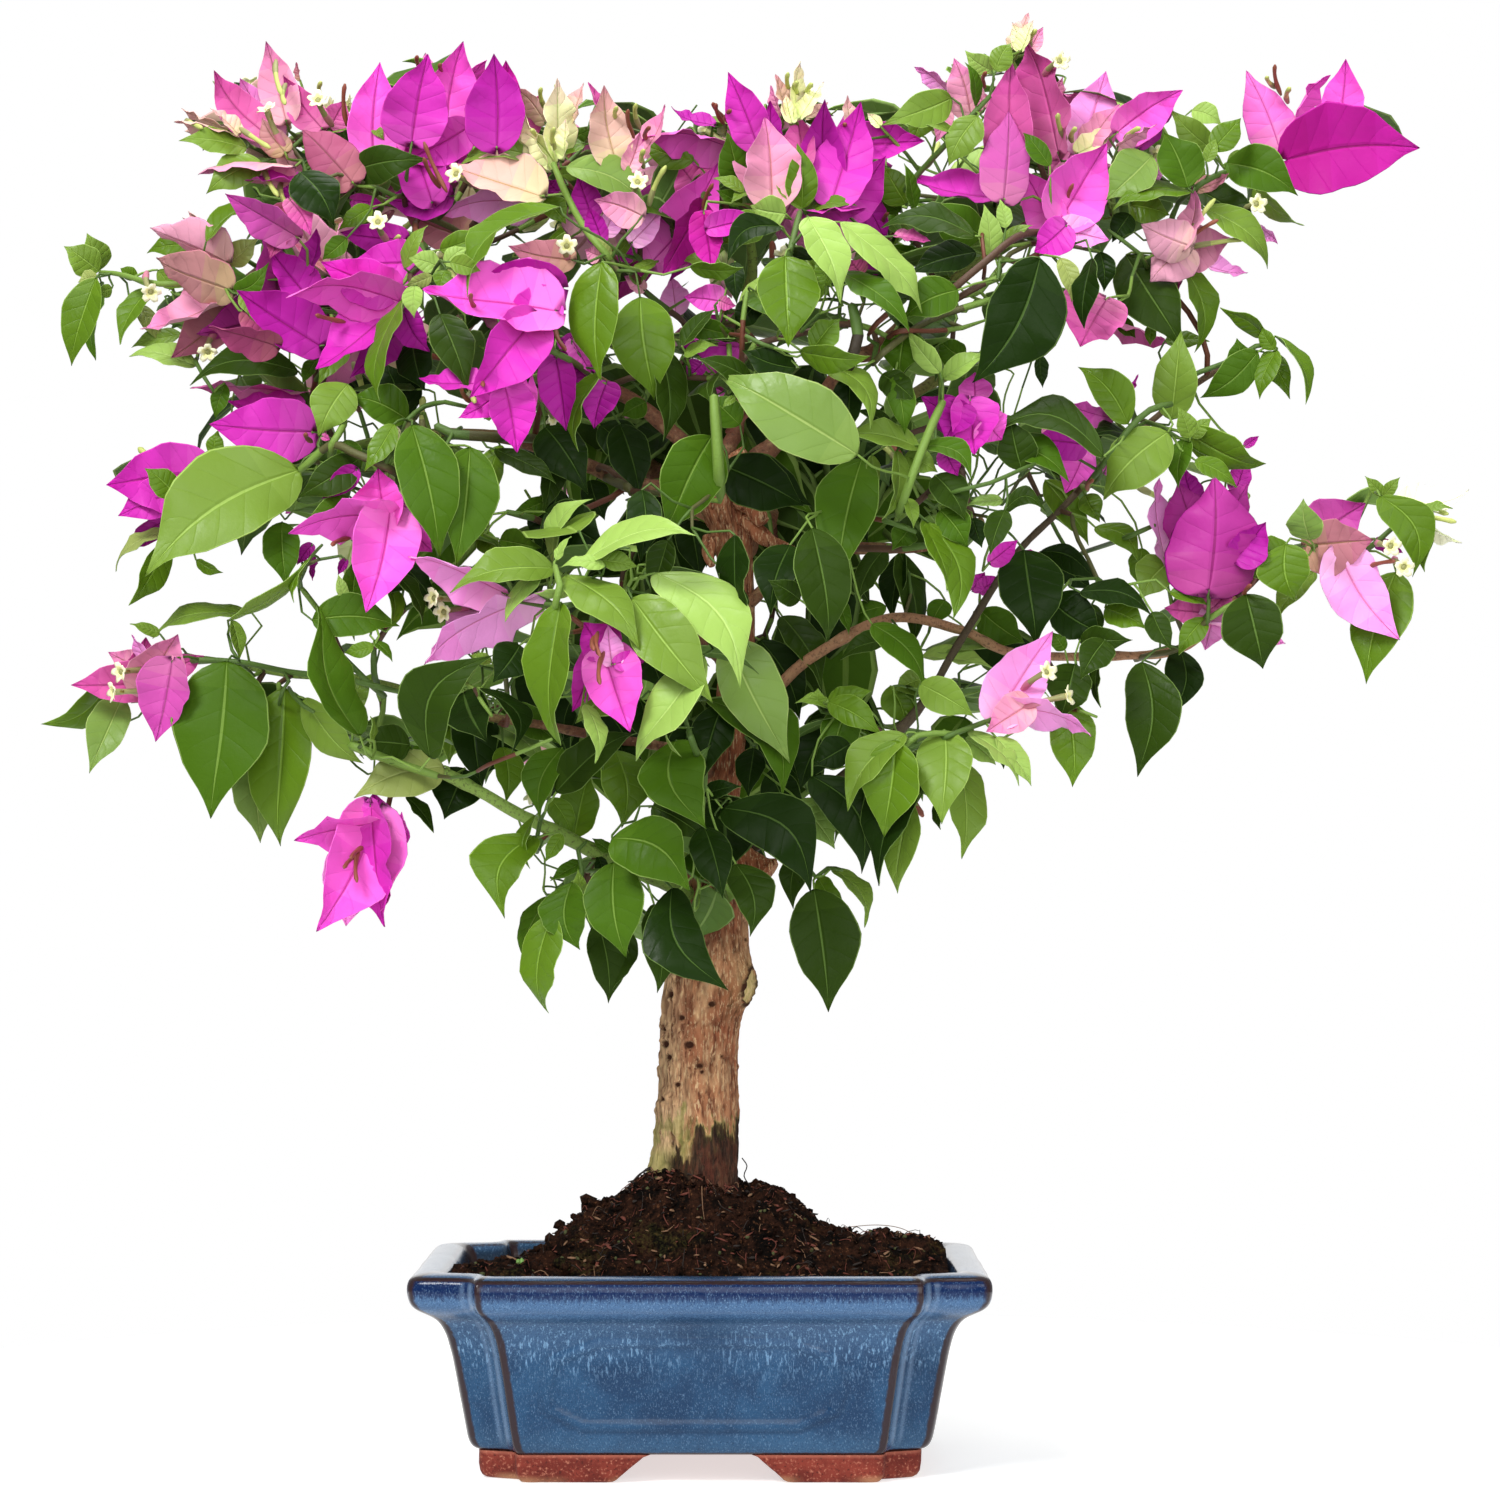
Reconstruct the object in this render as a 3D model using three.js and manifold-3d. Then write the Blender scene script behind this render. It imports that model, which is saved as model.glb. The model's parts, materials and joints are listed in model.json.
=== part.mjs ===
// A potted bougainvillea kept as a small tree: a glazed rectangular pot on four corner feet, a mound of soil,
// a stout trunk, its boughs, and the masses of leaves and bracts that make up the crown.
// Millimetres, +Z up, +X to the right and +Y away from whoever looks at the pot's long side.
import * as THREE from "three";
import { mergeVertices } from "three/addons/utils/BufferGeometryUtils.js";
import Module from "manifold-3d";

const wasm = await Module();
wasm.setup();

// ---------- driving dimensions ----------
const GAP = 0.35; // clearance kept between two neighbouring solids

// Pot, as half sizes from its centre
const POT_HEIGHT = 72.6; // top of the rim above the table
const FOOT_HEIGHT = 10;
const RIM_HALF = [101, 75];
const CORNER_NOTCH = 16; // how far each corner is set back from the long panel's face
const FLOOR_TOP = 17; // inside of the pot's floor

// Soil
const SOIL_EDGE = 68.5;
const MOUND_TOP = 97.6; // flat ground under the trunk
const MOUND_RADIUS = [58, 42];

// Trunk: height, centre in x and radius at the main stations, from the ground up
const TRUNK_SIDES = 12;
const TRUNK = [
  [97.95, -1.4, 18.6],
  [106.9, -1.1, 16.1],
  [117.6, -1.1, 15.2],
  [142.7, -1.1, 14.0],
  [164.2, 0.0, 14.3],
  [182.1, 2.5, 14.0],
  [200.0, 4.3, 12.2],
  [217.9, 5.7, 9.7],
  [235.8, 6.5, 7.0],
  [253.7, 9.7, 6.4],
  [271.6, 11.1, 6.1],
  [293.1, 12.9, 6.1],
  [314.6, 12.5, 6.2],
  [332.5, 10.0, 7.4],
  [345.0, 6.5, 9.0],
  [354.0, 5.0, 7.0],
  [361.0, 4.7, 3.6],
];
const TRUNK_FLARE = 0.16; // depth of the lobes where the roots spread
const KNOT = { at: [17.5, -3, 167.5], radius: 6.4 };
const STUB = { from: [9, -1, 219], to: [24.5, -5, 209.5], radius: [4.6, 4.0] };
const CORE = 19; // open room round the upper trunk, where its boughs leave it

// Boughs: radius at the trunk and at the tip, and the places that the limb passes
const BOUGH_SIDES = 7;
const BOUGHS = {
  bough_right_arch: [4.2, 1.9, [[12, 0, 258], [26, -8, 275], [40, -14, 287], [67, -16, 300], [92, -14, 296], [110, -12, 288], [142, -8, 287], [172, -8, 290]]],
  bough_right_diagonal: [4.6, 2.2, [[7, 4, 211], [28, 8, 225], [51, 6, 245], [74, 2, 264], [92, 0, 293], [110, -4, 321], [128, -6, 339], [145, -8, 357]]],
  bough_left_slim: [3.2, 1.6, [[7, 0, 239], [-4, -8, 252], [-36, -18, 258], [-57, -22, 262], [-81, -24, 266], [-119, -25, 278], [-146, -25, 280], [-176, -22, 285]]],
  bough_left_thick: [5.0, 2.6, [[-1, -2, 200], [-18, -14, 210], [-30, -20, 215], [-64, -26, 232], [-88, -30, 245], [-105, -30, 249], [-119, -30, 254]]],
  bough_left_upper: [4.6, 2.4, [[7, 0, 343], [-11, -8, 346], [-27, -14, 349], [-56, -30, 359], [-70, -36, 362], [-91, -40, 363], [-114, -42, 360]]],
  bough_left_leader: [4.4, 2.0, [[7, 2, 348], [-4, 6, 362], [-22, 6, 378], [-37, 2, 386], [-60, -4, 398], [-91, -10, 440], [-124, -12, 452]]],
  bough_right_leader: [5.4, 2.4, [[8, 2, 349], [21, 10, 360], [39, 8, 376], [53, 2, 394], [63, 0, 398], [85, 0, 418], [115, 0, 439]]],
  bough_centre_leader: [4.4, 2.2, [[6, 0, 354], [12, 4, 369], [16, 4, 387], [14, 2, 408], [18, 0, 429], [15, -4, 445]]],
  bough_right_middle: [3.8, 2.0, [[14, 0, 304], [30, -10, 316], [45, -22, 324], [78, -32, 324], [99, -36, 333]]],
  bough_back_left: [5.0, 2.4, [[9, 4, 329], [-5, 30, 346], [-24, 55, 363], [-47, 78, 380], [-78, 90, 397]]],
  bough_back_right: [5.0, 2.4, [[12, 4, 322], [24, 30, 340], [43, 58, 360], [66, 80, 380], [93, 92, 401]]],
};

// Masses of leaves and bracts: centre, then half sizes in x, y and z
const MASSES = {
  top_left: [-151, -15, 459, 37, 48, 41],
  dusty_left: [-179, -20, 412, 23, 36, 30],
  left_tip: [-215, 5, 419, 17, 20, 21],
  top_left_mid: [-95, -25, 464, 33, 52, 35],
  upper_left: [-121, -55, 404, 38, 45, 28],
  mid_left: [-168, -35, 347, 38, 40, 35],
  mid_left_inner: [-101, -80, 333, 37, 42, 37],
  top_centre: [-36, -25, 454, 33, 52, 35],
  front_top: [-60, -100, 391, 33, 40, 30],
  top_centre_right: [30, -20, 458, 34, 52, 37],
  upper_front_right: [34, -85, 390, 37, 42, 32],
  top_right: [101, 0, 469, 36, 52, 41],
  top_right_outer: [153, -5, 453, 32, 42, 37],
  upper_right: [100, -50, 401, 35, 42, 28],
  far_top_right: [229, 15, 475, 31, 24, 26],
  right_tip: [198, 0, 390, 20, 26, 26],
  mid_right: [145, -15, 363, 35, 42, 28],
  mid_right_inner: [86, -60, 341, 31, 42, 33],
  right_bloom: [181, -25, 320, 22, 30, 35],
  far_right: [242, -5, 318, 27, 32, 34],
  low_right_bloom: [123, -44, 270, 26, 26, 28],
  leaf_low_right: [164, 0, 272, 17, 24, 27],
  low_right: [70, -35, 249, 33, 48, 38],
  low_right_leaves: [46, -15, 188, 16, 26, 26],
  front_centre: [-22, -120, 293, 39, 34, 36],
  centre_front: [0, -80, 360, 27, 34, 29],
  low_left: [-181, -20, 258, 46, 34, 30],
  low_left_mid: [-119, -35, 267, 30, 36, 30],
  low_left_bloom: [-121, -35, 213, 20, 24, 23],
  low_left_inner: [-65, -70, 269, 29, 42, 31],
  low_centre_left: [-50, -30, 200, 30, 38, 35],
  low_centre: [-4, -55, 218, 25, 34, 40],
  back_top_left: [-115, 85, 463, 49, 52, 36],
  back_top: [-21, 105, 470, 50, 58, 36],
  back_top_right: [78, 100, 466, 50, 56, 37],
  back_mid_left: [-129, 65, 375, 49, 50, 43],
  back_mid: [-10, 125, 382, 58, 48, 47],
  back_mid_right: [112, 85, 374, 45, 50, 44],
  back_low_left: [-69, 75, 274, 49, 46, 40],
  back_low_right: [66, 75, 274, 49, 46, 40],
};
const SMALL = new Set(["left_tip", "right_tip", "low_left_bloom", "leaf_low_right", "low_right_leaves", "low_centre", "dusty_left", "low_right_bloom"]);
const UNEVEN = 0.15; // how far a mass swells and dents from its half sizes
const FULLNESS = 1.12; // masses crowd against each other by this much

// The furthest leaf and bract tips, which the masses reach out to
const TIPS = {
  top_left: [[-172, -20, 493], [-154, -15, 505]],
  top_left_mid: [[-84, -30, 501], [-72, -20, 499]],
  top_centre: [[-51, -25, 490], [-34, -20, 488]],
  top_centre_right: [[10, -20, 493], [35, -20, 496]],
  top_right: [[117, 0, 517], [89, 0, 498]],
  top_right_outer: [[144, -5, 496], [172, 0, 490]],
  far_top_right: [[196, 15, 501], [233, 15, 504], [259, 15, 471], [227, 15, 452]],
  dusty_left: [[-198, -20, 402], [-195, -20, 436]],
  left_tip: [[-230, 5, 437], [-227, 5, 392]],
  mid_left: [[-208, -35, 344], [-198, -30, 306]],
  low_left: [[-236, -20, 263], [-173, -30, 230]],
  low_left_mid: [[-149, -35, 220]],
  low_left_bloom: [[-134, -35, 189], [-142, -35, 222]],
  low_centre_left: [[-54, -30, 162], [-32, -30, 166]],
  low_centre: [[9, -55, 171]],
  low_right_leaves: [[44, -15, 161]],
  low_right: [[70, -35, 204]],
  low_right_bloom: [[131, -44, 243]],
  leaf_low_right: [[156, 0, 245]],
  far_right: [[273, -5, 346], [238, -5, 278]],
  right_bloom: [[196, -25, 363], [205, -25, 290]],
  right_tip: [[217, 0, 378], [189, 0, 413]],
};

// ---------- finishes ----------
const finish = (color, roughness) =>
  new THREE.MeshStandardMaterial({ color, roughness, metalness: 0 });
const GLAZE = finish(0x2b5a93, 0.18);
const TERRACOTTA = finish(0x96402f, 0.85);
const SOIL = finish(0x2d1e16, 0.95);
const BARK = finish(0xa8795c, 0.9);
const LIMB = finish(0x7c6a3e, 0.8);
const LEAF = finish(0x3f7a2a, 0.5);
const BRACT = finish(0xc832c8, 0.6);

// ---------- helpers ----------
const wave = (seed, x, y, z) =>
  (Math.sin(2.3 * x + 1.7 * seed) * Math.cos(1.9 * y - 0.9 * seed) +
    Math.sin(3.1 * z + 2.9 * seed + 1.3 * x) +
    Math.cos(4.3 * y + 2.1 * x - 1.1 * seed)) /
  3;

// A closed skin over a stack of rings, each a list of [x, y, z] that runs anticlockwise seen from the end
function loft(rings, capFirst = true, capLast = true) {
  const n = rings[0].length,
    pos = rings.flat(2),
    idx = [];
  for (let k = 0; k + 1 < rings.length; k++)
    for (let i = 0; i < n; i++) {
      const a = k * n + i,
        b = k * n + ((i + 1) % n),
        c = a + n,
        d = b + n;
      idx.push(a, b, d, a, d, c);
    }
  const cap = (k, flip) => {
    const flat = rings[k].map((p) => new THREE.Vector2(p[0], p[1]));
    for (const [a, b, c] of THREE.ShapeUtils.triangulateShape(flat, []))
      idx.push(...(flip ? [a, c, b] : [a, b, c]).map((v) => v + k * n));
  };
  if (capFirst) cap(0, true);
  if (capLast) cap(rings.length - 1, false);
  const g = new THREE.BufferGeometry();
  g.setAttribute("position", new THREE.Float32BufferAttribute(pos, 3));
  g.setIndex(idx);
  return g;
}

// The same skin along a curve, closed by a fan at each end
function limb(points, r0, r1, extra = 0, sides = BOUGH_SIDES) {
  const curve = new THREE.CatmullRomCurve3(
    points.map((p) => new THREE.Vector3(...p)),
    false,
    "centripetal",
  );
  const steps = Math.max(3, Math.round(curve.getLength() / 22));
  const frames = curve.computeFrenetFrames(steps, false);
  const pos = [],
    idx = [];
  for (let k = 0; k <= steps; k++) {
    const c = curve.getPointAt(k / steps),
      r = r0 + (r1 - r0) * (k / steps) + extra;
    for (let i = 0; i < sides; i++) {
      const t = (2 * Math.PI * i) / sides;
      const v = c
        .clone()
        .addScaledVector(frames.normals[k], r * Math.cos(t))
        .addScaledVector(frames.binormals[k], r * Math.sin(t));
      pos.push(v.x, v.y, v.z);
    }
  }
  for (let k = 0; k < steps; k++)
    for (let i = 0; i < sides; i++) {
      const a = k * sides + i,
        b = k * sides + ((i + 1) % sides),
        c = a + sides,
        d = b + sides;
      idx.push(a, b, d, a, d, c);
    }
  for (let i = 1; i + 1 < sides; i++) {
    idx.push(0, i + 1, i);
    const e = steps * sides;
    idx.push(e, e + i, e + i + 1);
  }
  const g = new THREE.BufferGeometry();
  g.setAttribute("position", new THREE.Float32BufferAttribute(pos, 3));
  g.setIndex(idx);
  return g;
}

function solid(geometry) {
  const g = new THREE.BufferGeometry();
  g.setAttribute("position", geometry.getAttribute("position").clone());
  if (geometry.index) g.setIndex(geometry.index.clone());
  const m = mergeVertices(g, 1e-4);
  const made = new wasm.Manifold(
    new wasm.Mesh({
      numProp: 3,
      vertProperties: Float32Array.from(m.getAttribute("position").array),
      triVerts: Uint32Array.from(m.index.array),
    }),
  );
  return made;
}

function geometryOf(manifold) {
  const m = manifold.getMesh(),
    g = new THREE.BufferGeometry();
  const p = new Float32Array(m.numVert * 3);
  for (let i = 0; i < m.numVert; i++)
    p.set(m.vertProperties.subarray(i * m.numProp, i * m.numProp + 3), i * 3);
  g.setAttribute("position", new THREE.BufferAttribute(p, 3));
  g.setIndex(new THREE.BufferAttribute(Uint32Array.from(m.triVerts), 1));
  return g;
}

const largest = (m) =>
  m.decompose().reduce((a, b) => (b.volume() > a.volume() ? b : a));

const group = new THREE.Group();
function piece(name, geometry, material) {
  geometry.computeVertexNormals();
  const mesh = new THREE.Mesh(geometry, material.clone());
  mesh.name = name;
  group.add(mesh);
}

// ---------- pot ----------
// Outline at one level: long panel from -a to a, then the set-back corner, then the short side
function potRing(hx, hy, a, z, n = CORNER_NOTCH) {
  const q = [
    [a, -hy],
    [a + 1.5, -hy + 0.45 * n],
    [a + 5, -hy + 0.6 * n],
    [hx - 6, -hy + 0.68 * n],
    [hx - 1.2, -hy + 0.8 * n],
    [hx, -hy + n],
  ];
  const right = [...q, ...q.map(([x, y]) => [x, -y]).reverse()];
  const left = right.map(([x, y]) => [-x, y]).reverse();
  return [...right, ...left].map(([x, y]) => [x, y, z]);
}
const [RX, RY] = RIM_HALF;
const outer = [
  [74.5, 50.5, 61.5, FOOT_HEIGHT],
  [78.6, 54.2, 63.7, 12],
  [82.6, 57.6, 67, 34],
  [88.8, 63.6, 71.5, 58],
  [94, 68.6, 74, 61.5],
  [98.6, 72.8, 75.6, 63.4],
  [RX, RY, 76.6, 68.5],
  [RX - 0.8, RY - 0.8, 76.2, 71.2],
  [RX - 4, RY - 4, 75, POT_HEIGHT],
];
const inner = [
  [RX - 11, RY - 11, 73, POT_HEIGHT - 0.2],
  [RX - 13.5, RY - 13.5, 72, POT_HEIGHT - 2.6],
  [70, 46, 60, FLOOR_TOP],
];
piece("pot", loft([...outer, ...inner].map(([a, b, c, z]) => potRing(a, b, c, z))), GLAZE);

// ---------- feet: an L under each corner, with slanted ends ----------
function footRing(z, hx, hy, a, x0, y0) {
  const n = CORNER_NOTCH - 1,
    t = 15;
  return [
    [x0, -hy, z],
    [a, -hy, z],
    [a + 1.5, -hy + 0.45 * n, z],
    [hx - 5, -hy + 0.68 * n, z],
    [hx - 1, -hy + 0.82 * n, z],
    [hx, -hy + n, z],
    [hx, -y0, z],
    [hx - t, -y0, z],
    [hx - t, -hy + t, z],
    [x0, -hy + t, z],
  ];
}
const footLevels = [
  [0, 74.6, 50.6, 61.5, 29.5, 21],
  [1.2, 76, 52, 62.5, 28, 19.5],
  [FOOT_HEIGHT - GAP, 76.8, 53.2, 63, 19, 12],
];
for (const [name, sx, sy] of [
  ["foot_front_right", 1, 1],
  ["foot_front_left", -1, 1],
  ["foot_back_right", 1, -1],
  ["foot_back_left", -1, -1],
]) {
  const rings = footLevels.map(([z, ...r]) => {
    const ring = footRing(z, ...r).map(([x, y, h]) => [sx * x, sy * y, h]);
    return sx * sy > 0 ? ring : ring.reverse();
  });
  piece(name, loft(rings), TERRACOTTA);
}

// ---------- soil ----------
const step01 = (a, b, v) => {
  const t = Math.min(1, Math.max(0, (v - a) / (b - a)));
  return t * t * (3 - 2 * t);
};
const ground = (x, y) => {
  const r = Math.hypot((x + 4) / MOUND_RADIUS[0], y / MOUND_RADIUS[1]);
  return (
    SOIL_EDGE +
    (MOUND_TOP - SOIL_EDGE) * (1 - step01(0.42, 1.15, r)) +
    1.1 * wave(4, x / 14, y / 14, 0) * step01(0.4, 0.7, r)
  );
};
const wallAt = (z) => {
  const t = (z - FLOOR_TOP) / (POT_HEIGHT - 2.6 - FLOOR_TOP);
  return [70 + t * (RX - 83.5) - 1.2, 46 + t * (RY - 59.5) - 1.2, 60 + 12 * t - 1.1];
};
const soilRings = [
  potRing(...wallAt(FLOOR_TOP), FLOOR_TOP + GAP),
  potRing(...wallAt(44), 44),
];
const rimRing = potRing(...wallAt(SOIL_EDGE - 2), SOIL_EDGE);
soilRings.push(rimRing);
const TRUNK_FOOT = TRUNK[0][1];
const last = rimRing.map(([x, y]) => {
  const t = Math.atan2(y / 0.8, x);
  return [TRUNK_FOOT + 21 * Math.cos(t), 21 * Math.sin(t), MOUND_TOP];
});
for (const f of [0.84, 0.62, 0.4, 0.18])
  soilRings.push(
    rimRing.map(([x, y], i) => {
      const px = last[i][0] + (x - last[i][0]) * f,
        py = last[i][1] + (y - last[i][1]) * f;
      return [px, py, ground(px, py)];
    }),
  );
soilRings.push(last);
piece("soil", loft(soilRings), SOIL);

// ---------- trunk ----------
function trunkGeometry(extra) {
  const rings = TRUNK.map(([z, cx, r], k) => {
    const low = Math.max(0, 1 - (z - TRUNK[0][0]) / 26);
    return Array.from({ length: TRUNK_SIDES }, (_, i) => {
      const t = (2 * Math.PI * i) / TRUNK_SIDES;
      const lobes = TRUNK_FLARE * low * low * Math.cos(3 * t + 0.6);
      const rr = r * (1 + lobes + 0.05 * wave(7, 2 * Math.cos(t), 2 * Math.sin(t), z / 22)) + extra;
      return [cx + rr * Math.cos(t), rr * Math.sin(t), z - (k ? 0 : extra)];
    });
  });
  return loft(rings);
}
function ball(at, r, extra) {
  const g = new THREE.IcosahedronGeometry(r + extra, 1);
  g.scale(0.8, 1, 1.35).translate(...at);
  return g;
}
const woody = (extra) =>
  solid(trunkGeometry(extra))
    .add(solid(ball(KNOT.at, KNOT.radius, extra)))
    .add(solid(limb([STUB.from, STUB.to], ...STUB.radius, extra, 8)));
const trunk = woody(0),
  roundTrunk = woody(GAP);
piece("trunk", geometryOf(trunk), BARK);

// ---------- masses ----------
// Each mass keeps to its own side of a plane between it and each neighbour, and clear of the upper trunk
const nearTrunk = (p) => {
  if (p.z < TRUNK[0][0] || p.z > TRUNK[TRUNK.length - 1][0] + CORE) return false;
  let k = 0;
  while (k + 2 < TRUNK.length && TRUNK[k + 1][0] < p.z) k++;
  const [z0, x0] = TRUNK[k],
    [z1, x1] = TRUNK[k + 1];
  const x = x0 + ((x1 - x0) * (Math.min(p.z, z1) - z0)) / (z1 - z0);
  return Math.hypot(p.x - x, p.y) < CORE;
};
const names = Object.keys(MASSES);
const reach = ([, , , a, b, c], v) =>
  FULLNESS / Math.hypot(v.x / a, v.y / b, v.z / c);
function massGeometry(name, seed, extra) {
  const m = MASSES[name],
    centre = new THREE.Vector3(m[0], m[1], m[2]);
  const planes = names
    .filter((o) => o !== name)
    .map((o) => {
      const v = new THREE.Vector3(MASSES[o][0], MASSES[o][1], MASSES[o][2]).sub(centre);
      const far = v.length();
      v.divideScalar(far);
      const mine = reach(m, v),
        theirs = reach(MASSES[o], v);
      return [v, (far * mine) / (mine + theirs) - GAP];
    });
  const g = new THREE.IcosahedronGeometry(1, SMALL.has(name) ? 1 : 2);
  g.deleteAttribute("normal");
  g.deleteAttribute("uv");
  const ico = mergeVertices(g, 1e-4),
    at = ico.getAttribute("position");
  const dirs = [],
    lengths = [];
  for (let i = 0; i < at.count; i++) {
    const d = new THREE.Vector3().fromBufferAttribute(at, i).normalize();
    let r = reach(m, d) * (1 + UNEVEN * wave(seed, 1.6 * d.x, 1.6 * d.y, 1.6 * d.z) + 0.5 * UNEVEN * wave(seed + 9, 4 * d.x, 4 * d.y, 4 * d.z));
    let s = 0.2 * r;
    while (s < r && !nearTrunk(centre.clone().addScaledVector(d, s))) s += 0.05 * r;
    r = Math.min(r, s);
    dirs.push(d);
    lengths.push(r);
  }
  for (const tip of TIPS[name] || []) {
    const v = new THREE.Vector3(...tip).sub(centre),
      far = v.length();
    v.normalize();
    let best = 0;
    dirs.forEach((d, i) => {
      if (d.dot(v) > dirs[best].dot(v)) best = i;
    });
    dirs[best] = v;
    lengths[best] = far;
  }
  dirs.forEach((d, i) => {
    let r = lengths[i];
    for (const [v, side] of planes) {
      const c = d.dot(v);
      if (c > 1e-6) r = Math.min(r, side / c);
    }
    const p = centre.clone().addScaledVector(d, r + extra);
    at.setXYZ(i, p.x, p.y, p.z);
  });
  return ico;
}
const bloom = /bloom|dusty|front_top|^top_left_mid|^upper_left|^top_right_outer|^far_top/;
const roundMasses = [];
names.forEach((name, k) => {
  const cut = solid(massGeometry(name, k + 1, 0)).subtract(roundTrunk);
  roundMasses.push(solid(massGeometry(name, k + 1, GAP)));
  piece("mass_" + name, geometryOf(largest(cut)), bloom.test(name) ? BRACT : LEAF);
});

// ---------- boughs: each starts at the trunk and ends where it enters a mass ----------
let taken = roundTrunk;
for (const m of roundMasses) taken = taken.add(m);
for (const [name, [r0, r1, points]] of Object.entries(BOUGHS)) {
  const left = solid(limb(points, r0, r1)).subtract(taken).decompose();
  const start = new THREE.Vector3(...points[0]);
  const far = (m) => {
    const b = m.boundingBox();
    return start.distanceTo(
      new THREE.Vector3(...b.min).add(new THREE.Vector3(...b.max)).multiplyScalar(0.5),
    );
  };
  const kept = left
    .filter((m) => m.volume() > 90)
    .sort((a, b) => far(a) - far(b))
    .slice(0, 2);
  kept.forEach((m, i) => piece(name + (i ? "_outer" : ""), geometryOf(m), LIMB));
  taken = taken.add(solid(limb(points, r0, r1, GAP)));
}

// ---------- the origin is the middle of the whole, on the table ----------
const box = new THREE.Box3().setFromObject(group);
group.position.set(-(box.min.x + box.max.x) / 2, -(box.min.y + box.max.y) / 2, -box.min.z);

export default group;
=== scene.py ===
# A potted bougainvillea kept as a small tree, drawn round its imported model.
# Lengths inside this script are millimetres from the middle of the pot's foot; meshes are written in metres.
import json
import math

import bpy
import numpy as np
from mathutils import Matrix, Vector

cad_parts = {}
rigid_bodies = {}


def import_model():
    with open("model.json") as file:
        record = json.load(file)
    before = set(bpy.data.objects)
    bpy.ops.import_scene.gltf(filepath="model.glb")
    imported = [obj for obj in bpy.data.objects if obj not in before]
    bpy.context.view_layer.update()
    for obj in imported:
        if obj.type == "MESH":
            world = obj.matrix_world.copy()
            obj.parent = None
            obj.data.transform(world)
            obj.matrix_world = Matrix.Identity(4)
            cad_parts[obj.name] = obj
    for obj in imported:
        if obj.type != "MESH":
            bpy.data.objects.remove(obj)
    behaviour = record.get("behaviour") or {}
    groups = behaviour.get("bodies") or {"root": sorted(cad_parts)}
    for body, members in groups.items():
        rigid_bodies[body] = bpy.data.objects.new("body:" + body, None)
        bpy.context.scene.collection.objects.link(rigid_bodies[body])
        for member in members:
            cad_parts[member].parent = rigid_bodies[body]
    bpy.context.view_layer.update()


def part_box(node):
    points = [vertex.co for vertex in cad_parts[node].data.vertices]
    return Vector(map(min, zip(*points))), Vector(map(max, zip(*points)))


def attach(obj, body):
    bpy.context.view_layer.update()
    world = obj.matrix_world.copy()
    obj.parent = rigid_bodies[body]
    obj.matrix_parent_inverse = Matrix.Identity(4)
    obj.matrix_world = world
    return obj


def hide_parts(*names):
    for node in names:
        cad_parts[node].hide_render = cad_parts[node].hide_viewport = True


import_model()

SEED = 4127
rng = np.random.default_rng(SEED)
scene = bpy.context.scene

lo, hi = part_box("pot")
POT_AT = np.array([(lo[0] + hi[0]) / 2, (lo[1] + hi[1]) / 2, 0.0])


def metres(v):
    return np.asarray(v, float) / 1000.0 + POT_AT


# ---------------------------------------------------------------- camera
FOCAL = 4085.0  # pixels of a 1500 pixel frame
EYE = np.array([17.2, -1463.0, 214.3])
PITCH = math.atan(110.0 / FOCAL)
FWD = np.array([0.0, math.cos(PITCH), math.sin(PITCH)])
UP = np.array([0.0, -math.sin(PITCH), math.cos(PITCH)])
RIGHT = np.array([1.0, 0.0, 0.0])

cam_data = bpy.data.cameras.new("camera")
cam_data.sensor_width = 36.0
cam_data.lens = FOCAL / 1500.0 * 36.0
cam_data.clip_start = 0.05
cam_data.clip_end = 50.0
cam = bpy.data.objects.new("camera", cam_data)
scene.collection.objects.link(cam)
cam.location = metres(EYE)
cam.rotation_euler = (math.pi / 2 + PITCH, 0.0, 0.0)
scene.camera = cam


def pt(px, py, y):
    """The point of the frame's pixel (px, py) at depth y."""
    d = RIGHT * ((px - 750.0) / FOCAL) + UP * ((750.0 - py) / FOCAL) + FWD
    return EYE + d * ((y - EYE[1]) / d[1])


def proj(p):
    r = np.asarray(p, float) - EYE
    z = r @ FWD
    return np.stack([750.0 + FOCAL * (r @ RIGHT) / z, 750.0 - FOCAL * (r @ UP) / z], -1)


# ---------------------------------------------------------------- small tools
def unit(v):
    v = np.asarray(v, float)
    n = np.linalg.norm(v, axis=-1, keepdims=True)
    return v / np.maximum(n, 1e-9)


def smooth(a, b, v):
    t = np.clip((np.asarray(v, float) - a) / (b - a), 0, 1)
    return t * t * (3 - 2 * t)


def srgb(r, g, b):
    out = []
    for c in (r, g, b):
        c /= 255.0
        out.append(c / 12.92 if c <= 0.04045 else ((c + 0.055) / 1.055) ** 2.4)
    return (*out, 1.0)


_perm = np.random.default_rng(99).permutation(512)


def vnoise(p, seed=0):
    """Smooth value noise in three dimensions, from -1 to 1."""
    p = np.asarray(p, float)
    i = np.floor(p).astype(int)
    f = p - i
    f = f * f * (3 - 2 * f)

    def h(dx, dy, dz):
        a = _perm[(i[..., 0] + dx + seed * 17) & 511]
        b = _perm[(a + i[..., 1] + dy) & 511]
        c = _perm[(b + i[..., 2] + dz) & 511]
        return c / 255.5 - 1.0

    x, y, z = f[..., 0], f[..., 1], f[..., 2]
    out = 0
    for dx in (0, 1):
        for dy in (0, 1):
            for dz in (0, 1):
                w = (x if dx else 1 - x) * (y if dy else 1 - y) * (z if dz else 1 - z)
                out = out + w * h(dx, dy, dz)
    return out


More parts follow.
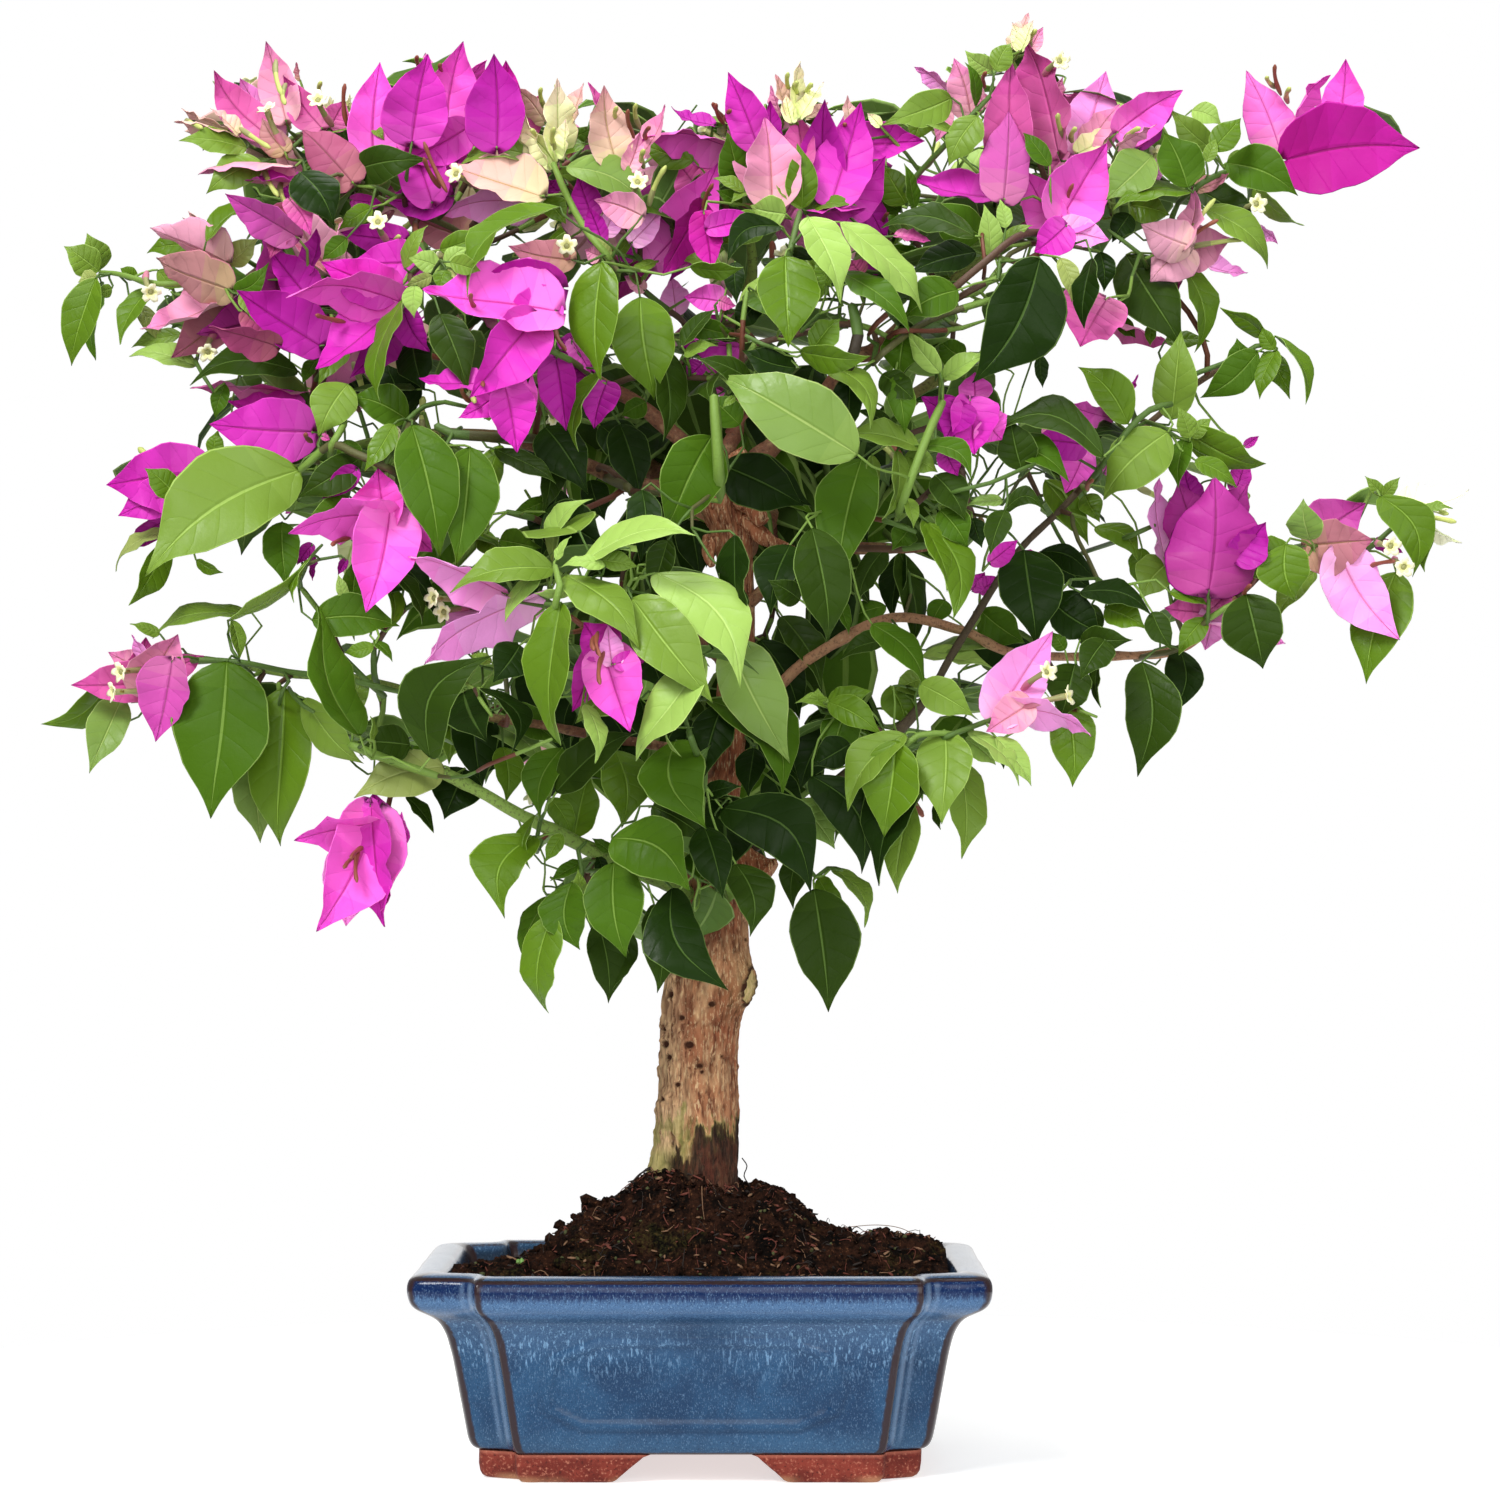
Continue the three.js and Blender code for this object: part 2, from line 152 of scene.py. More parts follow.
def fbm(p, octaves=4, seed=0):
    p = np.asarray(p, float)
    out, amp = 0, 0.5
    for k in range(octaves):
        out = out + amp * vnoise(p * (2.03 ** k) + 7.1 * k, seed + k)
        amp *= 0.5
    return out


class Bag:
    """Collects faces for one mesh: vertices in millimetres, faces of 3 or 4 corners, a slot and UVs."""

    def __init__(self):
        self.v, self.q, self.qm, self.t, self.tm, self.quv, self.tuv, self.n = [], [], [], [], [], [], [], 0
        self.attr = {}

    def add(self, verts, quads=None, qmat=0, tris=None, tmat=0, uv=None, **attr):
        verts = np.asarray(verts, float).reshape(-1, 3)
        if uv is None:
            uv = np.zeros((len(verts), 2))
        if quads is not None and len(quads):
            quads = np.asarray(quads, int)
            self.q.append(quads + self.n)
            self.qm.append(np.broadcast_to(np.asarray(qmat, int), (len(quads),)))
            self.quv.append(uv[quads])
        if tris is not None and len(tris):
            tris = np.asarray(tris, int)
            self.t.append(tris + self.n)
            self.tm.append(np.broadcast_to(np.asarray(tmat, int), (len(tris),)))
            self.tuv.append(uv[tris])
        for k, a in attr.items():
            self.attr.setdefault(k, []).append((self.n, np.asarray(a, float)))
        self.v.append(verts)
        self.n += len(verts)

    def triangles(self):
        return 2 * sum(len(q) for q in self.q) + sum(len(t) for t in self.t)

    def build(self, name, mats, smooth_faces=True):
        me = bpy.data.meshes.new(name)
        v = metres(np.concatenate(self.v))
        q = np.concatenate(self.q) if self.q else np.zeros((0, 4), int)
        t = np.concatenate(self.t) if self.t else np.zeros((0, 3), int)
        me.vertices.add(len(v))
        me.vertices.foreach_set("co", v.ravel())
        loops = np.concatenate([q.ravel(), t.ravel()])
        me.loops.add(len(loops))
        me.loops.foreach_set("vertex_index", loops.astype(np.int32))
        n = len(q) + len(t)
        me.polygons.add(n)
        start = np.concatenate([4 * np.arange(len(q)), 4 * len(q) + 3 * np.arange(len(t))])
        me.polygons.foreach_set("loop_start", start.astype(np.int32))
        total = np.concatenate([np.full(len(q), 4), np.full(len(t), 3)])
        me.polygons.foreach_set("loop_total", total.astype(np.int32))
        mat = np.concatenate([np.concatenate(self.qm) if self.qm else np.zeros(0, int), np.concatenate(self.tm) if self.tm else np.zeros(0, int)])
        me.polygons.foreach_set("material_index", mat.astype(np.int32))
        me.polygons.foreach_set("use_smooth", np.full(n, smooth_faces))
        uv = np.concatenate(([np.concatenate(self.quv).reshape(-1, 2)] if self.quv else []) + ([np.concatenate(self.tuv).reshape(-1, 2)] if self.tuv else []))
        layer = me.uv_layers.new(name="UVMap")
        layer.data.foreach_set("uv", uv.astype(np.float32).ravel())
        for k, parts in self.attr.items():
            a = np.zeros(len(v), np.float32)
            for at, val in parts:
                a[at : at + len(val)] = val
            me.attributes.new(k, "FLOAT", "POINT").data.foreach_set("value", a)
        me.update(calc_edges=True)
        me.validate(clean_customdata=False)
        ob = bpy.data.objects.new(name, me)
        scene.collection.objects.link(ob)
        for m in mats:
            me.materials.append(m)
        return ob


def grid_quads(rows, cols, wrap=False):
    """Corner numbers of a grid of rows by cols vertices; wrap joins the last column to the first."""
    r = np.arange(rows - 1)[:, None]
    c = np.arange(cols if wrap else cols - 1)[None, :]
    d = (c + 1) % cols
    a, b = r * cols + c, r * cols + d
    return np.stack([a, b, b + cols, a + cols], -1).reshape(-1, 4)


def catmull(points, step):
    """A smooth line through the points, with a vertex about every step."""
    p = np.asarray(points, float)
    p = np.vstack([2 * p[0] - p[1], p, 2 * p[-1] - p[-2]])
    out = []
    for i in range(1, len(p) - 2):
        a, b, c, d = p[i - 1], p[i], p[i + 1], p[i + 2]
        n = max(1, int(round(np.linalg.norm(c - b) / step)))
        t = (np.arange(n) / n)[:, None]
        out.append(0.5 * (2 * b + (c - a) * t + (2 * a - 5 * b + 4 * c - d) * t**2 + (3 * b - a - 3 * c + d) * t**3))
    out.append(p[-2][None])
    return np.concatenate(out)


def frames_along(path):
    """Tangents and two side directions that don't spin."""
    tan = unit(np.gradient(path, axis=0))
    n = np.zeros_like(tan)
    ref = np.array([0.0, 0, 1]) if abs(tan[0][2]) < 0.9 else np.array([1.0, 0, 0])
    n[0] = unit(np.cross(tan[0], ref))
    for i in range(1, len(path)):
        v = n[i - 1] - tan[i] * (n[i - 1] @ tan[i])
        n[i] = unit(v)
    return tan, n, np.cross(tan, n)


def tube(bag, path, radius, mat, sides=6, uv_scale=1.0, bump=None, cap=True, tip=0.35):
    """A closed tube along path, with a radius for each point."""
    path = np.asarray(path, float)
    radius = np.broadcast_to(np.asarray(radius, float), (len(path),))
    tan, a, b = frames_along(path)
    t = 2 * np.pi * np.arange(sides) / sides
    r = radius[:, None] * np.ones(sides)
    if bump is not None:
        r = bump(path, t, r)
    v = path[:, None] + r[..., None] * (np.cos(t)[None, :, None] * a[:, None] + np.sin(t)[None, :, None] * b[:, None])
    rows = len(path)
    along = np.concatenate([[0], np.cumsum(np.linalg.norm(np.diff(path, axis=0), axis=1))])
    uv = np.stack([np.broadcast_to(t / (2 * np.pi), (rows, sides)), np.broadcast_to(along[:, None] * 0.02 * uv_scale, (rows, sides))], -1)
    verts = v.reshape(-1, 3)
    n = len(verts)
    verts = np.vstack([verts, path[:1] - tan[:1] * radius[0] * tip, path[-1:] + tan[-1:] * radius[-1] * tip])
    uv = np.vstack([uv.reshape(-1, 2), [[0.5, 0]], [[0.5, 1]]])
    i = np.arange(sides)
    j = (i + 1) % sides
    tris = np.vstack([np.stack([np.full(sides, n), j, i], -1), np.stack([np.full(sides, n + 1), n - sides + i, n - sides + j], -1)])
    quads = grid_quads(rows, sides, wrap=True)
    if np.ndim(mat) == 1:
        qmat = np.repeat(np.asarray(mat)[: rows - 1], sides)
        tmat = np.concatenate([np.full(sides, mat[0]), np.full(sides, mat[-1])])
    else:
        qmat = tmat = mat
    bag.add(verts, quads, qmat, tris, tmat, uv)


# ---------------------------------------------------------------- material helpers
def new_mat(name):
    m = bpy.data.materials.new(name)
    m.use_nodes = True
    nt = m.node_tree
    nt.nodes.clear()
    out = nt.nodes.new("ShaderNodeOutputMaterial")
    bsdf = nt.nodes.new("ShaderNodeBsdfPrincipled")
    nt.links.new(bsdf.outputs[0], out.inputs[0])
    return m, nt, bsdf


def node(nt, kind, **props):
    n = nt.nodes.new(kind)
    for k, v in props.items():
        if k.startswith("i_"):
            key = k[2:]
            n.inputs[int(key) if key.isdigit() else key.replace("_", " ")].default_value = v
        else:
            setattr(n, k, v)
    return n


def math_node(nt, op, a, b=None, c=None, clamp=False):
    n = nt.nodes.new("ShaderNodeMath")
    n.operation = op
    n.use_clamp = clamp
    for i, v in enumerate((a, b, c)):
        if v is None:
            continue
        if isinstance(v, (int, float)):
            n.inputs[i].default_value = v
        else:
            nt.links.new(v, n.inputs[i])
    return n.outputs[0]


def remap(nt, v, a, b, c=0.0, d=1.0, smoothstep=True):
    n = nt.nodes.new("ShaderNodeMapRange")
    n.interpolation_type = "SMOOTHSTEP" if smoothstep else "LINEAR"
    n.clamp = True
    nt.links.new(v, n.inputs[0])
    for i, x in enumerate((a, b, c, d)):
        n.inputs[i + 1].default_value = x
    return n.outputs[0]


def mix(nt, f, a, b):
    n = nt.nodes.new("ShaderNodeMix")
    n.data_type = "RGBA"
    for sock, v in ((n.inputs[0], f), (n.inputs[6], a), (n.inputs[7], b)):
        if isinstance(v, (int, float, tuple)):
            sock.default_value = v
        else:
            nt.links.new(v, sock)
    return n.outputs[2]


def noise_tex(nt, vec, scale, detail=3.0, rough=0.55, dim="3D", distortion=0.0):
    n = nt.nodes.new("ShaderNodeTexNoise")
    n.noise_dimensions = dim
    n.inputs["Scale"].default_value = scale
    n.inputs["Detail"].default_value = detail
    n.inputs["Roughness"].default_value = rough
    n.inputs["Distortion"].default_value = distortion
    nt.links.new(vec, n.inputs["Vector"])
    return n.outputs[0]


def scaled(nt, vec, x, y, z):
    n = nt.nodes.new("ShaderNodeMapping")
    n.inputs["Scale"].default_value = (x, y, z)
    nt.links.new(vec, n.inputs["Vector"])
    return n.outputs[0]


def bump_node(nt, height, strength, distance, under=None):
    n = nt.nodes.new("ShaderNodeBump")
    n.inputs["Strength"].default_value = strength
    n.inputs["Distance"].default_value = distance
    nt.links.new(height, n.inputs["Height"])
    if under is not None:
        nt.links.new(under, n.inputs["Normal"])
    return n.outputs[0]


def attr(nt, name):
    n = nt.nodes.new("ShaderNodeAttribute")
    n.attribute_name = name
    return n.outputs["Fac"]


# ---------------------------------------------------------------- pot
RIM_X, RIM_Y, NOTCH, FLOOR_TOP = 100.4, 74.6, 16.0, 17.0
# height, half length, half width, half of the long panel: the outside from the foot up, then over the rim and down
OUTSIDE = [
    (9.9, 77.0, 52.4, 61.9), (10.3, 78.6, 53.8, 62.9), (11.6, 79.9, 54.9, 63.8), (14, 80.7, 55.5, 64.4), (22, 82.1, 56.7, 65.6), (34, 84.2, 58.4, 67.2),
    (44, 86.0, 60.0, 68.6), (50, 87.5, 61.4, 69.7), (53.6, 89.2, 62.9, 70.8), (56.0, 91.2, 64.7, 72.0), (57.6, 93.6, 66.9, 73.0), (58.8, 96.0, 69.4, 74.2),
    (60.2, 98.2, 71.9, 75.2), (62.2, 99.7, 73.7, 76.0), (65.0, 100.3, 74.4, 76.4), (68.4, RIM_X, RIM_Y, 76.5), (70.4, RIM_X - 0.6, RIM_Y - 0.6, 76.3),
    (71.5, RIM_X - 1.8, RIM_Y - 1.8, 76.0), (72.2, RIM_X - 4.0, RIM_Y - 4.0, 75.2), (72.6, RIM_X - 7.5, RIM_Y - 7.5, 74.2), (72.3, RIM_X - 10.6, RIM_Y - 10.6, 73.2),
    (71.4, RIM_X - 12.4, RIM_Y - 12.4, 72.5), (69.5, RIM_X - 13.4, RIM_Y - 13.4, 72.0), (60, 84.2, 58.2, 69.8), (45, 79.3, 53.9, 66.4), (30, 74.3, 49.7, 63),
]


def outline(hx, hy, a, counts=(86, 8, 5, 12, 4, 5, 50), n=NOTCH):
    """Points round the pot at one level, with softened corners."""
    q = np.array([[a, -hy], [a + 1.2, -hy + 0.42 * n], [a + 4.2, -hy + 0.6 * n], [hx - 6, -hy + 0.68 * n], [hx - 1.4, -hy + 0.78 * n], [hx, -hy + n]])
    corner = []
    ctrl = np.vstack([[[a - 2.2, -hy]], q, [[hx, -hy + n + 2.2]]])
    c = ctrl
    for _ in range(3):  # cut the corners three times
        d = np.empty((2 * len(c) - 2, 2))
        d[0::2] = 0.75 * c[:-1] + 0.25 * c[1:]
        d[1::2] = 0.25 * c[:-1] + 0.75 * c[1:]
        c = np.vstack([c[:1], d, c[-1:]])
    front = np.stack([np.linspace(-(a - 2.2), a - 2.2, counts[0]), np.full(counts[0], -hy)], 1)
    side = np.stack([np.full(counts[6], hx), np.linspace(-(hy - n - 2.2), hy - n - 2.2, counts[6])], 1)
    c = c[1:-1]
    ring = [front, c, side, (c * [1, -1])[::-1], (front * [-1, -1]), -c, side * [-1, -1], (c * [-1, 1])[::-1]]
    return np.vstack(ring)


def edge_mask(ring, hx, hy, a, n=NOTCH):
    """Where the glaze runs thin: a band inside each end of the long panel and at the outer corners; and the pale lines
    beside them, partly glaze pooled there and partly a painted highlight along the edges.
    """
    x, y = np.abs(ring[:, 0]), np.abs(ring[:, 1])
    lip = np.exp(-(((x - a + 1.2) / 1.9) ** 2) - ((y - hy) / 2.2) ** 2)
    out = np.exp(-(((x - hx + 1.4) / 2.1) ** 2) - (np.minimum(0, y - (hy - n)) / 1.6) ** 2) * (y < hy - 0.3 * n)
    # pale lines beside the thin edges: glaze pooled there, with a painted highlight along the edge
    pool_and_highlight = np.exp(-(((x - a - 1.6) / 0.9) ** 2)) * (y > hy - 0.5 * n) + 0.6 * np.exp(-(((x - a - 4.6) / 0.7) ** 2)) * (y > hy - 0.75 * n) * (y < hy - 0.3 * n)
    return np.maximum(lip, out), np.clip(pool_and_highlight, 0, 1)


def resample(rows, per):
    out = []
    r = np.array(rows, float)
    r = np.vstack([2 * r[0] - r[1], r, 2 * r[-1] - r[-2]])
    for i in range(1, len(r) - 2):
        n = max(1, int(math.ceil(np.linalg.norm(r[i + 1, :2] - r[i, :2]) / per)))
        for k in range(n):
            t = k / n
            out.append((1 - t) * r[i] + t * r[i + 1])
    out.append(r[-2])
    out = np.array(out)
    for _ in range(2):
        out[1:-1] = 0.25 * out[:-2] + 0.5 * out[1:-1] + 0.25 * out[2:]
    return out


def frame_line(x, z):
    """Depth of the plain raised frame on the long panel: a flat bar with slanted ends."""
    d = np.full(np.shape(x), 9.0)
    pts = [(-52, 26.0), (-40, 20.2), (34, 20.2), (46, 25.4), (49, 33), (45, 44), (30, 49.5), (-34, 49.5), (-50, 43), (-53, 33), (-52, 26.0)]
    for (x0, z0), (x1, z1) in zip(pts[:-1], pts[1:]):
        vx, vz = x1 - x0, z1 - z0
        t = np.clip(((x - x0) * vx + (z - z0) * vz) / (vx * vx + vz * vz), 0, 1)
        d = np.minimum(d, np.hypot(x - x0 - t * vx, z - z0 - t * vz))
    return d


levels = resample(OUTSIDE, 1.5)
pot = Bag()
rings, edges, pools_and_highlights = [], [], []
for z, hx, hy, a in levels:
    ring = outline(hx, hy, a)
    rings.append(np.column_stack([ring, np.full(len(ring), z)]))
    e_, p_ = edge_mask(ring, hx, hy, a)
    edges.append(e_)
    pools_and_highlights.append(p_)
v = np.array(rings)
inside = np.arange(len(levels)) > int(np.argmax(levels[:, 0]))
wob = fbm(v * 0.035, 3, 5)[..., None] * 0.55 + fbm(v * 0.16, 2, 8)[..., None] * 0.12
away = unit(v * [1, 1.25, 0])
v = v + away * wob * np.where(inside, 0.3, 1.0)[:, None, None]
wall = smooth(11, 14, levels[:, 0]) * (1 - smooth(56, 60, levels[:, 0])) * ~inside
on_long = np.abs(v[..., 0]) < 62
line = frame_line(v[..., 0], v[..., 2])
relief = (0.85 * np.exp(-((line / 1.6) ** 2)) - 0.38 * np.exp(-(((line - 2.7) / 1.4) ** 2))) * on_long * wall[:, None]
v[..., 1] += np.sign(v[..., 1]) * relief
h_ = levels[:, 0]
rim_top = np.exp(-(((h_ - 70.9) / 0.75) ** 2)) * (levels[:, 1] > RIM_X - 2.6) * ~inside
rim_top = np.maximum(rim_top, 0.62 * np.exp(-(((h_ - 71.8) / 0.8) ** 2)) * inside)
foot_line = np.exp(-(((h_ - 10.3) / 0.8) ** 2)) * ~inside
on_rim = smooth(57.0, 60.5, h_) * ~inside
thin = np.maximum(np.array(edges) * (1 - 0.25 * on_rim)[:, None], np.maximum(rim_top, 0.8 * foot_line)[:, None])
# the pale lines by the edges, glaze pooled with a painted highlight, kept off the rim and the foot
beside = np.array(pools_and_highlights) * (smooth(11, 16, h_) * (1 - smooth(69, 71, h_)) * ~inside)[:, None]
out_side = (~inside & (h_ < 71.6)).astype(float)
n_ring = v.shape[1]
ones = np.ones(n_ring)
# painted shade: darker in the groove beside the raised frame, most along its lower bar
groove_and_shade = np.exp(-(((line - 2.2) / 0.9) ** 2)) * on_long * wall[:, None] * (0.35 + 0.65 * smooth(34, 24, v[..., 2]))
# inner: the inside of the pot, which the glaze darkens as painted shade
pot.add(
    v.reshape(-1, 3), grid_quads(len(levels), n_ring, wrap=True), 0,
    thin=thin.ravel(), rim=(out_side[:, None] * ones).ravel(), pool_and_highlight=beside.ravel(), groove_and_shade=groove_and_shade.ravel(), inner=(smooth(71.9, 68.5, h_) * inside)[:, None].repeat(n_ring, 1).ravel(),
)
# floor inside and underside
for k, z, up in ((len(levels) - 1, 30.0, True), (0, 9.9, False)):
    ring = v[k]
    steps = [0.8, 0.5, 0.2]
    stack = [ring] + [np.column_stack([ring[:, :2] * s, np.full(n_ring, ring[:, 2].mean() + (0.5 if not up else 0))]) for s in steps]
    st = np.array(stack)
    q = grid_quads(len(st), n_ring, wrap=True)
    centre = len(st) * n_ring
    tri = np.stack([(len(st) - 1) * n_ring + np.arange(n_ring), (len(st) - 1) * n_ring + (np.arange(n_ring) + 1) % n_ring, np.full(n_ring, centre)], -1)
    if not up:
        q, tri = q[:, ::-1], tri[:, ::-1]
    # the inside floor takes inner at full, so the glaze paints it in shade
    pot.add(np.vstack([st.reshape(-1, 3), [[0, 0, st[-1, 0, 2]]]]), q, 0 if up else 1, tri, 0 if up else 1, inner=np.ones(centre + 1))


def glaze_material():
    m, nt, b = new_mat("glaze")
    tc = nt.nodes.new("ShaderNodeTexCoord")
    pos = tc.outputs["Object"]
    fine = noise_tex(nt, scaled(nt, pos, 1, 1, 0.6), 3000, 2, 0.6)
    speck = noise_tex(nt, scaled(nt, pos, 1, 1, 0.42), 2400, 3, 0.7)
    streak = noise_tex(nt, scaled(nt, pos, 1, 1, 0.17), 1150, 3, 0.6, distortion=0.3)
    cloud = noise_tex(nt, pos, 42, 4, 0.55, distortion=0.6)
    big = noise_tex(nt, pos, 16, 2, 0.5)
    xyz = nt.nodes.new("ShaderNodeSeparateXYZ")
    nt.links.new(pos, xyz.inputs[0])
    z = xyz.outputs[2]
    ragged_z = math_node(nt, "ADD", z, math_node(nt, "MULTIPLY", math_node(nt, "SUBTRACT", streak, 0.5), 0.006))
    outer = attr(nt, "rim")
    base = mix(nt, remap(nt, cloud, 0.36, 0.66), srgb(18, 50, 82), srgb(31, 69, 103))
    # paler where it gathers under the rim and towards the foot, with short runs downwards
    gather = math_node(nt, "MULTIPLY", remap(nt, ragged_z, 0.0400, 0.0540), remap(nt, big, 0.34, 0.62))
    base = mix(nt, math_node(nt, "MULTIPLY", gather, 0.62), base, srgb(70, 100, 136))
    base = mix(nt, math_node(nt, "MULTIPLY", remap(nt, ragged_z, 0.022, 0.012), 0.35), base, srgb(62, 94, 122))
    runs = math_node(nt, "MULTIPLY", remap(nt, streak, 0.54, 0.66), math_node(nt, "MULTIPLY", remap(nt, z, 0.033, 0.046), remap(nt, big, 0.36, 0.6)))
    base = mix(nt, math_node(nt, "MULTIPLY", runs, 0.85), base, srgb(112, 150, 184))
    # the rim: deep above, paler where the glaze gathers along its lower edge, and below that a darker line, which is
    # painted shade under the rim
    band = math_node(nt, "MULTIPLY", remap(nt, ragged_z, 0.0630, 0.0655), outer)
    base = mix(nt, band, base, srgb(8, 31, 72))
    swell = math_node(nt, "MULTIPLY", remap(nt, ragged_z, 0.0575, 0.0600), remap(nt, ragged_z, 0.0668, 0.0628))
    base = mix(nt, math_node(nt, "MULTIPLY", math_node(nt, "MULTIPLY", swell, outer), 0.8), base, srgb(70, 103, 142))
    # painted shade: a darker line just under the rim's roll
    line_ = math_node(nt, "MULTIPLY", remap(nt, z, 0.0555, 0.0568), remap(nt, z, 0.0588, 0.0575))
    base = mix(nt, math_node(nt, "MULTIPLY", math_node(nt, "MULTIPLY", line_, outer), 0.5), base, srgb(40, 64, 92))
    # pale lines by the edges: pooled glaze with a painted highlight
    base = mix(nt, math_node(nt, "MULTIPLY", attr(nt, "pool_and_highlight"), 0.6), base, srgb(120, 146, 176))
    dots = math_node(nt, "MULTIPLY", remap(nt, speck, 0.54, 0.68), math_node(nt, "ADD", 0.40, math_node(nt, "MULTIPLY", math_node(nt, "MULTIPLY", swell, outer), 0.3)))
    base = mix(nt, dots, base, srgb(118, 152, 184))
    dark = math_node(nt, "MULTIPLY", remap(nt, fine, 0.44, 0.34), 0.6)
    base = mix(nt, dark, base, srgb(14, 36, 66))
    # painted shade in the frame's groove
    base = mix(nt, math_node(nt, "MULTIPLY", attr(nt, "groove_and_shade"), 0.55), base, srgb(20, 44, 72))
    # painted shade: the inside of the pot darker
    inner = attr(nt, "inner")
    base = mix(nt, math_node(nt, "MULTIPLY", inner, 0.8), base, srgb(22, 30, 40))
    ragged = math_node(nt, "ADD", attr(nt, "thin"), math_node(nt, "MULTIPLY", math_node(nt, "SUBTRACT", noise_tex(nt, scaled(nt, pos, 1, 1, 0.5), 700, 3, 0.6), 0.5), 0.5))
    edge = remap(nt, ragged, 0.36, 0.72)
    base = mix(nt, math_node(nt, "MULTIPLY", edge, 0.93), base, srgb(46, 30, 28))
    nt.links.new(base, b.inputs["Base Color"])
    nt.links.new(remap(nt, fine, 0.3, 0.7, 0.10, 0.20, False), b.inputs["Roughness"])
    # glossier over the top of the rim
    top = math_node(nt, "MULTIPLY", remap(nt, z, 0.0700, 0.0718), math_node(nt, "SUBTRACT", 1.0, inner))
    nt.links.new(math_node(nt, "MULTIPLY", top, 0.42), b.inputs["Coat Weight"])
    b.inputs["Coat Roughness"].default_value = 0.10
    b.inputs["Coat IOR"].default_value = 1.8
    b.inputs["IOR"].default_value = 1.42
    b.inputs["Specular IOR Level"].default_value = 0.30
    wavy = math_node(nt, "ADD", math_node(nt, "MULTIPLY", cloud, 1.0), math_node(nt, "MULTIPLY", fine, 0.10))
    nt.links.new(bump_node(nt, wavy, 0.35, 0.0009), b.inputs["Normal"])
    return m


def clay_material(name="clay"):
    m, nt, b = new_mat(name)
    tc = nt.nodes.new("ShaderNodeTexCoord")
    pos = tc.outputs["Object"]
    a = noise_tex(nt, pos, 90, 5, 0.6)
    g = noise_tex(nt, pos, 900, 3, 0.6)
    big = noise_tex(nt, pos, 30, 2, 0.5)
    base = mix(nt, remap(nt, a, 0.35, 0.65), srgb(92, 30, 22), srgb(122, 48, 36))
    base = mix(nt, math_node(nt, "MULTIPLY", remap(nt, g, 0.55, 0.68), 0.7), base, srgb(172, 108, 86))
    base = mix(nt, math_node(nt, "MULTIPLY", remap(nt, g, 0.42, 0.32), 0.7), base, srgb(58, 20, 16))
    xyz = nt.nodes.new("ShaderNodeSeparateXYZ")
    nt.links.new(pos, xyz.inputs[0])
    low = math_node(nt, "MULTIPLY", remap(nt, xyz.outputs[2], 0.0035, 0.0006), remap(nt, big, 0.45, 0.62))
    base = mix(nt, math_node(nt, "MULTIPLY", low, 0.7), base, srgb(176, 132, 96))
    top = math_node(nt, "MULTIPLY", remap(nt, xyz.outputs[2], 0.0084, 0.0096), 0.5)
    base = mix(nt, top, base, srgb(168, 100, 80))
    nt.links.new(base, b.inputs["Base Color"])
    b.inputs["Roughness"].default_value = 0.82
    b.inputs["Specular IOR Level"].default_value = 0.25
    nt.links.new(bump_node(nt, math_node(nt, "ADD", g, a), 0.5, 0.0004), b.inputs["Normal"])
    return m


GLAZE, CLAY = glaze_material(), clay_material()
pot_ob = pot.build("pot_glazed", [GLAZE, CLAY])
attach(pot_ob, "root")
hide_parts("pot")


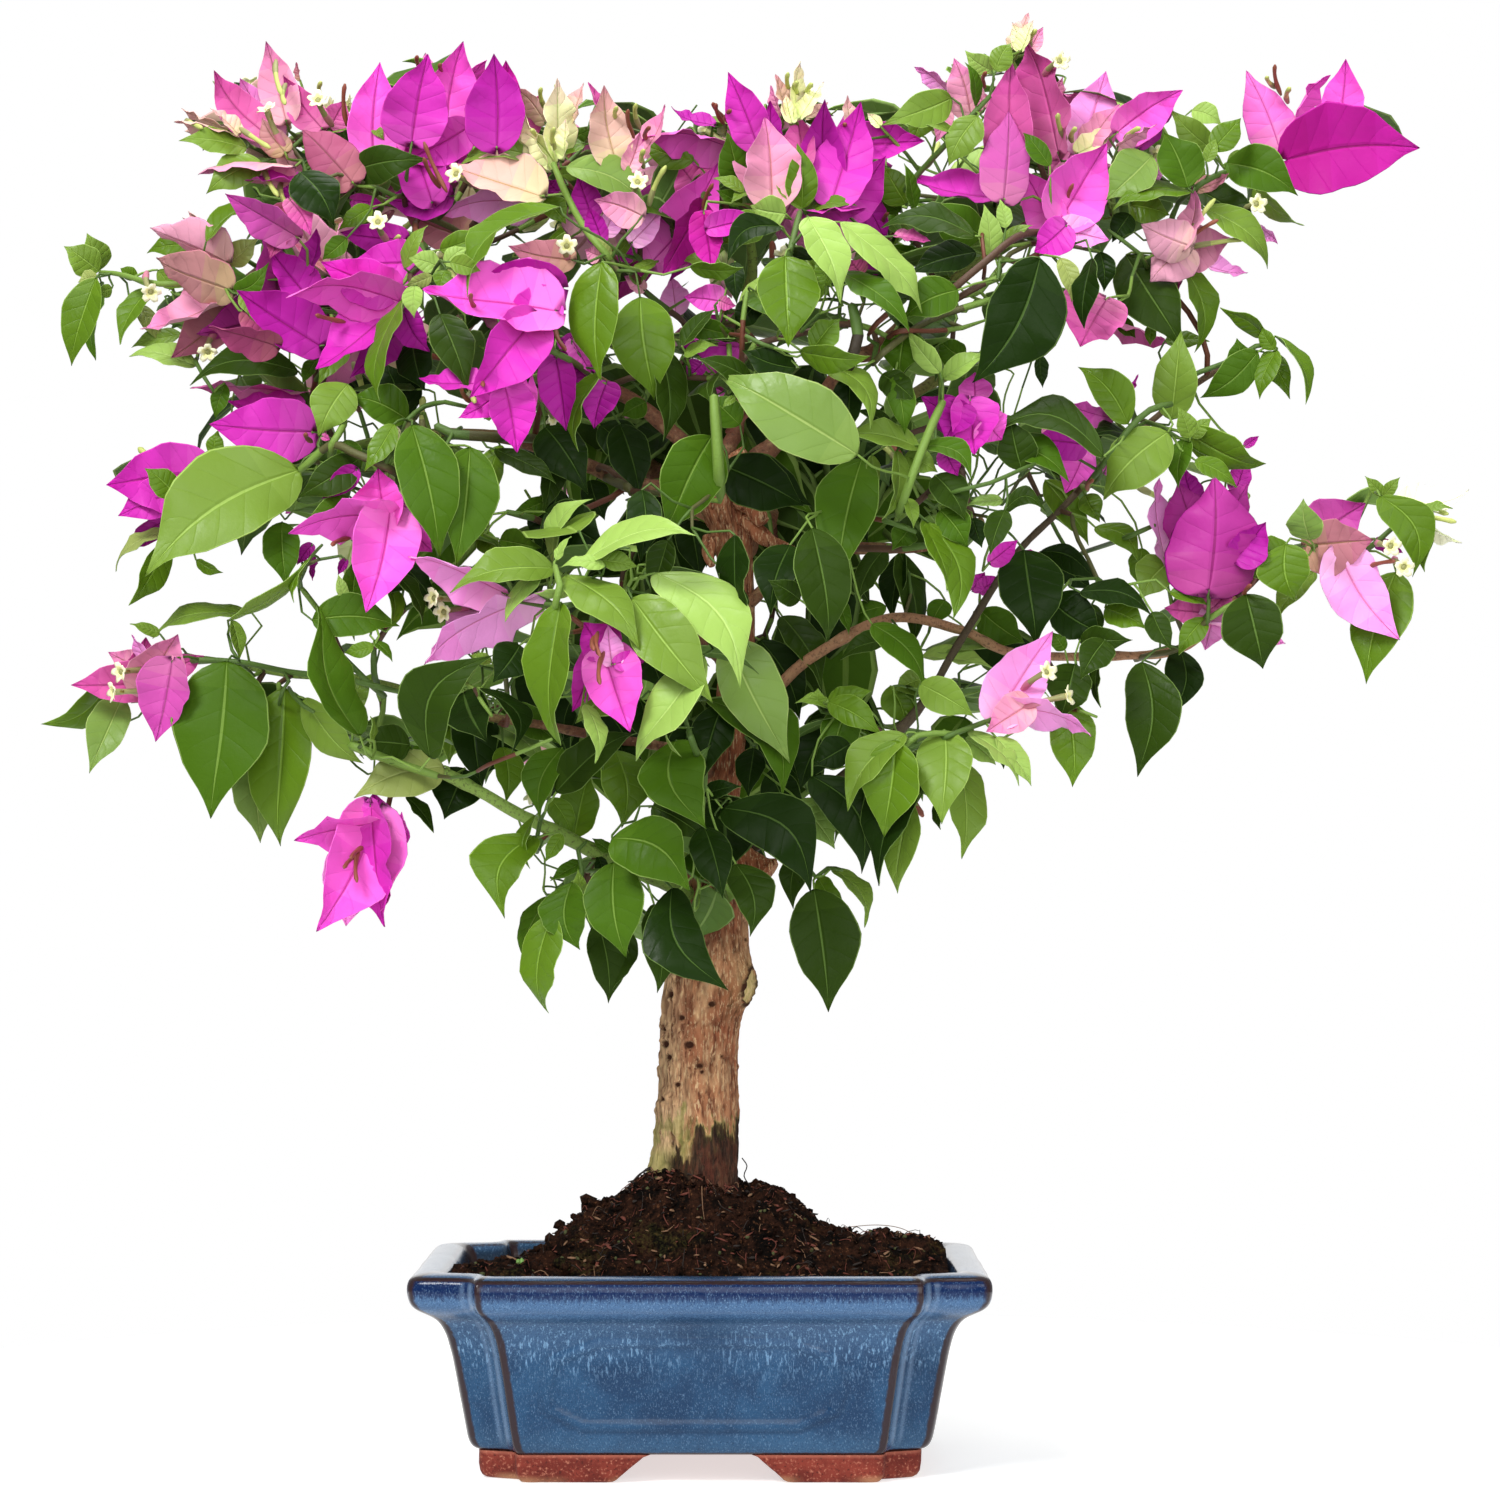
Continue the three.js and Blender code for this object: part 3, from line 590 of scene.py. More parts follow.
# ---------------------------------------------------------------- feet
def foot(name, sx, sy):
    bag = Bag()
    lv = [(0.0, 73.6, 49.6, 60.8, 31.0, 22.5), (0.25, 74.6, 50.6, 61.5, 29.8, 21.3), (1.0, 75.6, 51.6, 62.1, 28.6, 20.2), (2.4, 76.3, 52.3, 62.6, 27.2, 19.0),
          (5.0, 76.8, 52.9, 62.9, 24.2, 16.6), (7.6, 77.0, 53.2, 63.0, 21.2, 14.2), (9.0, 77.0, 53.2, 63.0, 19.4, 12.6), (9.9, 77.0, 53.2, 63.0, 17.2, 10.6)]
    rows = []
    for z, hx, hy, a, x0, y0 in lv:
        n, t = NOTCH - 1, 15 if z > 0.2 else 14
        ctrl = np.array([[x0, -hy + t], [x0, -hy], [a, -hy], [a + 1.2, -hy + 0.45 * n], [hx - 5, -hy + 0.66 * n], [hx - 1, -hy + 0.8 * n], [hx, -hy + n], [hx, -y0], [hx - t, -y0], [hx - t, -hy + t]])
        dense = []
        for i in range(len(ctrl)):
            p, q = ctrl[i], ctrl[(i + 1) % len(ctrl)]
            k = max(1, int(np.linalg.norm(q - p) / 2.2))
            d = np.linalg.norm(q - p)
            e = min(0.8, 0.3 * d) / d
            ts = np.concatenate([[e], np.linspace(e, 1 - e, k + 1)[1:-1] if k > 1 else [], [1 - e]])
            dense += [p + (q - p) * s for s in ts]
        rows.append(np.column_stack([np.array(dense)[:34 * 99], np.full(len(dense), z)]))
    m = min(len(r) for r in rows)
    if any(len(r) != m for r in rows):  # same number of points at each level
        out = []
        for r in rows:
            c = np.vstack([r, r[:1]])
            s = np.concatenate([[0], np.cumsum(np.linalg.norm(np.diff(c, axis=0), axis=1))])
            u = np.linspace(0, s[-1], 121)[:-1]
            out.append(np.stack([np.interp(u, s, c[:, j]) for j in range(3)], 1))
        rows = out
        m = 120
    v = np.array(rows)
    v[..., :2] += (fbm(v * 0.11, 3, 3 + sx + 2 * sy)[..., None] * 0.9) * unit(v[..., :2] - [55, -38])
    v *= [sx, sy, 1]
    q = grid_quads(len(v), m, wrap=True)
    c0 = np.array([66 * sx, -42.5 * sy, 0.0])
    if sx * sy < 0:
        q = q[:, ::-1]
    bag.add(v.reshape(-1, 3), q, 0)
    for k, flip in ((0, True), (len(v) - 1, False)):
        # the L is cut into strips so that the cap stays flat and inside its outline
        from mathutils.geometry import tessellate_polygon
        from mathutils import Vector
        tris = np.array(tessellate_polygon([[Vector((*p[:2], 0)) for p in v[k]]]))
        a, b_, c_ = v[k][tris[:, 0]], v[k][tris[:, 1]], v[k][tris[:, 2]]
        up = np.cross(b_ - a, c_ - a)[:, 2] > 0
        want = not flip
        tris[up != want] = tris[up != want][:, ::-1]
        bag.add(v[k], None, 0, tris, 0)
    ob = bag.build("clay_" + name, [CLAY])
    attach(ob, "root")
    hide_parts(name)


for name, sx, sy in (("foot_front_right", 1, 1), ("foot_front_left", -1, 1), ("foot_back_right", 1, -1), ("foot_back_left", -1, -1)):
    foot(name, sx, sy)


# ---------------------------------------------------------------- soil
SOIL_EDGE = 68.0
# the mound's outline against the light, as seen from the front
CREST = [(425, 1262), (520, 1256), (546, 1240), (556, 1225), (572, 1215), (590, 1204), (616, 1200), (634, 1185), (652, 1170), (700, 1164), (742, 1184), (774, 1194), (790, 1204), (804, 1216), (816, 1227), (843, 1231), (872, 1234), (926, 1244), (953, 1248), (975, 1254)]
CREST_AT = np.array([pt(px, py, 0) for px, py in CREST])


def ground(x, y):
    x, y = np.asarray(x, float), np.asarray(y, float)
    top = np.mean([np.interp(x + o, CREST_AT[:, 0], CREST_AT[:, 2]) for o in (-2.4, -0.8, 0.8, 2.4)], axis=0)
    r = np.abs(y + 2) / 50.0
    fall = 1 - smooth(0.12, 1.0, r)
    base = SOIL_EDGE + (top - SOIL_EDGE) * np.where(top > SOIL_EDGE + 8, fall, 0.35 + 0.65 * fall)
    p = np.stack([x, y, 0 * x], -1)
    away = smooth(9, 20, np.hypot(x + 1.4, y))
    lumps = fbm(p / 13.0, 3, 21) * 4.6 * away + fbm(p / 4.6, 3, 22) * 2.6 * away
    edge = smooth(0.0, 8.0, 88 - np.abs(x)) * smooth(0.0, 8.0, 62 - np.abs(y))
    front_left = smooth(-40, -70, x) * smooth(-10, -40, y) * 3.5
    back_left = smooth(-30, -50, x) * smooth(-25, 10, y) * 5.0
    return base + lumps * (0.35 + 0.65 * edge) * (1 - 0.7 * smooth(-30, -50, x) * smooth(-25, 10, y)) + front_left - back_left


soil = Bag()
ring_in = outline(86.4, 60.6, 71.6)
fr = np.concatenate([np.linspace(1.0, 0.2, 64), [0.14, 0.08]])
sv = []
for f in fr:
    xy = ring_in * f + np.array([-1.4, 0]) * (1 - f)
    z = ground(xy[:, 0], xy[:, 1])
    clod = np.abs(vnoise(np.column_stack([xy / 2.6, 0 * z]), 31)) + 0.6 * np.abs(vnoise(np.column_stack([xy / 1.1, 0 * z]), 32))
    sv.append(np.column_stack([xy, z + (0.6 - clod) * 2.6 * min(1.0, 4 * (1.02 - f) + 0.2)]))
low = [np.column_stack([ring_in * 0.985, np.full(len(ring_in), 62.0)]), np.column_stack([ring_in * 0.9, np.full(len(ring_in), 34.0)])]
sv = np.array(low[::-1] + sv)
mid = len(sv) * len(ring_in)
nr = len(ring_in)
capt = np.stack([mid - nr + np.arange(nr), mid - nr + (np.arange(nr) + 1) % nr, np.full(nr, mid)], -1)
capb = np.stack([(np.arange(nr) + 1) % nr, np.arange(nr), np.full(nr, mid + 1)], -1)
soil.add(np.vstack([sv.reshape(-1, 3), [[-1.4, 0, 97]], [[0, 0, 34]]]), grid_quads(len(sv), nr, wrap=True), 0, np.vstack([capt, capb]), 0)

ICO = None


def crumb(bag, at, size, mat, r, long_=(1, 1, 1)):
    t = (1 + 5**0.5) / 2
    p = unit(np.array([[-1, t, 0], [1, t, 0], [-1, -t, 0], [1, -t, 0], [0, -1, t], [0, 1, t], [0, -1, -t], [0, 1, -t], [t, 0, -1], [t, 0, 1], [-t, 0, -1], [-t, 0, 1]]))
    f = np.array([[0, 11, 5], [0, 5, 1], [0, 1, 7], [0, 7, 10], [0, 10, 11], [1, 5, 9], [5, 11, 4], [11, 10, 2], [10, 7, 6], [7, 1, 8], [3, 9, 4], [3, 4, 2], [3, 2, 6], [3, 6, 8], [3, 8, 9], [4, 9, 5], [2, 4, 11], [6, 2, 10], [8, 6, 7], [9, 8, 1]])
    s = size * (0.7 + 0.6 * r.random(3)) * np.array(long_)
    v = p * s * (0.75 + 0.5 * r.random((12, 1)))
    if long_ != (1, 1, 1):
        a, e = r.uniform(0, 2 * np.pi), r.uniform(-0.5, 0.6)
        ca, sa, ce, se = math.cos(a), math.sin(a), math.cos(e), math.sin(e)
        v = v @ np.array([[ca * ce, sa * ce, se], [-sa, ca, 0], [-ca * se, -sa * se, ce]])
    bag.add(v + at, None, 0, f, mat)


r = np.random.default_rng(SEED + 3)
for _ in range(2100):
    x, y = r.uniform(-85, 85), r.uniform(-59, 59)
    if r.random() < 0.45:
        x, y = r.normal(-4, 32), r.normal(0, 24)
    if abs(x) > 84 or abs(y) > 58 or (abs(x) > 69 and abs(y) > 47):
        continue
    s = 0.35 + 1.5 * r.random() ** 3
    crumb(soil, np.array([x, y, float(ground(np.array(x), np.array(y))) + 0.2 * s]), s, 0, r)
fibre_from = soil.triangles()
for k in range(1250):
    x, y = (r.uniform(-82, 82), r.uniform(-57, 40)) if k % 2 else (r.normal(-4, 34), r.normal(-8, 24))
    if abs(x) > 83 or abs(y) > 57 or (abs(x) > 68 and abs(y) > 46):
        continue
    z = float(ground(np.array(x), np.array(y)))
    crumb(soil, np.array([x, y, z + 0.5]), r.uniform(0.3, 1.0), int(r.choice([0, 1, 2, 3], p=[0.42, 0.13, 0.27, 0.18])), r, (2.6, 0.9, 0.5))
for px, py, size in ((586, 1200, 2.6), (592, 1201, 2.2), (604, 1202, 1.8), (586, 1207, 2.4), (549, 1238, 2.4), (560, 1224, 2.2), (573, 1216, 1.6), (774, 1196, 1.8), (747, 1187, 1.6), (790, 1206, 1.6), (630, 1190, 1.6), (812, 1226, 1.8), (560, 1262, 2.2), (535, 1266, 2.0)):
    crumb(soil, pt(px, py, 0 if py < 1250 else -45) - [0, 0, 0.1 * size], size, 0, r)
    crumb(soil, pt(px + 6, py + 3, -3 if py < 1250 else -47) - [0, 0, 0.1 * size], size * 0.8, 0, r)
for k in range(760):
    x, y = (r.uniform(-84, 84), r.uniform(-58, 58)) if k % 2 else (r.normal(-4, 34), r.normal(0, 26))
    if abs(x) > 83 or abs(y) > 57 or (abs(x) > 68 and abs(y) > 46):
        continue
    L = r.uniform(2, 7) if r.random() < 0.93 else r.uniform(7, 14)
    a = r.uniform(0, 2 * np.pi)
    turn = r.normal(0, 1.1)
    lift = abs(r.normal(0, 0.5)) + 0.05 + (1.6 * r.random() if r.random() < 0.18 else 0)
    pts = []
    px, py = x, y
    for j in range(6):
        t = j / 5
        g = float(ground(np.array(px), np.array(py)))
        pts.append([px, py, g + 0.25 + lift * math.sin(math.pi * t) + (lift * t if lift > 1.2 else 0)])
        a += turn / 5
        px += math.cos(a) * L / 5
        py += math.sin(a) * L / 5
        if abs(px) > 85 or abs(py) > 59:
            break
    if len(pts) > 3:
        tube(soil, np.array(pts), np.linspace(1, 0.5, len(pts)) * r.uniform(0.10, 0.26), int(r.choice([1, 2, 3], p=[0.20, 0.42, 0.38])), sides=4)
# a few scraps of green, and the tuft at the right
for _ in range(70):
    x, y = r.uniform(-80, 80), r.uniform(-57, -10)
    g = float(ground(np.array(x), np.array(y)))
    crumb(soil, np.array([x, y, g + 0.4]), r.uniform(0.4, 1.0), 4, r)
for x, y in ((70, -55), (-30, -56), (74, -52), (-62, -40)):
    g = float(ground(np.array(float(x)), np.array(float(y))))
    for k in range(4):
        a = r.uniform(0, 6.28)
        crumb(soil, np.array([x + 1.3 * math.cos(a), y + 1.3 * math.sin(a), g + 0.9]), r.uniform(0.9, 1.6), 5, r)
# loose roots at the trunk's foot and a long hair over the right side
for path_, w_, m_ in (([(652, 1168), (640, 1174), (630, 1185), (622, 1193), (614, 1201)], 0.34, 3), ([(650, 1172), (636, 1180), (628, 1190), (617, 1196)], 0.26, 2), ([(655, 1166), (646, 1169), (636, 1179), (628, 1182)], 0.22, 3),
                      ([(826, 1229), (848, 1227), (878, 1225), (903, 1229), (925, 1242)], 0.13, 1), ([(742, 1158), (747, 1166), (744, 1176), (750, 1186)], 0.22, 3)):
    tube(soil, catmull(np.array([pt(a_, b_, -4) for a_, b_ in path_]), 1.2), w_, m_, sides=5)
tuft = pt(888, 1237, 4)
for _ in range(60):
    a, e = r.uniform(0, 2 * np.pi), r.uniform(0.2, 1.3)
    L = r.uniform(2, 5.5)
    d = np.array([math.cos(a) * math.cos(e), math.sin(a) * math.cos(e), math.sin(e)])
    base = np.array([tuft[0] + r.normal(0, 2.6), 4 + r.normal(0, 2.5), float(ground(np.array(tuft[0]), np.array(4.0))) - 0.5])
    side = unit(np.cross(d, [0, 0, 1.0])) * r.normal(0, 1.2)
    tube(soil, np.array([base, base + d * L * 0.35 + side * 0.3, base + d * L * 0.7 + side, base + d * L + side * 1.6 - [0, 0, 0.6]]), [0.3, 0.25, 0.2, 0.1], int(r.choice([1, 3])), sides=4)


def soil_material():
    m, nt, b = new_mat("peat")
    tc = nt.nodes.new("ShaderNodeTexCoord")
    pos = tc.outputs["Object"]
    a = noise_tex(nt, pos, 130, 5, 0.65)
    g = noise_tex(nt, pos, 750, 4, 0.7)
    base = mix(nt, remap(nt, a, 0.38, 0.62), srgb(8, 5, 4), srgb(46, 26, 17))
    base = mix(nt, math_node(nt, "MULTIPLY", remap(nt, g, 0.57, 0.70), 0.8), base, srgb(104, 68, 44))
    base = mix(nt, math_node(nt, "MULTIPLY", remap(nt, g, 0.47, 0.38), 0.75), base, srgb(5, 3, 2))
    moss = math_node(nt, "MULTIPLY", remap(nt, noise_tex(nt, pos, 45, 3, 0.5), 0.56, 0.66), remap(nt, g, 0.44, 0.58))
    base = mix(nt, math_node(nt, "MULTIPLY", moss, 0.6), base, srgb(52, 50, 22))
    nt.links.new(base, b.inputs["Base Color"])
    b.inputs["Roughness"].default_value = 0.95
    b.inputs["Specular IOR Level"].default_value = 0.08
    nt.links.new(bump_node(nt, math_node(nt, "ADD", g, a), 0.9, 0.0012), b.inputs["Normal"])
    return m


def plain(name, colour, rough=0.8, bump=0.0, scale=600):
    m, nt, b = new_mat(name)
    b.inputs["Base Color"].default_value = colour
    b.inputs["Roughness"].default_value = rough
    if bump:
        tc = nt.nodes.new("ShaderNodeTexCoord")
        nt.links.new(bump_node(nt, noise_tex(nt, tc.outputs["Object"], scale, 3, 0.6), bump, 0.0005), b.inputs["Normal"])
    return m


soil_ob = soil.build("soil_mound", [soil_material(), plain("fibre_tan", srgb(124, 92, 66)), plain("fibre_rust", srgb(96, 44, 30)), plain("fibre_dark", srgb(30, 20, 14)), plain("moss", srgb(62, 66, 28)), plain("seedling", srgb(104, 146, 66), 0.5)])
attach(soil_ob, "root")
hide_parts("soil")


# ---------------------------------------------------------------- trunk
TRUNK = [(92, -2.2, 17.4), (97.95, -2.0, 16.6), (106.9, -1.4, 15.7), (117.6, -1.1, 15.1), (142.7, -1.1, 14), (164.2, 0, 14.3), (182.1, 2.5, 14), (200, 4.3, 12.2), (217.9, 5.7, 9.7),
         (235.8, 6.5, 7), (253.7, 9.7, 6.4), (271.6, 11.1, 6.1), (293.1, 12.9, 6.1), (314.6, 12.5, 6.2), (332.5, 10, 7.4), (345, 6.5, 9), (354, 5, 7), (361, 4.7, 3.6)]
T = np.array(TRUNK, float)
tz = np.concatenate([np.linspace(92, 236, 250)[:-1], np.linspace(236, 361, 120)])
tc_line = catmull(np.stack([T[:, 1], T[:, 0], T[:, 2]], 1), 1.0)
tx = np.interp(tz, tc_line[:, 1], tc_line[:, 0])
tr = np.interp(tz, tc_line[:, 1], tc_line[:, 2])
SIDES = 128
th = 2 * np.pi * np.arange(SIDES) / SIDES
Z, TH = np.meshgrid(tz, th, indexing="ij")
R0 = tr[:, None] * np.ones(SIDES)
flare = 1 - smooth(100, 128, Z)
R = R0 * (1 + 0.10 * flare * np.cos(3 * TH + 0.2 + np.pi) + 0.05 * flare * np.cos(5 * TH + 2.0))
R *= 1 + 0.035 * fbm(np.stack([np.cos(TH) * 0.8, np.sin(TH) * 0.8, Z * 0.028], -1), 2, 41)
# woody head where the upper limbs leave, lumpy and cut back
head = smooth(322, 336, Z) * (1 - smooth(352, 361, Z))
R *= 1 + head * (0.30 * fbm(np.stack([np.cos(TH) * 1.6, np.sin(TH) * 1.6, Z * 0.10], -1), 3, 43) + 0.10 * np.cos(2 * TH))
# interlaced upright grooves
twist = TH + 0.012 * (Z - 100) * 0.25
c, s_ = np.cos(twist) * 14, np.sin(twist) * 14
warp = 1.6 * fbm(np.stack([c * 0.09, s_ * 0.09, Z * 0.05], -1), 2, 44)
g1 = 1 - np.abs(vnoise(np.stack([c * 0.30 + warp, s_ * 0.30 + warp, Z * 0.040], -1), 45)) * 2.4
g2 = 1 - np.abs(vnoise(np.stack([c * 0.62 + 1.3 * warp, s_ * 0.62 - warp, Z * 0.080], -1), 46)) * 2.6
g3 = 1 - np.abs(vnoise(np.stack([c * 1.25 + warp, s_ * 1.25, Z * 0.17], -1), 47)) * 2.6
g1, g2, g3 = (np.clip(g, 0, 1) for g in (g1, g2, g3))
slim = np.clip(R0 / 14.0, 0.35, 1.15)
R -= slim * (0.55 * g1**3 + 0.50 * g2**3 + 0.34 * g3**2)
R += 0.10 * fbm(np.stack([c * 0.9, s_ * 0.9, Z * 0.9], -1), 2, 48)
burr = np.clip(vnoise(np.stack([c * 0.42, s_ * 0.42, Z * 0.40], -1), 49) - 0.18, 0, 1) * (0.3 + 0.7 * smooth(0.2, -0.6, np.cos(TH)))
R += 1.5 * slim * burr * smooth(108, 122, Z) * (1 - smooth(170, 190, Z))
# how deep the grooves are, also used as painted shade in the bark's colour
groove_and_shade = np.clip(0.5 * g1**3 + 0.75 * g2**3 + 0.55 * g3**2, 0, 1)
# the pits' depth, also painted as shade in the bark's colour
pit_and_shade = np.zeros_like(R)
# old bud scars and pits, by the frame's pixel, with their width
PITS = [(670, 995, 2.2), (681, 1018, 1.8), (712, 1004, 1.7), (689, 1045, 2.4), (665, 1045, 2.6), (677, 1085, 1.6), (753, 985, 1.4), (664, 1030, 1.5), (668, 1058, 1.8), (700, 1066, 1.8),
        (736, 1000, 1.3), (727, 1006, 1.0), (723, 1057, 1.2), (663, 1100, 1.8), (745, 940, 1.2), (716, 897, 1.6), (702, 1072, 1.3), (744, 1068, 1.1)]
tx_i = lambda z: np.interp(z, tz, tx)
tr_i = lambda z: np.interp(z, tz, tr)
P3 = np.stack([tx[:, None] + R * np.cos(TH), R * np.sin(TH), Z], -1)
for px, py, w in PITS:
    w = 0.62 * w
    q = pt(px, py, -14)
    a = tr_i(q[2])
    dx = np.clip((q[0] - tx_i(q[2])) / a, -0.97, 0.97)
    q = np.array([tx_i(q[2]) + a * dx, -a * math.sqrt(1 - dx * dx), q[2]])
    d = np.sqrt(((P3[..., 0] - q[0]) / (1.25 * w)) ** 2 + ((P3[..., 1] - q[1]) / (1.25 * w)) ** 2 + ((P3[..., 2] - q[2]) / (0.9 * w)) ** 2)
    pit_and_shade = np.maximum(pit_and_shade, np.exp(-(d**2) * 1.3))
    R += 0.45 * np.exp(-((d - 1.5) ** 2) * 3.0)
R -= 1.3 * pit_and_shade
# knot: a healed cut at the right
KZ, KA = float(pt(757, 987, -8)[2]), -0.40
du = (np.mod(TH - KA + np.pi, 2 * np.pi) - np.pi) * 15.0
dw = Z - KZ
bulge = np.exp(-((du / 8.5) ** 2) - (np.where(dw > 0, dw / 10.0, dw / 8.5)) ** 2)
ring_n = vnoise(np.stack([du * 0.30, dw * 0.26, 0 * du], -1), 52) * 0.30 + vnoise(np.stack([du * 0.9, dw * 0.8, 0 * du], -1), 53) * 0.20
oval = np.sqrt((du / 3.7) ** 2 + (dw / 6.2) ** 2) * (1 + 0.5 * ring_n)
knot_rim = np.exp(-(((oval - 1.06) / 0.20) ** 2))
knot_face = 1 - smooth(0.78, 0.98, oval)
R += 4.9 * bulge + knot_rim * (0.7 + 2.2 * np.clip(ring_n + 0.05, 0, 1)) - 0.9 * knot_face * (1 - 0.6 * np.exp(-(oval / 0.35) ** 2))
groove_and_shade = groove_and_shade * (1 - 0.9 * knot_face) * (1 - 0.5 * bulge)
pit_and_shade = np.maximum(pit_and_shade, 0.75 * knot_rim * (ring_n > -0.06))
pale_ = np.clip(knot_face + 0.25 * bulge * (oval > 1.2), 0, 1)
P3 = np.stack([tx[:, None] + R * np.cos(TH), R * np.sin(TH), Z], -1)
trunk = Bag()
zed = P3.reshape(-1, 3)
cap_lo, cap_hi = len(zed), len(zed) + 1
i = np.arange(SIDES)
j = (i + 1) % SIDES
top0 = len(zed) - SIDES
trunk.add(
    np.vstack([zed, [[tx[0], 0, tz[0]]], [[tx[-1], 0, tz[-1] + 1.2]]]), grid_quads(len(tz), SIDES, wrap=True), 0,
    np.vstack([np.stack([np.full(SIDES, cap_lo), j, i], -1), np.stack([np.full(SIDES, cap_hi), top0 + i, top0 + j], -1)]), 0,
    groove_and_shade=groove_and_shade.ravel(), pit_and_shade=pit_and_shade.ravel(), pale=pale_.ravel(),
)


# the cut stub low on the right
S0, S1 = np.array([9.0, -1.0, 219.0]), np.array([24.5, -5.0, 209.5])
line = np.array([S0, S0 * 0.62 + S1 * 0.38 + [0, 0, 0.7], S0 * 0.25 + S1 * 0.75 + [0, 0, 0.4], S1])
line = catmull(line, 0.8)
rad = np.interp(np.linspace(0, 1, len(line)), [0, 0.5, 0.82, 0.92, 1.0], [4.8, 3.5, 4.2, 4.9, 4.2])


def bark_bump(amount, freq, seed):
    def f(path, t, r):
        k = np.arange(len(path))[:, None] * np.ones(len(t))
        along = np.concatenate([[0], np.cumsum(np.linalg.norm(np.diff(path, axis=0), axis=1))])[:, None] * np.ones(len(t))
        p = np.stack([np.cos(t) * r * freq, np.sin(t) * r * freq, along * freq * 0.32], -1)
        ridge = 1 - np.clip(np.abs(vnoise(p, seed)) * 2.4, 0, 1)
        lumps = fbm(p * 0.5, 2, seed + 5)
        knots = np.maximum(0, vnoise(np.stack([0 * along, 0 * along + seed, along * 0.11], -1), seed + 9) - 0.35) * 0.45
        return r * (1 + amount * (lumps - 0.7 * ridge**2) + knots)

    return f


tube(trunk, line, rad, 0, sides=28, bump=bark_bump(0.13, 0.8, 61), tip=-0.25)
# cut ends and spurs on the head
for pts_, r0, r1 in (
    ([(712, 540, -6), (708, 553, -9), (712, 566, -11)], 3.6, 1.2), ([(738, 500, -5), (752, 508, -7), (763, 523, -9)], 3.4, 2.6), ([(742, 520, -4), (765, 538, -6), (792, 552, -8)], 3.0, 2.2),
    ([(705, 480, 0), (700, 462, -4), (690, 450, -6)], 4.4, 3.0), ([(725, 470, 0), (738, 458, -3), (746, 452, -4)], 3.6, 2.4),
):
    p = catmull(np.array([pt(*q) for q in pts_]), 0.9)
    tube(trunk, p, np.linspace(r0, r1, len(p)), 0, sides=18, bump=bark_bump(0.16, 0.9, int(pts_[0][0])), tip=0.1)


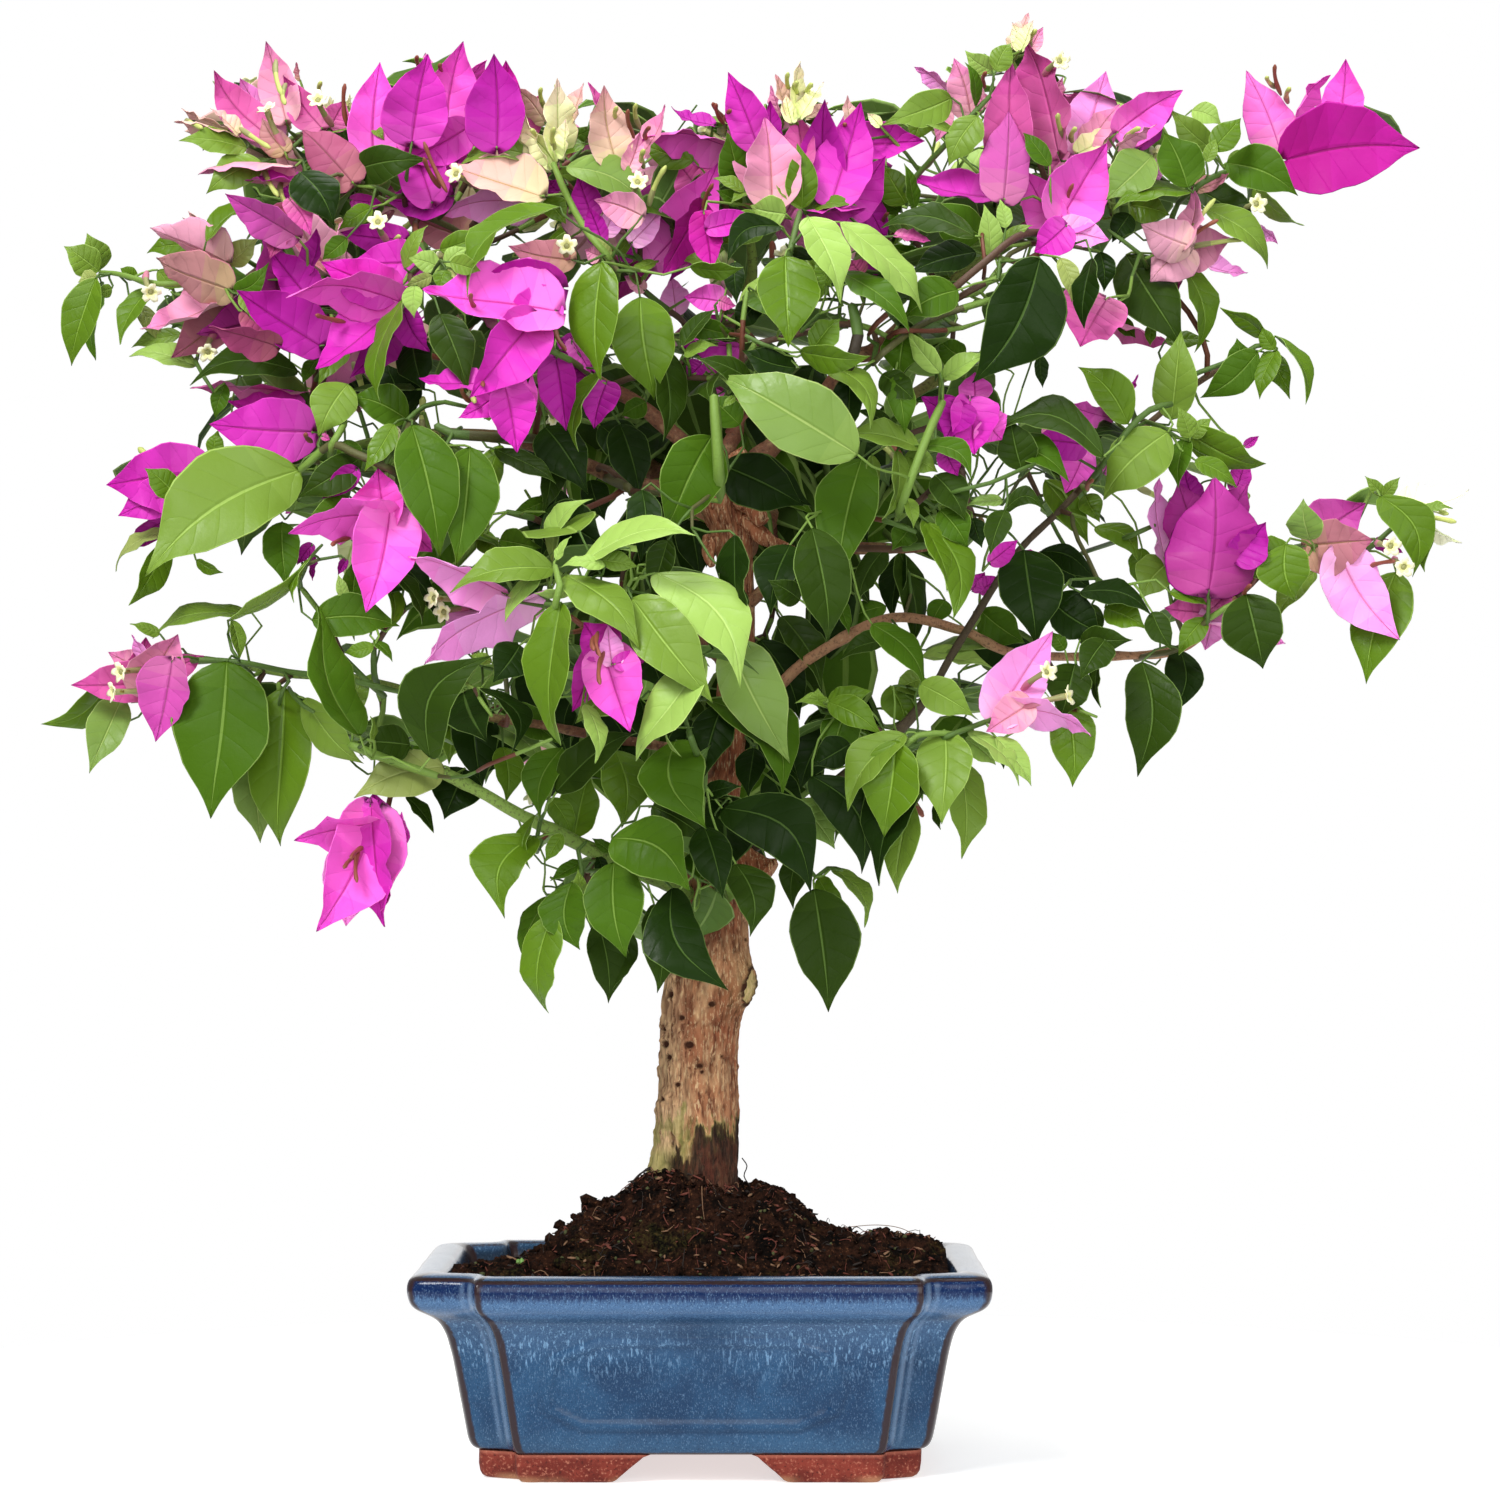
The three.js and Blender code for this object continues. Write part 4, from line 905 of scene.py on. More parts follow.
def bark_material():
    m, nt, b = new_mat("bark")
    tc = nt.nodes.new("ShaderNodeTexCoord")
    pos = tc.outputs["Object"]
    long = noise_tex(nt, scaled(nt, pos, 1, 1, 0.16), 520, 4, 0.65, distortion=0.3)
    long2 = noise_tex(nt, scaled(nt, pos, 1, 1, 0.22), 1400, 3, 0.6)
    patch = noise_tex(nt, scaled(nt, pos, 1, 1, 0.6), 62, 3, 0.55)
    patch2 = noise_tex(nt, scaled(nt, pos, 1.0, 1.0, 0.45), 150, 3, 0.6)
    xyz = nt.nodes.new("ShaderNodeSeparateXYZ")
    nt.links.new(pos, xyz.inputs[0])
    z = xyz.outputs[2]
    x = math_node(nt, "SUBTRACT", xyz.outputs[0], float(POT_AT[0]))
    base = mix(nt, remap(nt, patch2, 0.36, 0.64), srgb(218, 176, 130), srgb(192, 134, 94))
    red = math_node(nt, "MULTIPLY", remap(nt, patch, 0.42, 0.60), 0.82)
    base = mix(nt, red, base, srgb(162, 92, 62))
    # paler on the left, which is painted light; darker red on the right, the bark's redder tone with painted shade;
    # redder further up
    base = mix(nt, math_node(nt, "MULTIPLY", remap(nt, x, -0.002, -0.013), 0.55), base, srgb(234, 200, 154))
    base = mix(nt, math_node(nt, "MULTIPLY", remap(nt, x, 0.000, 0.012), 0.34), base, srgb(150, 80, 54))
    base = mix(nt, math_node(nt, "MULTIPLY", remap(nt, z, 0.170, 0.235), 0.55), base, srgb(166, 98, 68))
    fibre = remap(nt, long, 0.50, 0.36)
    base = mix(nt, math_node(nt, "MULTIPLY", fibre, 0.86), base, srgb(96, 48, 31))
    base = mix(nt, math_node(nt, "MULTIPLY", remap(nt, long2, 0.53, 0.64), 0.62), base, srgb(240, 208, 160))
    # painted shade: darker down in the grooves
    base = mix(nt, math_node(nt, "MULTIPLY", attr(nt, "groove_and_shade"), 0.74), base, srgb(84, 42, 26))
    # painted shade: darker in the pits and along the knot's rim
    base = mix(nt, remap(nt, attr(nt, "pit_and_shade"), 0.05, 0.55), base, srgb(64, 34, 20))
    # algae and the dark, damp foot
    rag = math_node(nt, "ADD", z, math_node(nt, "MULTIPLY", math_node(nt, "SUBTRACT", patch2, 0.5), 0.040))
    rag = math_node(nt, "ADD", rag, math_node(nt, "MULTIPLY", math_node(nt, "SUBTRACT", long, 0.5), 0.020))
    alg = math_node(nt, "MULTIPLY", remap(nt, rag, 0.128, 0.119), remap(nt, x, 0.001, -0.008))
    alg = math_node(nt, "MULTIPLY", alg, math_node(nt, "MAXIMUM", remap(nt, patch2, 0.47, 0.58), remap(nt, z, 0.116, 0.108)))
    moss_line = math_node(nt, "MULTIPLY", remap(nt, rag, 0.123, 0.120), remap(nt, rag, 0.115, 0.118))
    alg = math_node(nt, "MAXIMUM", alg, math_node(nt, "MULTIPLY", moss_line, 0.8))
    base = mix(nt, math_node(nt, "MULTIPLY", alg, 0.66), base, mix(nt, remap(nt, patch, 0.4, 0.6), srgb(150, 152, 84), srgb(92, 106, 50)))
    foot = math_node(nt, "MULTIPLY", remap(nt, rag, 0.1125, 0.1080), remap(nt, x, -0.0135, -0.0095))
    right_foot = math_node(nt, "MULTIPLY", remap(nt, rag, 0.1215, 0.1175), remap(nt, x, -0.0055, -0.0025))
    foot = math_node(nt, "MAXIMUM", foot, right_foot)
    edge_ = math_node(nt, "MULTIPLY", foot, math_node(nt, "SUBTRACT", 1.0, remap(nt, rag, 0.1215, 0.1130)))
    base = mix(nt, math_node(nt, "MULTIPLY", foot, 0.93), base, mix(nt, remap(nt, long, 0.42, 0.62), srgb(24, 9, 6), srgb(70, 32, 21)))
    base = mix(nt, math_node(nt, "MULTIPLY", edge_, 0.5), base, srgb(60, 58, 28))
    base = mix(nt, attr(nt, "pale"), base, mix(nt, remap(nt, long2, 0.4, 0.6), srgb(196, 176, 112), srgb(222, 196, 140)))
    nt.links.new(base, b.inputs["Base Color"])
    b.inputs["Roughness"].default_value = 0.82
    b.inputs["Specular IOR Level"].default_value = 0.22
    h = math_node(nt, "ADD", math_node(nt, "MULTIPLY", long, 1.0), math_node(nt, "MULTIPLY", long2, 0.5))
    nt.links.new(bump_node(nt, h, 0.95, 0.0013), b.inputs["Normal"])
    return m


trunk_ob = trunk.build("trunk_bark", [bark_material()])
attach(trunk_ob, "root")
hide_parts("trunk")


# ---------------------------------------------------------------- boughs
BOUGHS = {
    # name: (first radius, last radius, first tone, last tone, points); tone 0 is grey brown, 0.5 red brown, 1 green
    "bough_right_arch": (2.2, 1.35, 0.2, 0.05, [(12, 0, 258), (26, -8, 275), (40, -14, 287), (67, -16, 300), (92, -14, 296), (110, -12, 288), (142, -8, 287), (172, -8, 290), (190, -10, 308)]),
    "bough_right_diagonal": (1.9, 1.0, -0.5, -0.3, [(7, 4, 211), (28, 0, 225), (51, -9, 245), (74, -17, 264), (92, -21, 293), (110, -22, 321), (128, -20, 339), (145, -16, 357), (175, -11, 383), (190, -9, 392)]),
    "bough_left_slim": (2.0, 1.05, 0.4, 1.1, [(7, 0, 239), (-4, -8, 252), (-36, -18, 258), (-57, -22, 262), (-81, -24, 266), (-119, -25, 278), (-146, -25, 280), (-176, -22, 285), (-194, -22, 282)]),
    "bough_left_thick": (3.1, 1.6, 0.9, 1.1, [(-1, -2, 200), (-18, -24, 209), (-32, -38, 215), (-64, -50, 231), (-88, -50, 244), (-105, -48, 249), (-119, -46, 255)]),
    "bough_left_upper": (3.4, 1.5, 0.3, 0.95, [(7, 0, 343), (-11, -8, 346), (-27, -14, 349), (-56, -30, 359), (-70, -36, 362), (-91, -40, 363), (-114, -42, 360), (-140, -36, 352)]),
    "bough_left_leader": (3.2, 1.6, 0.3, 0.9, [(7, 2, 348), (-4, 6, 362), (-22, 6, 378), (-37, 2, 386), (-60, -4, 398), (-91, -10, 440), (-124, -12, 452)]),
    "bough_right_leader": (3.8, 1.8, 0.3, 0.9, [(8, 2, 349), (21, 10, 360), (39, 8, 376), (53, 2, 394), (63, 0, 398), (85, 0, 418), (115, 0, 439)]),
    "bough_centre_leader": (3.2, 1.6, 0.4, 0.95, [(6, 0, 354), (12, 4, 369), (16, 4, 387), (14, 2, 408), (18, 0, 429), (15, -4, 445)]),
    "bough_right_middle": (2.4, 1.4, 0.3, 0.5, [(14, 0, 304), (30, -10, 316), (45, -22, 324), (78, -32, 324), (99, -36, 333)]),
    "bough_back_left": (5, 2.4, 0.3, 0.8, [(9, 4, 329), (-5, 30, 346), (-24, 55, 363), (-47, 78, 380), (-78, 90, 397)]),
    "bough_back_right": (5, 2.4, 0.3, 0.8, [(12, 4, 322), (24, 30, 340), (43, 58, 360), (66, 80, 380), (93, 92, 401)]),
    "front": (3.0, 1.6, 0.3, 0.9, [(12, -4, 275), (8, -24, 284), (-2, -52, 291), (-13, -85, 295)]),
}
REPLACED = {"bough_right_diagonal": ["bough_right_diagonal", "bough_right_diagonal_outer"], "bough_left_thick": ["bough_left_thick", "bough_left_thick_outer"], "front": []}
limb = Bag()
LIMB_NODES, LIMB_R = [], []
for k, (name, (r0, r1, t0, t1, pts_)) in enumerate(BOUGHS.items()):
    p = catmull(np.array(pts_, float), 1.6)
    s = np.linspace(0, 1, len(p))
    wig = fbm(np.stack([s * 9, 0 * s + k, 0 * s], -1), 2, 80 + k)[:, None] * unit(np.cross(unit(np.gradient(p, axis=0)), [0.3, 0.2, 1.0])) * 1.6 * smooth(0, 0.15, s)[:, None]
    p = p + wig
    r = r0 + (r1 - r0) * s**0.8
    before = limb.n
    tube(limb, p, r, 0, sides=18, bump=bark_bump(0.10, 1.0, 90 + k), tip=0.2)
    tone = np.repeat(t0 + (t1 - t0) * s, 18)
    limb.attr.setdefault("tone", []).append((before, np.append(tone, [t0, t1])))
    LIMB_NODES.append(p[4::3])
    LIMB_R.append(r[4::3])


def limb_material():
    m, nt, b = new_mat("limb_bark")
    tc = nt.nodes.new("ShaderNodeTexCoord")
    pos = tc.outputs["Object"]
    uv = nt.nodes.new("ShaderNodeUVMap")
    fine = noise_tex(nt, pos, 900, 4, 0.65)
    patch = noise_tex(nt, pos, 130, 3, 0.6)
    tone = attr(nt, "tone")
    base = mix(nt, remap(nt, tone, 0.1, 0.5), srgb(164, 120, 86), srgb(116, 70, 46))
    base = mix(nt, remap(nt, tone, 0.6, 0.9), base, srgb(112, 140, 52))
    base = mix(nt, remap(nt, tone, 0.95, 1.05), base, srgb(138, 170, 76))
    base = mix(nt, remap(nt, tone, -0.1, -0.4), base, srgb(74, 62, 40))
    base = mix(nt, math_node(nt, "MULTIPLY", math_node(nt, "MULTIPLY", remap(nt, patch, 0.5, 0.66), 0.6), math_node(nt, "MULTIPLY", remap(nt, tone, 0.85, 0.6), remap(nt, tone, -0.3, 0.0))), base, srgb(170, 136, 96))
    base = mix(nt, math_node(nt, "MULTIPLY", remap(nt, fine, 0.48, 0.36), 0.6), base, srgb(56, 36, 26))
    base = mix(nt, math_node(nt, "MULTIPLY", math_node(nt, "MULTIPLY", remap(nt, fine, 0.60, 0.72), 0.5), math_node(nt, "MULTIPLY", remap(nt, tone, 0.9, 0.6), remap(nt, tone, -0.3, 0.0))), base, srgb(196, 172, 134))
    nt.links.new(base, b.inputs["Base Color"])
    b.inputs["Roughness"].default_value = 0.72
    nt.links.new(bump_node(nt, fine, 0.7, 0.0006), b.inputs["Normal"])
    return m


limb_ob = limb.build("boughs", [limb_material()])
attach(limb_ob, "root")
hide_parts(*[n for k in BOUGHS for n in REPLACED.get(k, [k])])


# ---------------------------------------------------------------- masses
MASSES = {
    "top_left": (-151, -15, 459, 37, 48, 41), "dusty_left": (-179, -20, 412, 23, 36, 30), "left_tip": (-215, 5, 419, 17, 20, 21), "top_left_mid": (-95, -25, 464, 33, 52, 35),
    "upper_left": (-121, -55, 404, 38, 45, 28), "mid_left": (-168, -35, 347, 38, 40, 35), "mid_left_inner": (-101, -80, 333, 37, 42, 37), "top_centre": (-36, -25, 454, 33, 52, 35),
    "front_top": (-60, -100, 391, 33, 40, 30), "top_centre_right": (30, -20, 458, 34, 52, 37), "upper_front_right": (34, -85, 390, 37, 42, 32), "top_right": (101, 0, 469, 36, 52, 41),
    "top_right_outer": (153, -5, 453, 32, 42, 37), "upper_right": (100, -50, 401, 35, 42, 28), "far_top_right": (229, 15, 475, 31, 24, 26), "right_tip": (198, 0, 390, 20, 26, 26),
    "mid_right": (145, -15, 363, 35, 42, 28), "mid_right_inner": (86, -60, 341, 31, 42, 33), "right_bloom": (181, -25, 320, 22, 30, 35), "far_right": (242, -5, 318, 27, 32, 34),
    "low_right_bloom": (123, -44, 270, 26, 26, 28), "leaf_low_right": (164, 0, 272, 17, 24, 27), "low_right": (70, -35, 249, 33, 48, 38), "low_right_leaves": (46, -15, 188, 16, 26, 26),
    "front_centre": (-22, -120, 293, 39, 34, 36), "centre_front": (0, -80, 360, 27, 34, 29), "low_left": (-181, -20, 258, 46, 34, 30), "low_left_mid": (-119, -35, 267, 30, 36, 30),
    "low_left_bloom": (-121, -35, 213, 20, 24, 23), "low_left_inner": (-65, -70, 269, 29, 42, 31), "low_centre_left": (-50, -30, 200, 30, 38, 35), "low_centre": (-4, -55, 218, 25, 34, 40),
    "back_top_left": (-115, 85, 463, 49, 52, 36), "back_top": (-21, 105, 470, 50, 58, 36), "back_top_right": (78, 100, 466, 50, 56, 37), "back_mid_left": (-129, 65, 375, 49, 50, 43),
    "back_mid": (-10, 125, 382, 58, 48, 47), "back_mid_right": (112, 85, 374, 45, 50, 44), "back_low_left": (-69, 75, 274, 49, 46, 40), "back_low_right": (66, 75, 274, 49, 46, 40),
}
MC = np.array([m[:3] for m in MASSES.values()], float)
MR = np.array([m[3:] for m in MASSES.values()], float) * 1.10


def front_depth(px, py):
    """Depth of the foliage's front about a pixel, so that narrow gaps between masses don't open it."""
    here = [mass_depth(px + a, py + b) for a, b in ((0, 0), (24, 0), (-24, 0), (0, 24), (0, -24))]
    near = [y for y, hit in here if hit]
    y = 0.5 * min(near) + 0.5 * sum(near) / len(near) if near else here[0][0]
    if 675 < px < 790 and 450 < py < 1000:
        y = min(y, -26.0)
    return y


def mass_depth(px, py, slack=1.0):
    """Where a pixel's ray first meets a mass, or passes nearest to one."""
    d = unit(pt(px, py, 0) - EYE)
    o = (EYE - MC) / (MR * slack)
    e = d / (MR * slack)
    a, b, c_ = (e * e).sum(1), (e * o).sum(1), (o * o).sum(1) - 1
    disc = b * b - a * c_
    if (disc > 0).any():
        t = np.where(disc > 0, (-b - np.sqrt(np.maximum(disc, 0))) / a, 1e9)
        return float((EYE + d * t.min())[1]), True
    k = int(np.argmin(c_ - b * b / a))
    return float(MC[k, 1] - 4), False


# ---------------------------------------------------------------- leaves and bracts
def profile(v, a, b, tip=0.0):
    f = v**a * (1 - v) ** b
    m = a / (a + b)
    f = f / (m**a * (1 - m) ** b)
    return f * (1 - tip * smooth(0.62, 0.97, v))


def turn(v, axis, angle):
    axis = unit(axis)
    return v * math.cos(angle) + np.cross(axis, v) * math.sin(angle) + axis * (axis @ v) * (1 - math.cos(angle))


def blades(bag, items, rows, cols, kind):
    """Adds thin closed blades, each from base to tip, with its upper face towards nrm."""
    if not items:
        return
    get = lambda k, d=0.0: np.array([it.get(k, d) for it in items], float)
    base, tip, nrm = get("base"), get("tip"), get("nrm")
    n = len(items)
    L = np.linalg.norm(tip - base, axis=1)
    d = unit(tip - base)
    nrm = unit(nrm - d * (nrm * d).sum(1, keepdims=True))
    side = np.cross(d, nrm)
    col = lambda k, dflt: get(k, dflt)[:, None, None]
    W, fold, bend, twist, wave, curl, hook, skew = (col(k, v) for k, v in (("width", 20), ("fold", 0.25), ("bend", 0.08), ("twist", 0), ("wave", 0.04), ("curl", 0.1), ("hook", 0.04), ("skew", 0)))
    ph = np.array([it.get("seed", 0) for it in items], float)[:, None, None] * 1.37
    v = 0.5 - 0.5 * np.cos(np.pi * np.linspace(0, 1, rows))
    v = 0.72 * v + 0.28 * np.linspace(0, 1, rows)
    v = v[None, :, None]
    inner = {9: [0.030, 0.30, 0.64, 0.965], 7: [0.06, 0.45, 0.93], 5: [0.10, 0.80], 11: [0.04, 0.22, 0.46, 0.72, 0.96]}[cols - 1]
    s = np.array([-1.0] + [-x for x in inner[::-1]] + inner + [1.0])[None, None, :]
    if kind == "leaf":
        w = profile(np.clip(v, 1e-4, 1 - 1e-4), 0.64, 1.06, 0.42)
        w = np.maximum(w, 0.028 * (1 - v) + 0.006)
        back = 0.0
    else:
        w = profile(np.clip(v, 1e-4, 1 - 1e-4), 0.42, 0.92, 0.36)
        w = np.maximum(w, 0.03 * (1 - v) + 0.006)
        back = 0.075 * (1 - v) ** 5 * np.abs(s) ** 1.5
    lop = 1 + 0.10 * np.sin(ph * 2.1) * np.sign(s)
    half = 0.5 * W * w * lop
    a = np.abs(s)
    env = np.sin(np.pi * np.clip(v, 0, 1)) ** 0.6
    x = s * half * np.cos(fold * (1 - 0.35 * v))
    z = a * half * np.sin(fold * (1 - 0.35 * v))
    z = z - curl * half * s * s
    f1 = 2 * np.pi * (2.1 if kind == "leaf" else 2.6)
    z = z + wave * W * env * a**1.6 * (np.sin(f1 * v + ph + 1.9 * np.sign(s)) + 0.45 * np.sin(1.7 * f1 * v + 2.2 * ph - 1.3 * np.sign(s)))
    x = x * (1 + 0.035 * env * np.sin(1.25 * f1 * v + ph * 3 + np.sign(s)))
    Lk = L[:, None, None]
    # quilted between the side veins
    z = z + (0.012 if kind == "leaf" else 0.014) * W * np.sin(np.pi * np.clip(a, 0, 1)) * np.cos(2 * np.pi * (6.5 * v - 1.1 * a) + ph)
    y = Lk * (v - back)
    y = y * np.ones_like(x)
    cz = bend * Lk * 4 * v * (1 - v) * (0.6 + 0.8 * v) - hook * Lk * np.clip(v - 0.72, 0, 1) ** 2 * 6
    cx = skew * Lk * np.sin(np.pi * v) * np.ones_like(z)
    tw = twist * (v - 0.45)
    x2 = x * np.cos(tw) - z * np.sin(tw)
    z2 = x * np.sin(tw) + z * np.cos(tw)
    x, z = x2 + cx, z2 + cz
    P = base[:, None, None] + x[..., None] * side[:, None, None] + y[..., None] * d[:, None, None] + z[..., None] * nrm[:, None, None]
    nn = nrm[:, None, None] * np.cos(tw)[..., None] - side[:, None, None] * np.sin(tw)[..., None]
    thick = 0.26 if kind == "leaf" else 0.16
    Q = P - nn * thick
    Rr, Cc = rows, cols
    top_idx = np.arange(Rr * Cc).reshape(Rr, Cc)
    bot_idx = top_idx.copy()
    m = (Rr - 2) * (Cc - 2)
    bot_idx[1:-1, 1:-1] = Rr * Cc + np.arange(m).reshape(Rr - 2, Cc - 2)
    qt = np.stack([top_idx[:-1, :-1], top_idx[:-1, 1:], top_idx[1:, 1:], top_idx[1:, :-1]], -1).reshape(-1, 4)
    qb = np.stack([bot_idx[:-1, :-1], bot_idx[1:, :-1], bot_idx[1:, 1:], bot_idx[:-1, 1:]], -1).reshape(-1, 4)
    per = Rr * Cc + m
    V = np.concatenate([P.reshape(n, -1, 3), Q[:, 1:-1, 1:-1].reshape(n, -1, 3)], 1)
    uv1 = np.stack([(s * 0.5 + 0.5) * np.ones_like(v), v * np.ones_like(s)], -1)[0]
    uv = np.concatenate([uv1.reshape(-1, 2), uv1[1:-1, 1:-1].reshape(-1, 2)], 0)
    uv = uv[None] + np.zeros((n, 1, 1))
    # zones: 0 blade, 1 midrib, 2 margin, 3 the base, 4 the tip, 5 and 6 between them and the blade; the same for the lower face from 7
    zone = np.zeros((Rr - 1, Cc - 1), int)
    vm = (v[0, 1:, 0] + v[0, :-1, 0]) / 2
    zone[vm < 0.36] = 5
    zone[vm < 0.17] = 3
    zone[vm > 0.68] = 6
    zone[vm > 0.86] = 4
    zone[:, 0] = zone[:, -1] = 2
    zone[: int(0.9 * (Rr - 1)), (Cc - 2) // 2] = 1
    z_all = np.concatenate([zone.ravel(), zone.ravel() + 7])
    mats = np.array([it["mats"] for it in items], int)
    quads = np.concatenate([qt, qb])
    # winding: the upper face must look along nrm
    a_, b_, c_ = V[0, quads[len(qt) // 2, 0]], V[0, quads[len(qt) // 2, 1]], V[0, quads[len(qt) // 2, 3]]
    if np.cross(b_ - a_, c_ - a_) @ nrm[0] < 0:
        quads = quads[:, ::-1]
    allq = (quads[None] + per * np.arange(n)[:, None, None]).reshape(-1, 4)
    bag.add(V.reshape(-1, 3), allq, mats[:, z_all].ravel(), uv=uv.reshape(-1, 2))


def leaf_mat(name, colour, rough=0.40, vein=0.5, gloss=0.5, depth=0.0005, grain=420):
    m, nt, b = new_mat(name)
    b.inputs["Base Color"].default_value = colour
    tc = nt.nodes.new("ShaderNodeTexCoord")
    uv = nt.nodes.new("ShaderNodeUVMap")
    xyz = nt.nodes.new("ShaderNodeSeparateXYZ")
    nt.links.new(uv.outputs[0], xyz.inputs[0])
    a = math_node(nt, "ABSOLUTE", math_node(nt, "SUBTRACT", xyz.outputs[0], 0.5))
    t = math_node(nt, "SUBTRACT", math_node(nt, "MULTIPLY", xyz.outputs[1], 6.5), math_node(nt, "MULTIPLY", a, 2.2))
    wave_ = math_node(nt, "POWER", math_node(nt, "ABSOLUTE", math_node(nt, "SINE", math_node(nt, "MULTIPLY", t, math.pi))), 0.35)
    rib = remap(nt, a, 0.0, 0.05)
    h = math_node(nt, "ADD", math_node(nt, "MULTIPLY", wave_, 0.7), rib)
    mot = noise_tex(nt, tc.outputs["Object"], grain, 2, 0.5)
    h = math_node(nt, "ADD", h, math_node(nt, "MULTIPLY", mot, 0.6))
    nt.links.new(bump_node(nt, h, vein, depth), b.inputs["Normal"])
    patch = noise_tex(nt, tc.outputs["Object"], 60, 2, 0.5)
    nt.links.new(remap(nt, patch, 0.35, 0.65, rough - 0.08, rough + 0.12, False), b.inputs["Roughness"])
    b.inputs["Specular IOR Level"].default_value = gloss
    return m


LEAF_TONES = {
    # blade, second blade tone for base and tip, midrib, margin
    "d": ((24, 44, 8), (28, 49, 10), (62, 88, 38), (86, 112, 56)), "k": ((40, 62, 12), (45, 68, 15), (78, 106, 46), (100, 128, 64)),
    "m": ((62, 96, 18), (67, 101, 21), (100, 132, 54), (120, 152, 74)), "n": ((80, 114, 18), (86, 120, 22), (114, 150, 54), (128, 162, 68)),
    "f": ((102, 134, 45), (107, 139, 49), (132, 166, 74), (142, 176, 84)), "l": ((138, 174, 83), (143, 179, 87), (160, 194, 106), (168, 200, 112)),
    # 'g' and 'h': paler, greyer greens for leaves that show a sheen, which is painted sheen
    "p": ((146, 182, 88), (150, 186, 92), (170, 200, 112), (174, 202, 116)), "g": ((136, 154, 82), (142, 160, 86), (158, 176, 104), (162, 180, 110)),
    "h": ((106, 138, 62), (112, 143, 66), (136, 164, 88), (144, 172, 96)),
}
UNDER_TONES = {"a": ((84, 114, 50), (90, 120, 54), (122, 150, 80), (124, 152, 82)), "b": ((118, 154, 66), (122, 158, 70), (148, 180, 96), (150, 182, 98))}
BRACT_TONES = {
    # blade, base, tip, midrib, margin, then the outer face: blade, base, midrib
    "D": ((165, 27, 146), (170, 42, 149), (156, 18, 135), (133, 20, 107), (176, 36, 150), (165, 46, 136), (168, 62, 134), (133, 32, 102)),
    "B": ((197, 47, 171), (201, 68, 175), (188, 30, 161), (162, 36, 128), (207, 60, 178), (198, 64, 166), (198, 82, 162), (164, 48, 127)),
    "P": ((200, 86, 154), (206, 110, 160), (188, 64, 145), (166, 66, 122), (210, 98, 166), (200, 106, 160), (202, 128, 158), (168, 82, 126)),
    "V": ((156, 63, 108), (164, 84, 108), (148, 50, 104), (126, 58, 80), (164, 74, 116), (156, 76, 108), (160, 96, 106), (126, 66, 80)),
    "W": ((187, 74, 158), (191, 98, 156), (178, 56, 150), (150, 62, 120), (197, 88, 166), (182, 78, 152), (184, 100, 148), (150, 66, 116)),
    "Q": ((221, 141, 176), (226, 162, 177), (214, 112, 172), (188, 116, 126), (227, 150, 184), (219, 152, 178), (219, 170, 170), (184, 126, 132)),
    "U": ((177, 111, 124), (180, 136, 116), (173, 92, 124), (140, 98, 80), (186, 118, 130), (176, 120, 124), (176, 144, 114), (140, 102, 82)),
    "C": ((238, 233, 182), (222, 229, 162), (238, 204, 192), (200, 208, 136), (240, 226, 192), (226, 226, 170), (212, 222, 152), (188, 200, 120)),
    "S": ((218, 174, 164), (215, 190, 156), (213, 144, 158), (184, 150, 114), (222, 174, 172), (214, 174, 160), (206, 188, 148), (180, 150, 114)),
    "E": ((178, 20, 141), (170, 14, 129), (186, 30, 153), (136, 14, 100), (188, 34, 155), (180, 46, 148), (180, 58, 142), (144, 34, 110)),
    "M": ((226, 87, 195), (231, 112, 200), (218, 64, 186), (182, 54, 142), (234, 100, 202), (224, 104, 188), (224, 128, 184), (184, 76, 146)),
    "L": ((246, 152, 222), (248, 170, 220), (240, 126, 212), (212, 116, 170), (248, 162, 226), (238, 162, 212), (236, 178, 206), (202, 128, 168)),
    "G": ((244, 250, 210), (236, 244, 194), (248, 234, 216), (204, 222, 150), (246, 248, 214), (232, 242, 186), (224, 236, 172), (190, 208, 138)),
}
leaf_mats, LEAF_SLOTS, UNDER_SLOTS = [], {}, {}
for k, tones in LEAF_TONES.items():
    LEAF_SLOTS[k] = len(leaf_mats)
    dark = k in "dkm"
    for j, c in enumerate(tones):
        c = (c[0] * 1.08, c[1] * 1.045, c[2] * 1.03)
        leaf_mats.append(leaf_mat(f"leaf_{k}_{j}", srgb(*c), 0.40, 0.55, 0.08 if dark else 0.22))
for k, tones in UNDER_TONES.items():
    UNDER_SLOTS[k] = len(leaf_mats)
    for j, c in enumerate(tones):
        leaf_mats.append(leaf_mat(f"under_{k}_{j}", srgb(*c), 0.55, 0.6, 0.18))
bract_mats, BRACT_SLOTS = [], {}
for k, tones in BRACT_TONES.items():
    BRACT_SLOTS[k] = len(bract_mats)
    between = lambda p, q: tuple(0.5 * (u + v) for u, v in zip(p, q))
    tones = tones + (between(tones[0], tones[1]), between(tones[0], tones[2]), between(tones[5], tones[6]))
    for j, c in enumerate(tones):
        c = (min(252, c[0] * 1.05), min(252, c[1] * 1.07), min(250, c[2] * 1.05))
        bract_mats.append(leaf_mat(f"bract_{k}_{j}", srgb(*c), 0.50, 0.8, 0.16, 0.00045, 300))
TUBE_TONES = {"tube": (150, 150, 96), "tube_pink": (196, 120, 140), "star": (240, 238, 168), "star_edge": (248, 246, 206), "throat": (206, 206, 96), "stamen": (150, 24, 60), "old": (140, 76, 56), "young": (188, 198, 108)}
TUBE_SLOTS = {}
for k, c in TUBE_TONES.items():
    TUBE_SLOTS[k] = len(bract_mats)
    bract_mats.append(plain("flower_" + k, srgb(*c), 0.55, 0.2, 900))


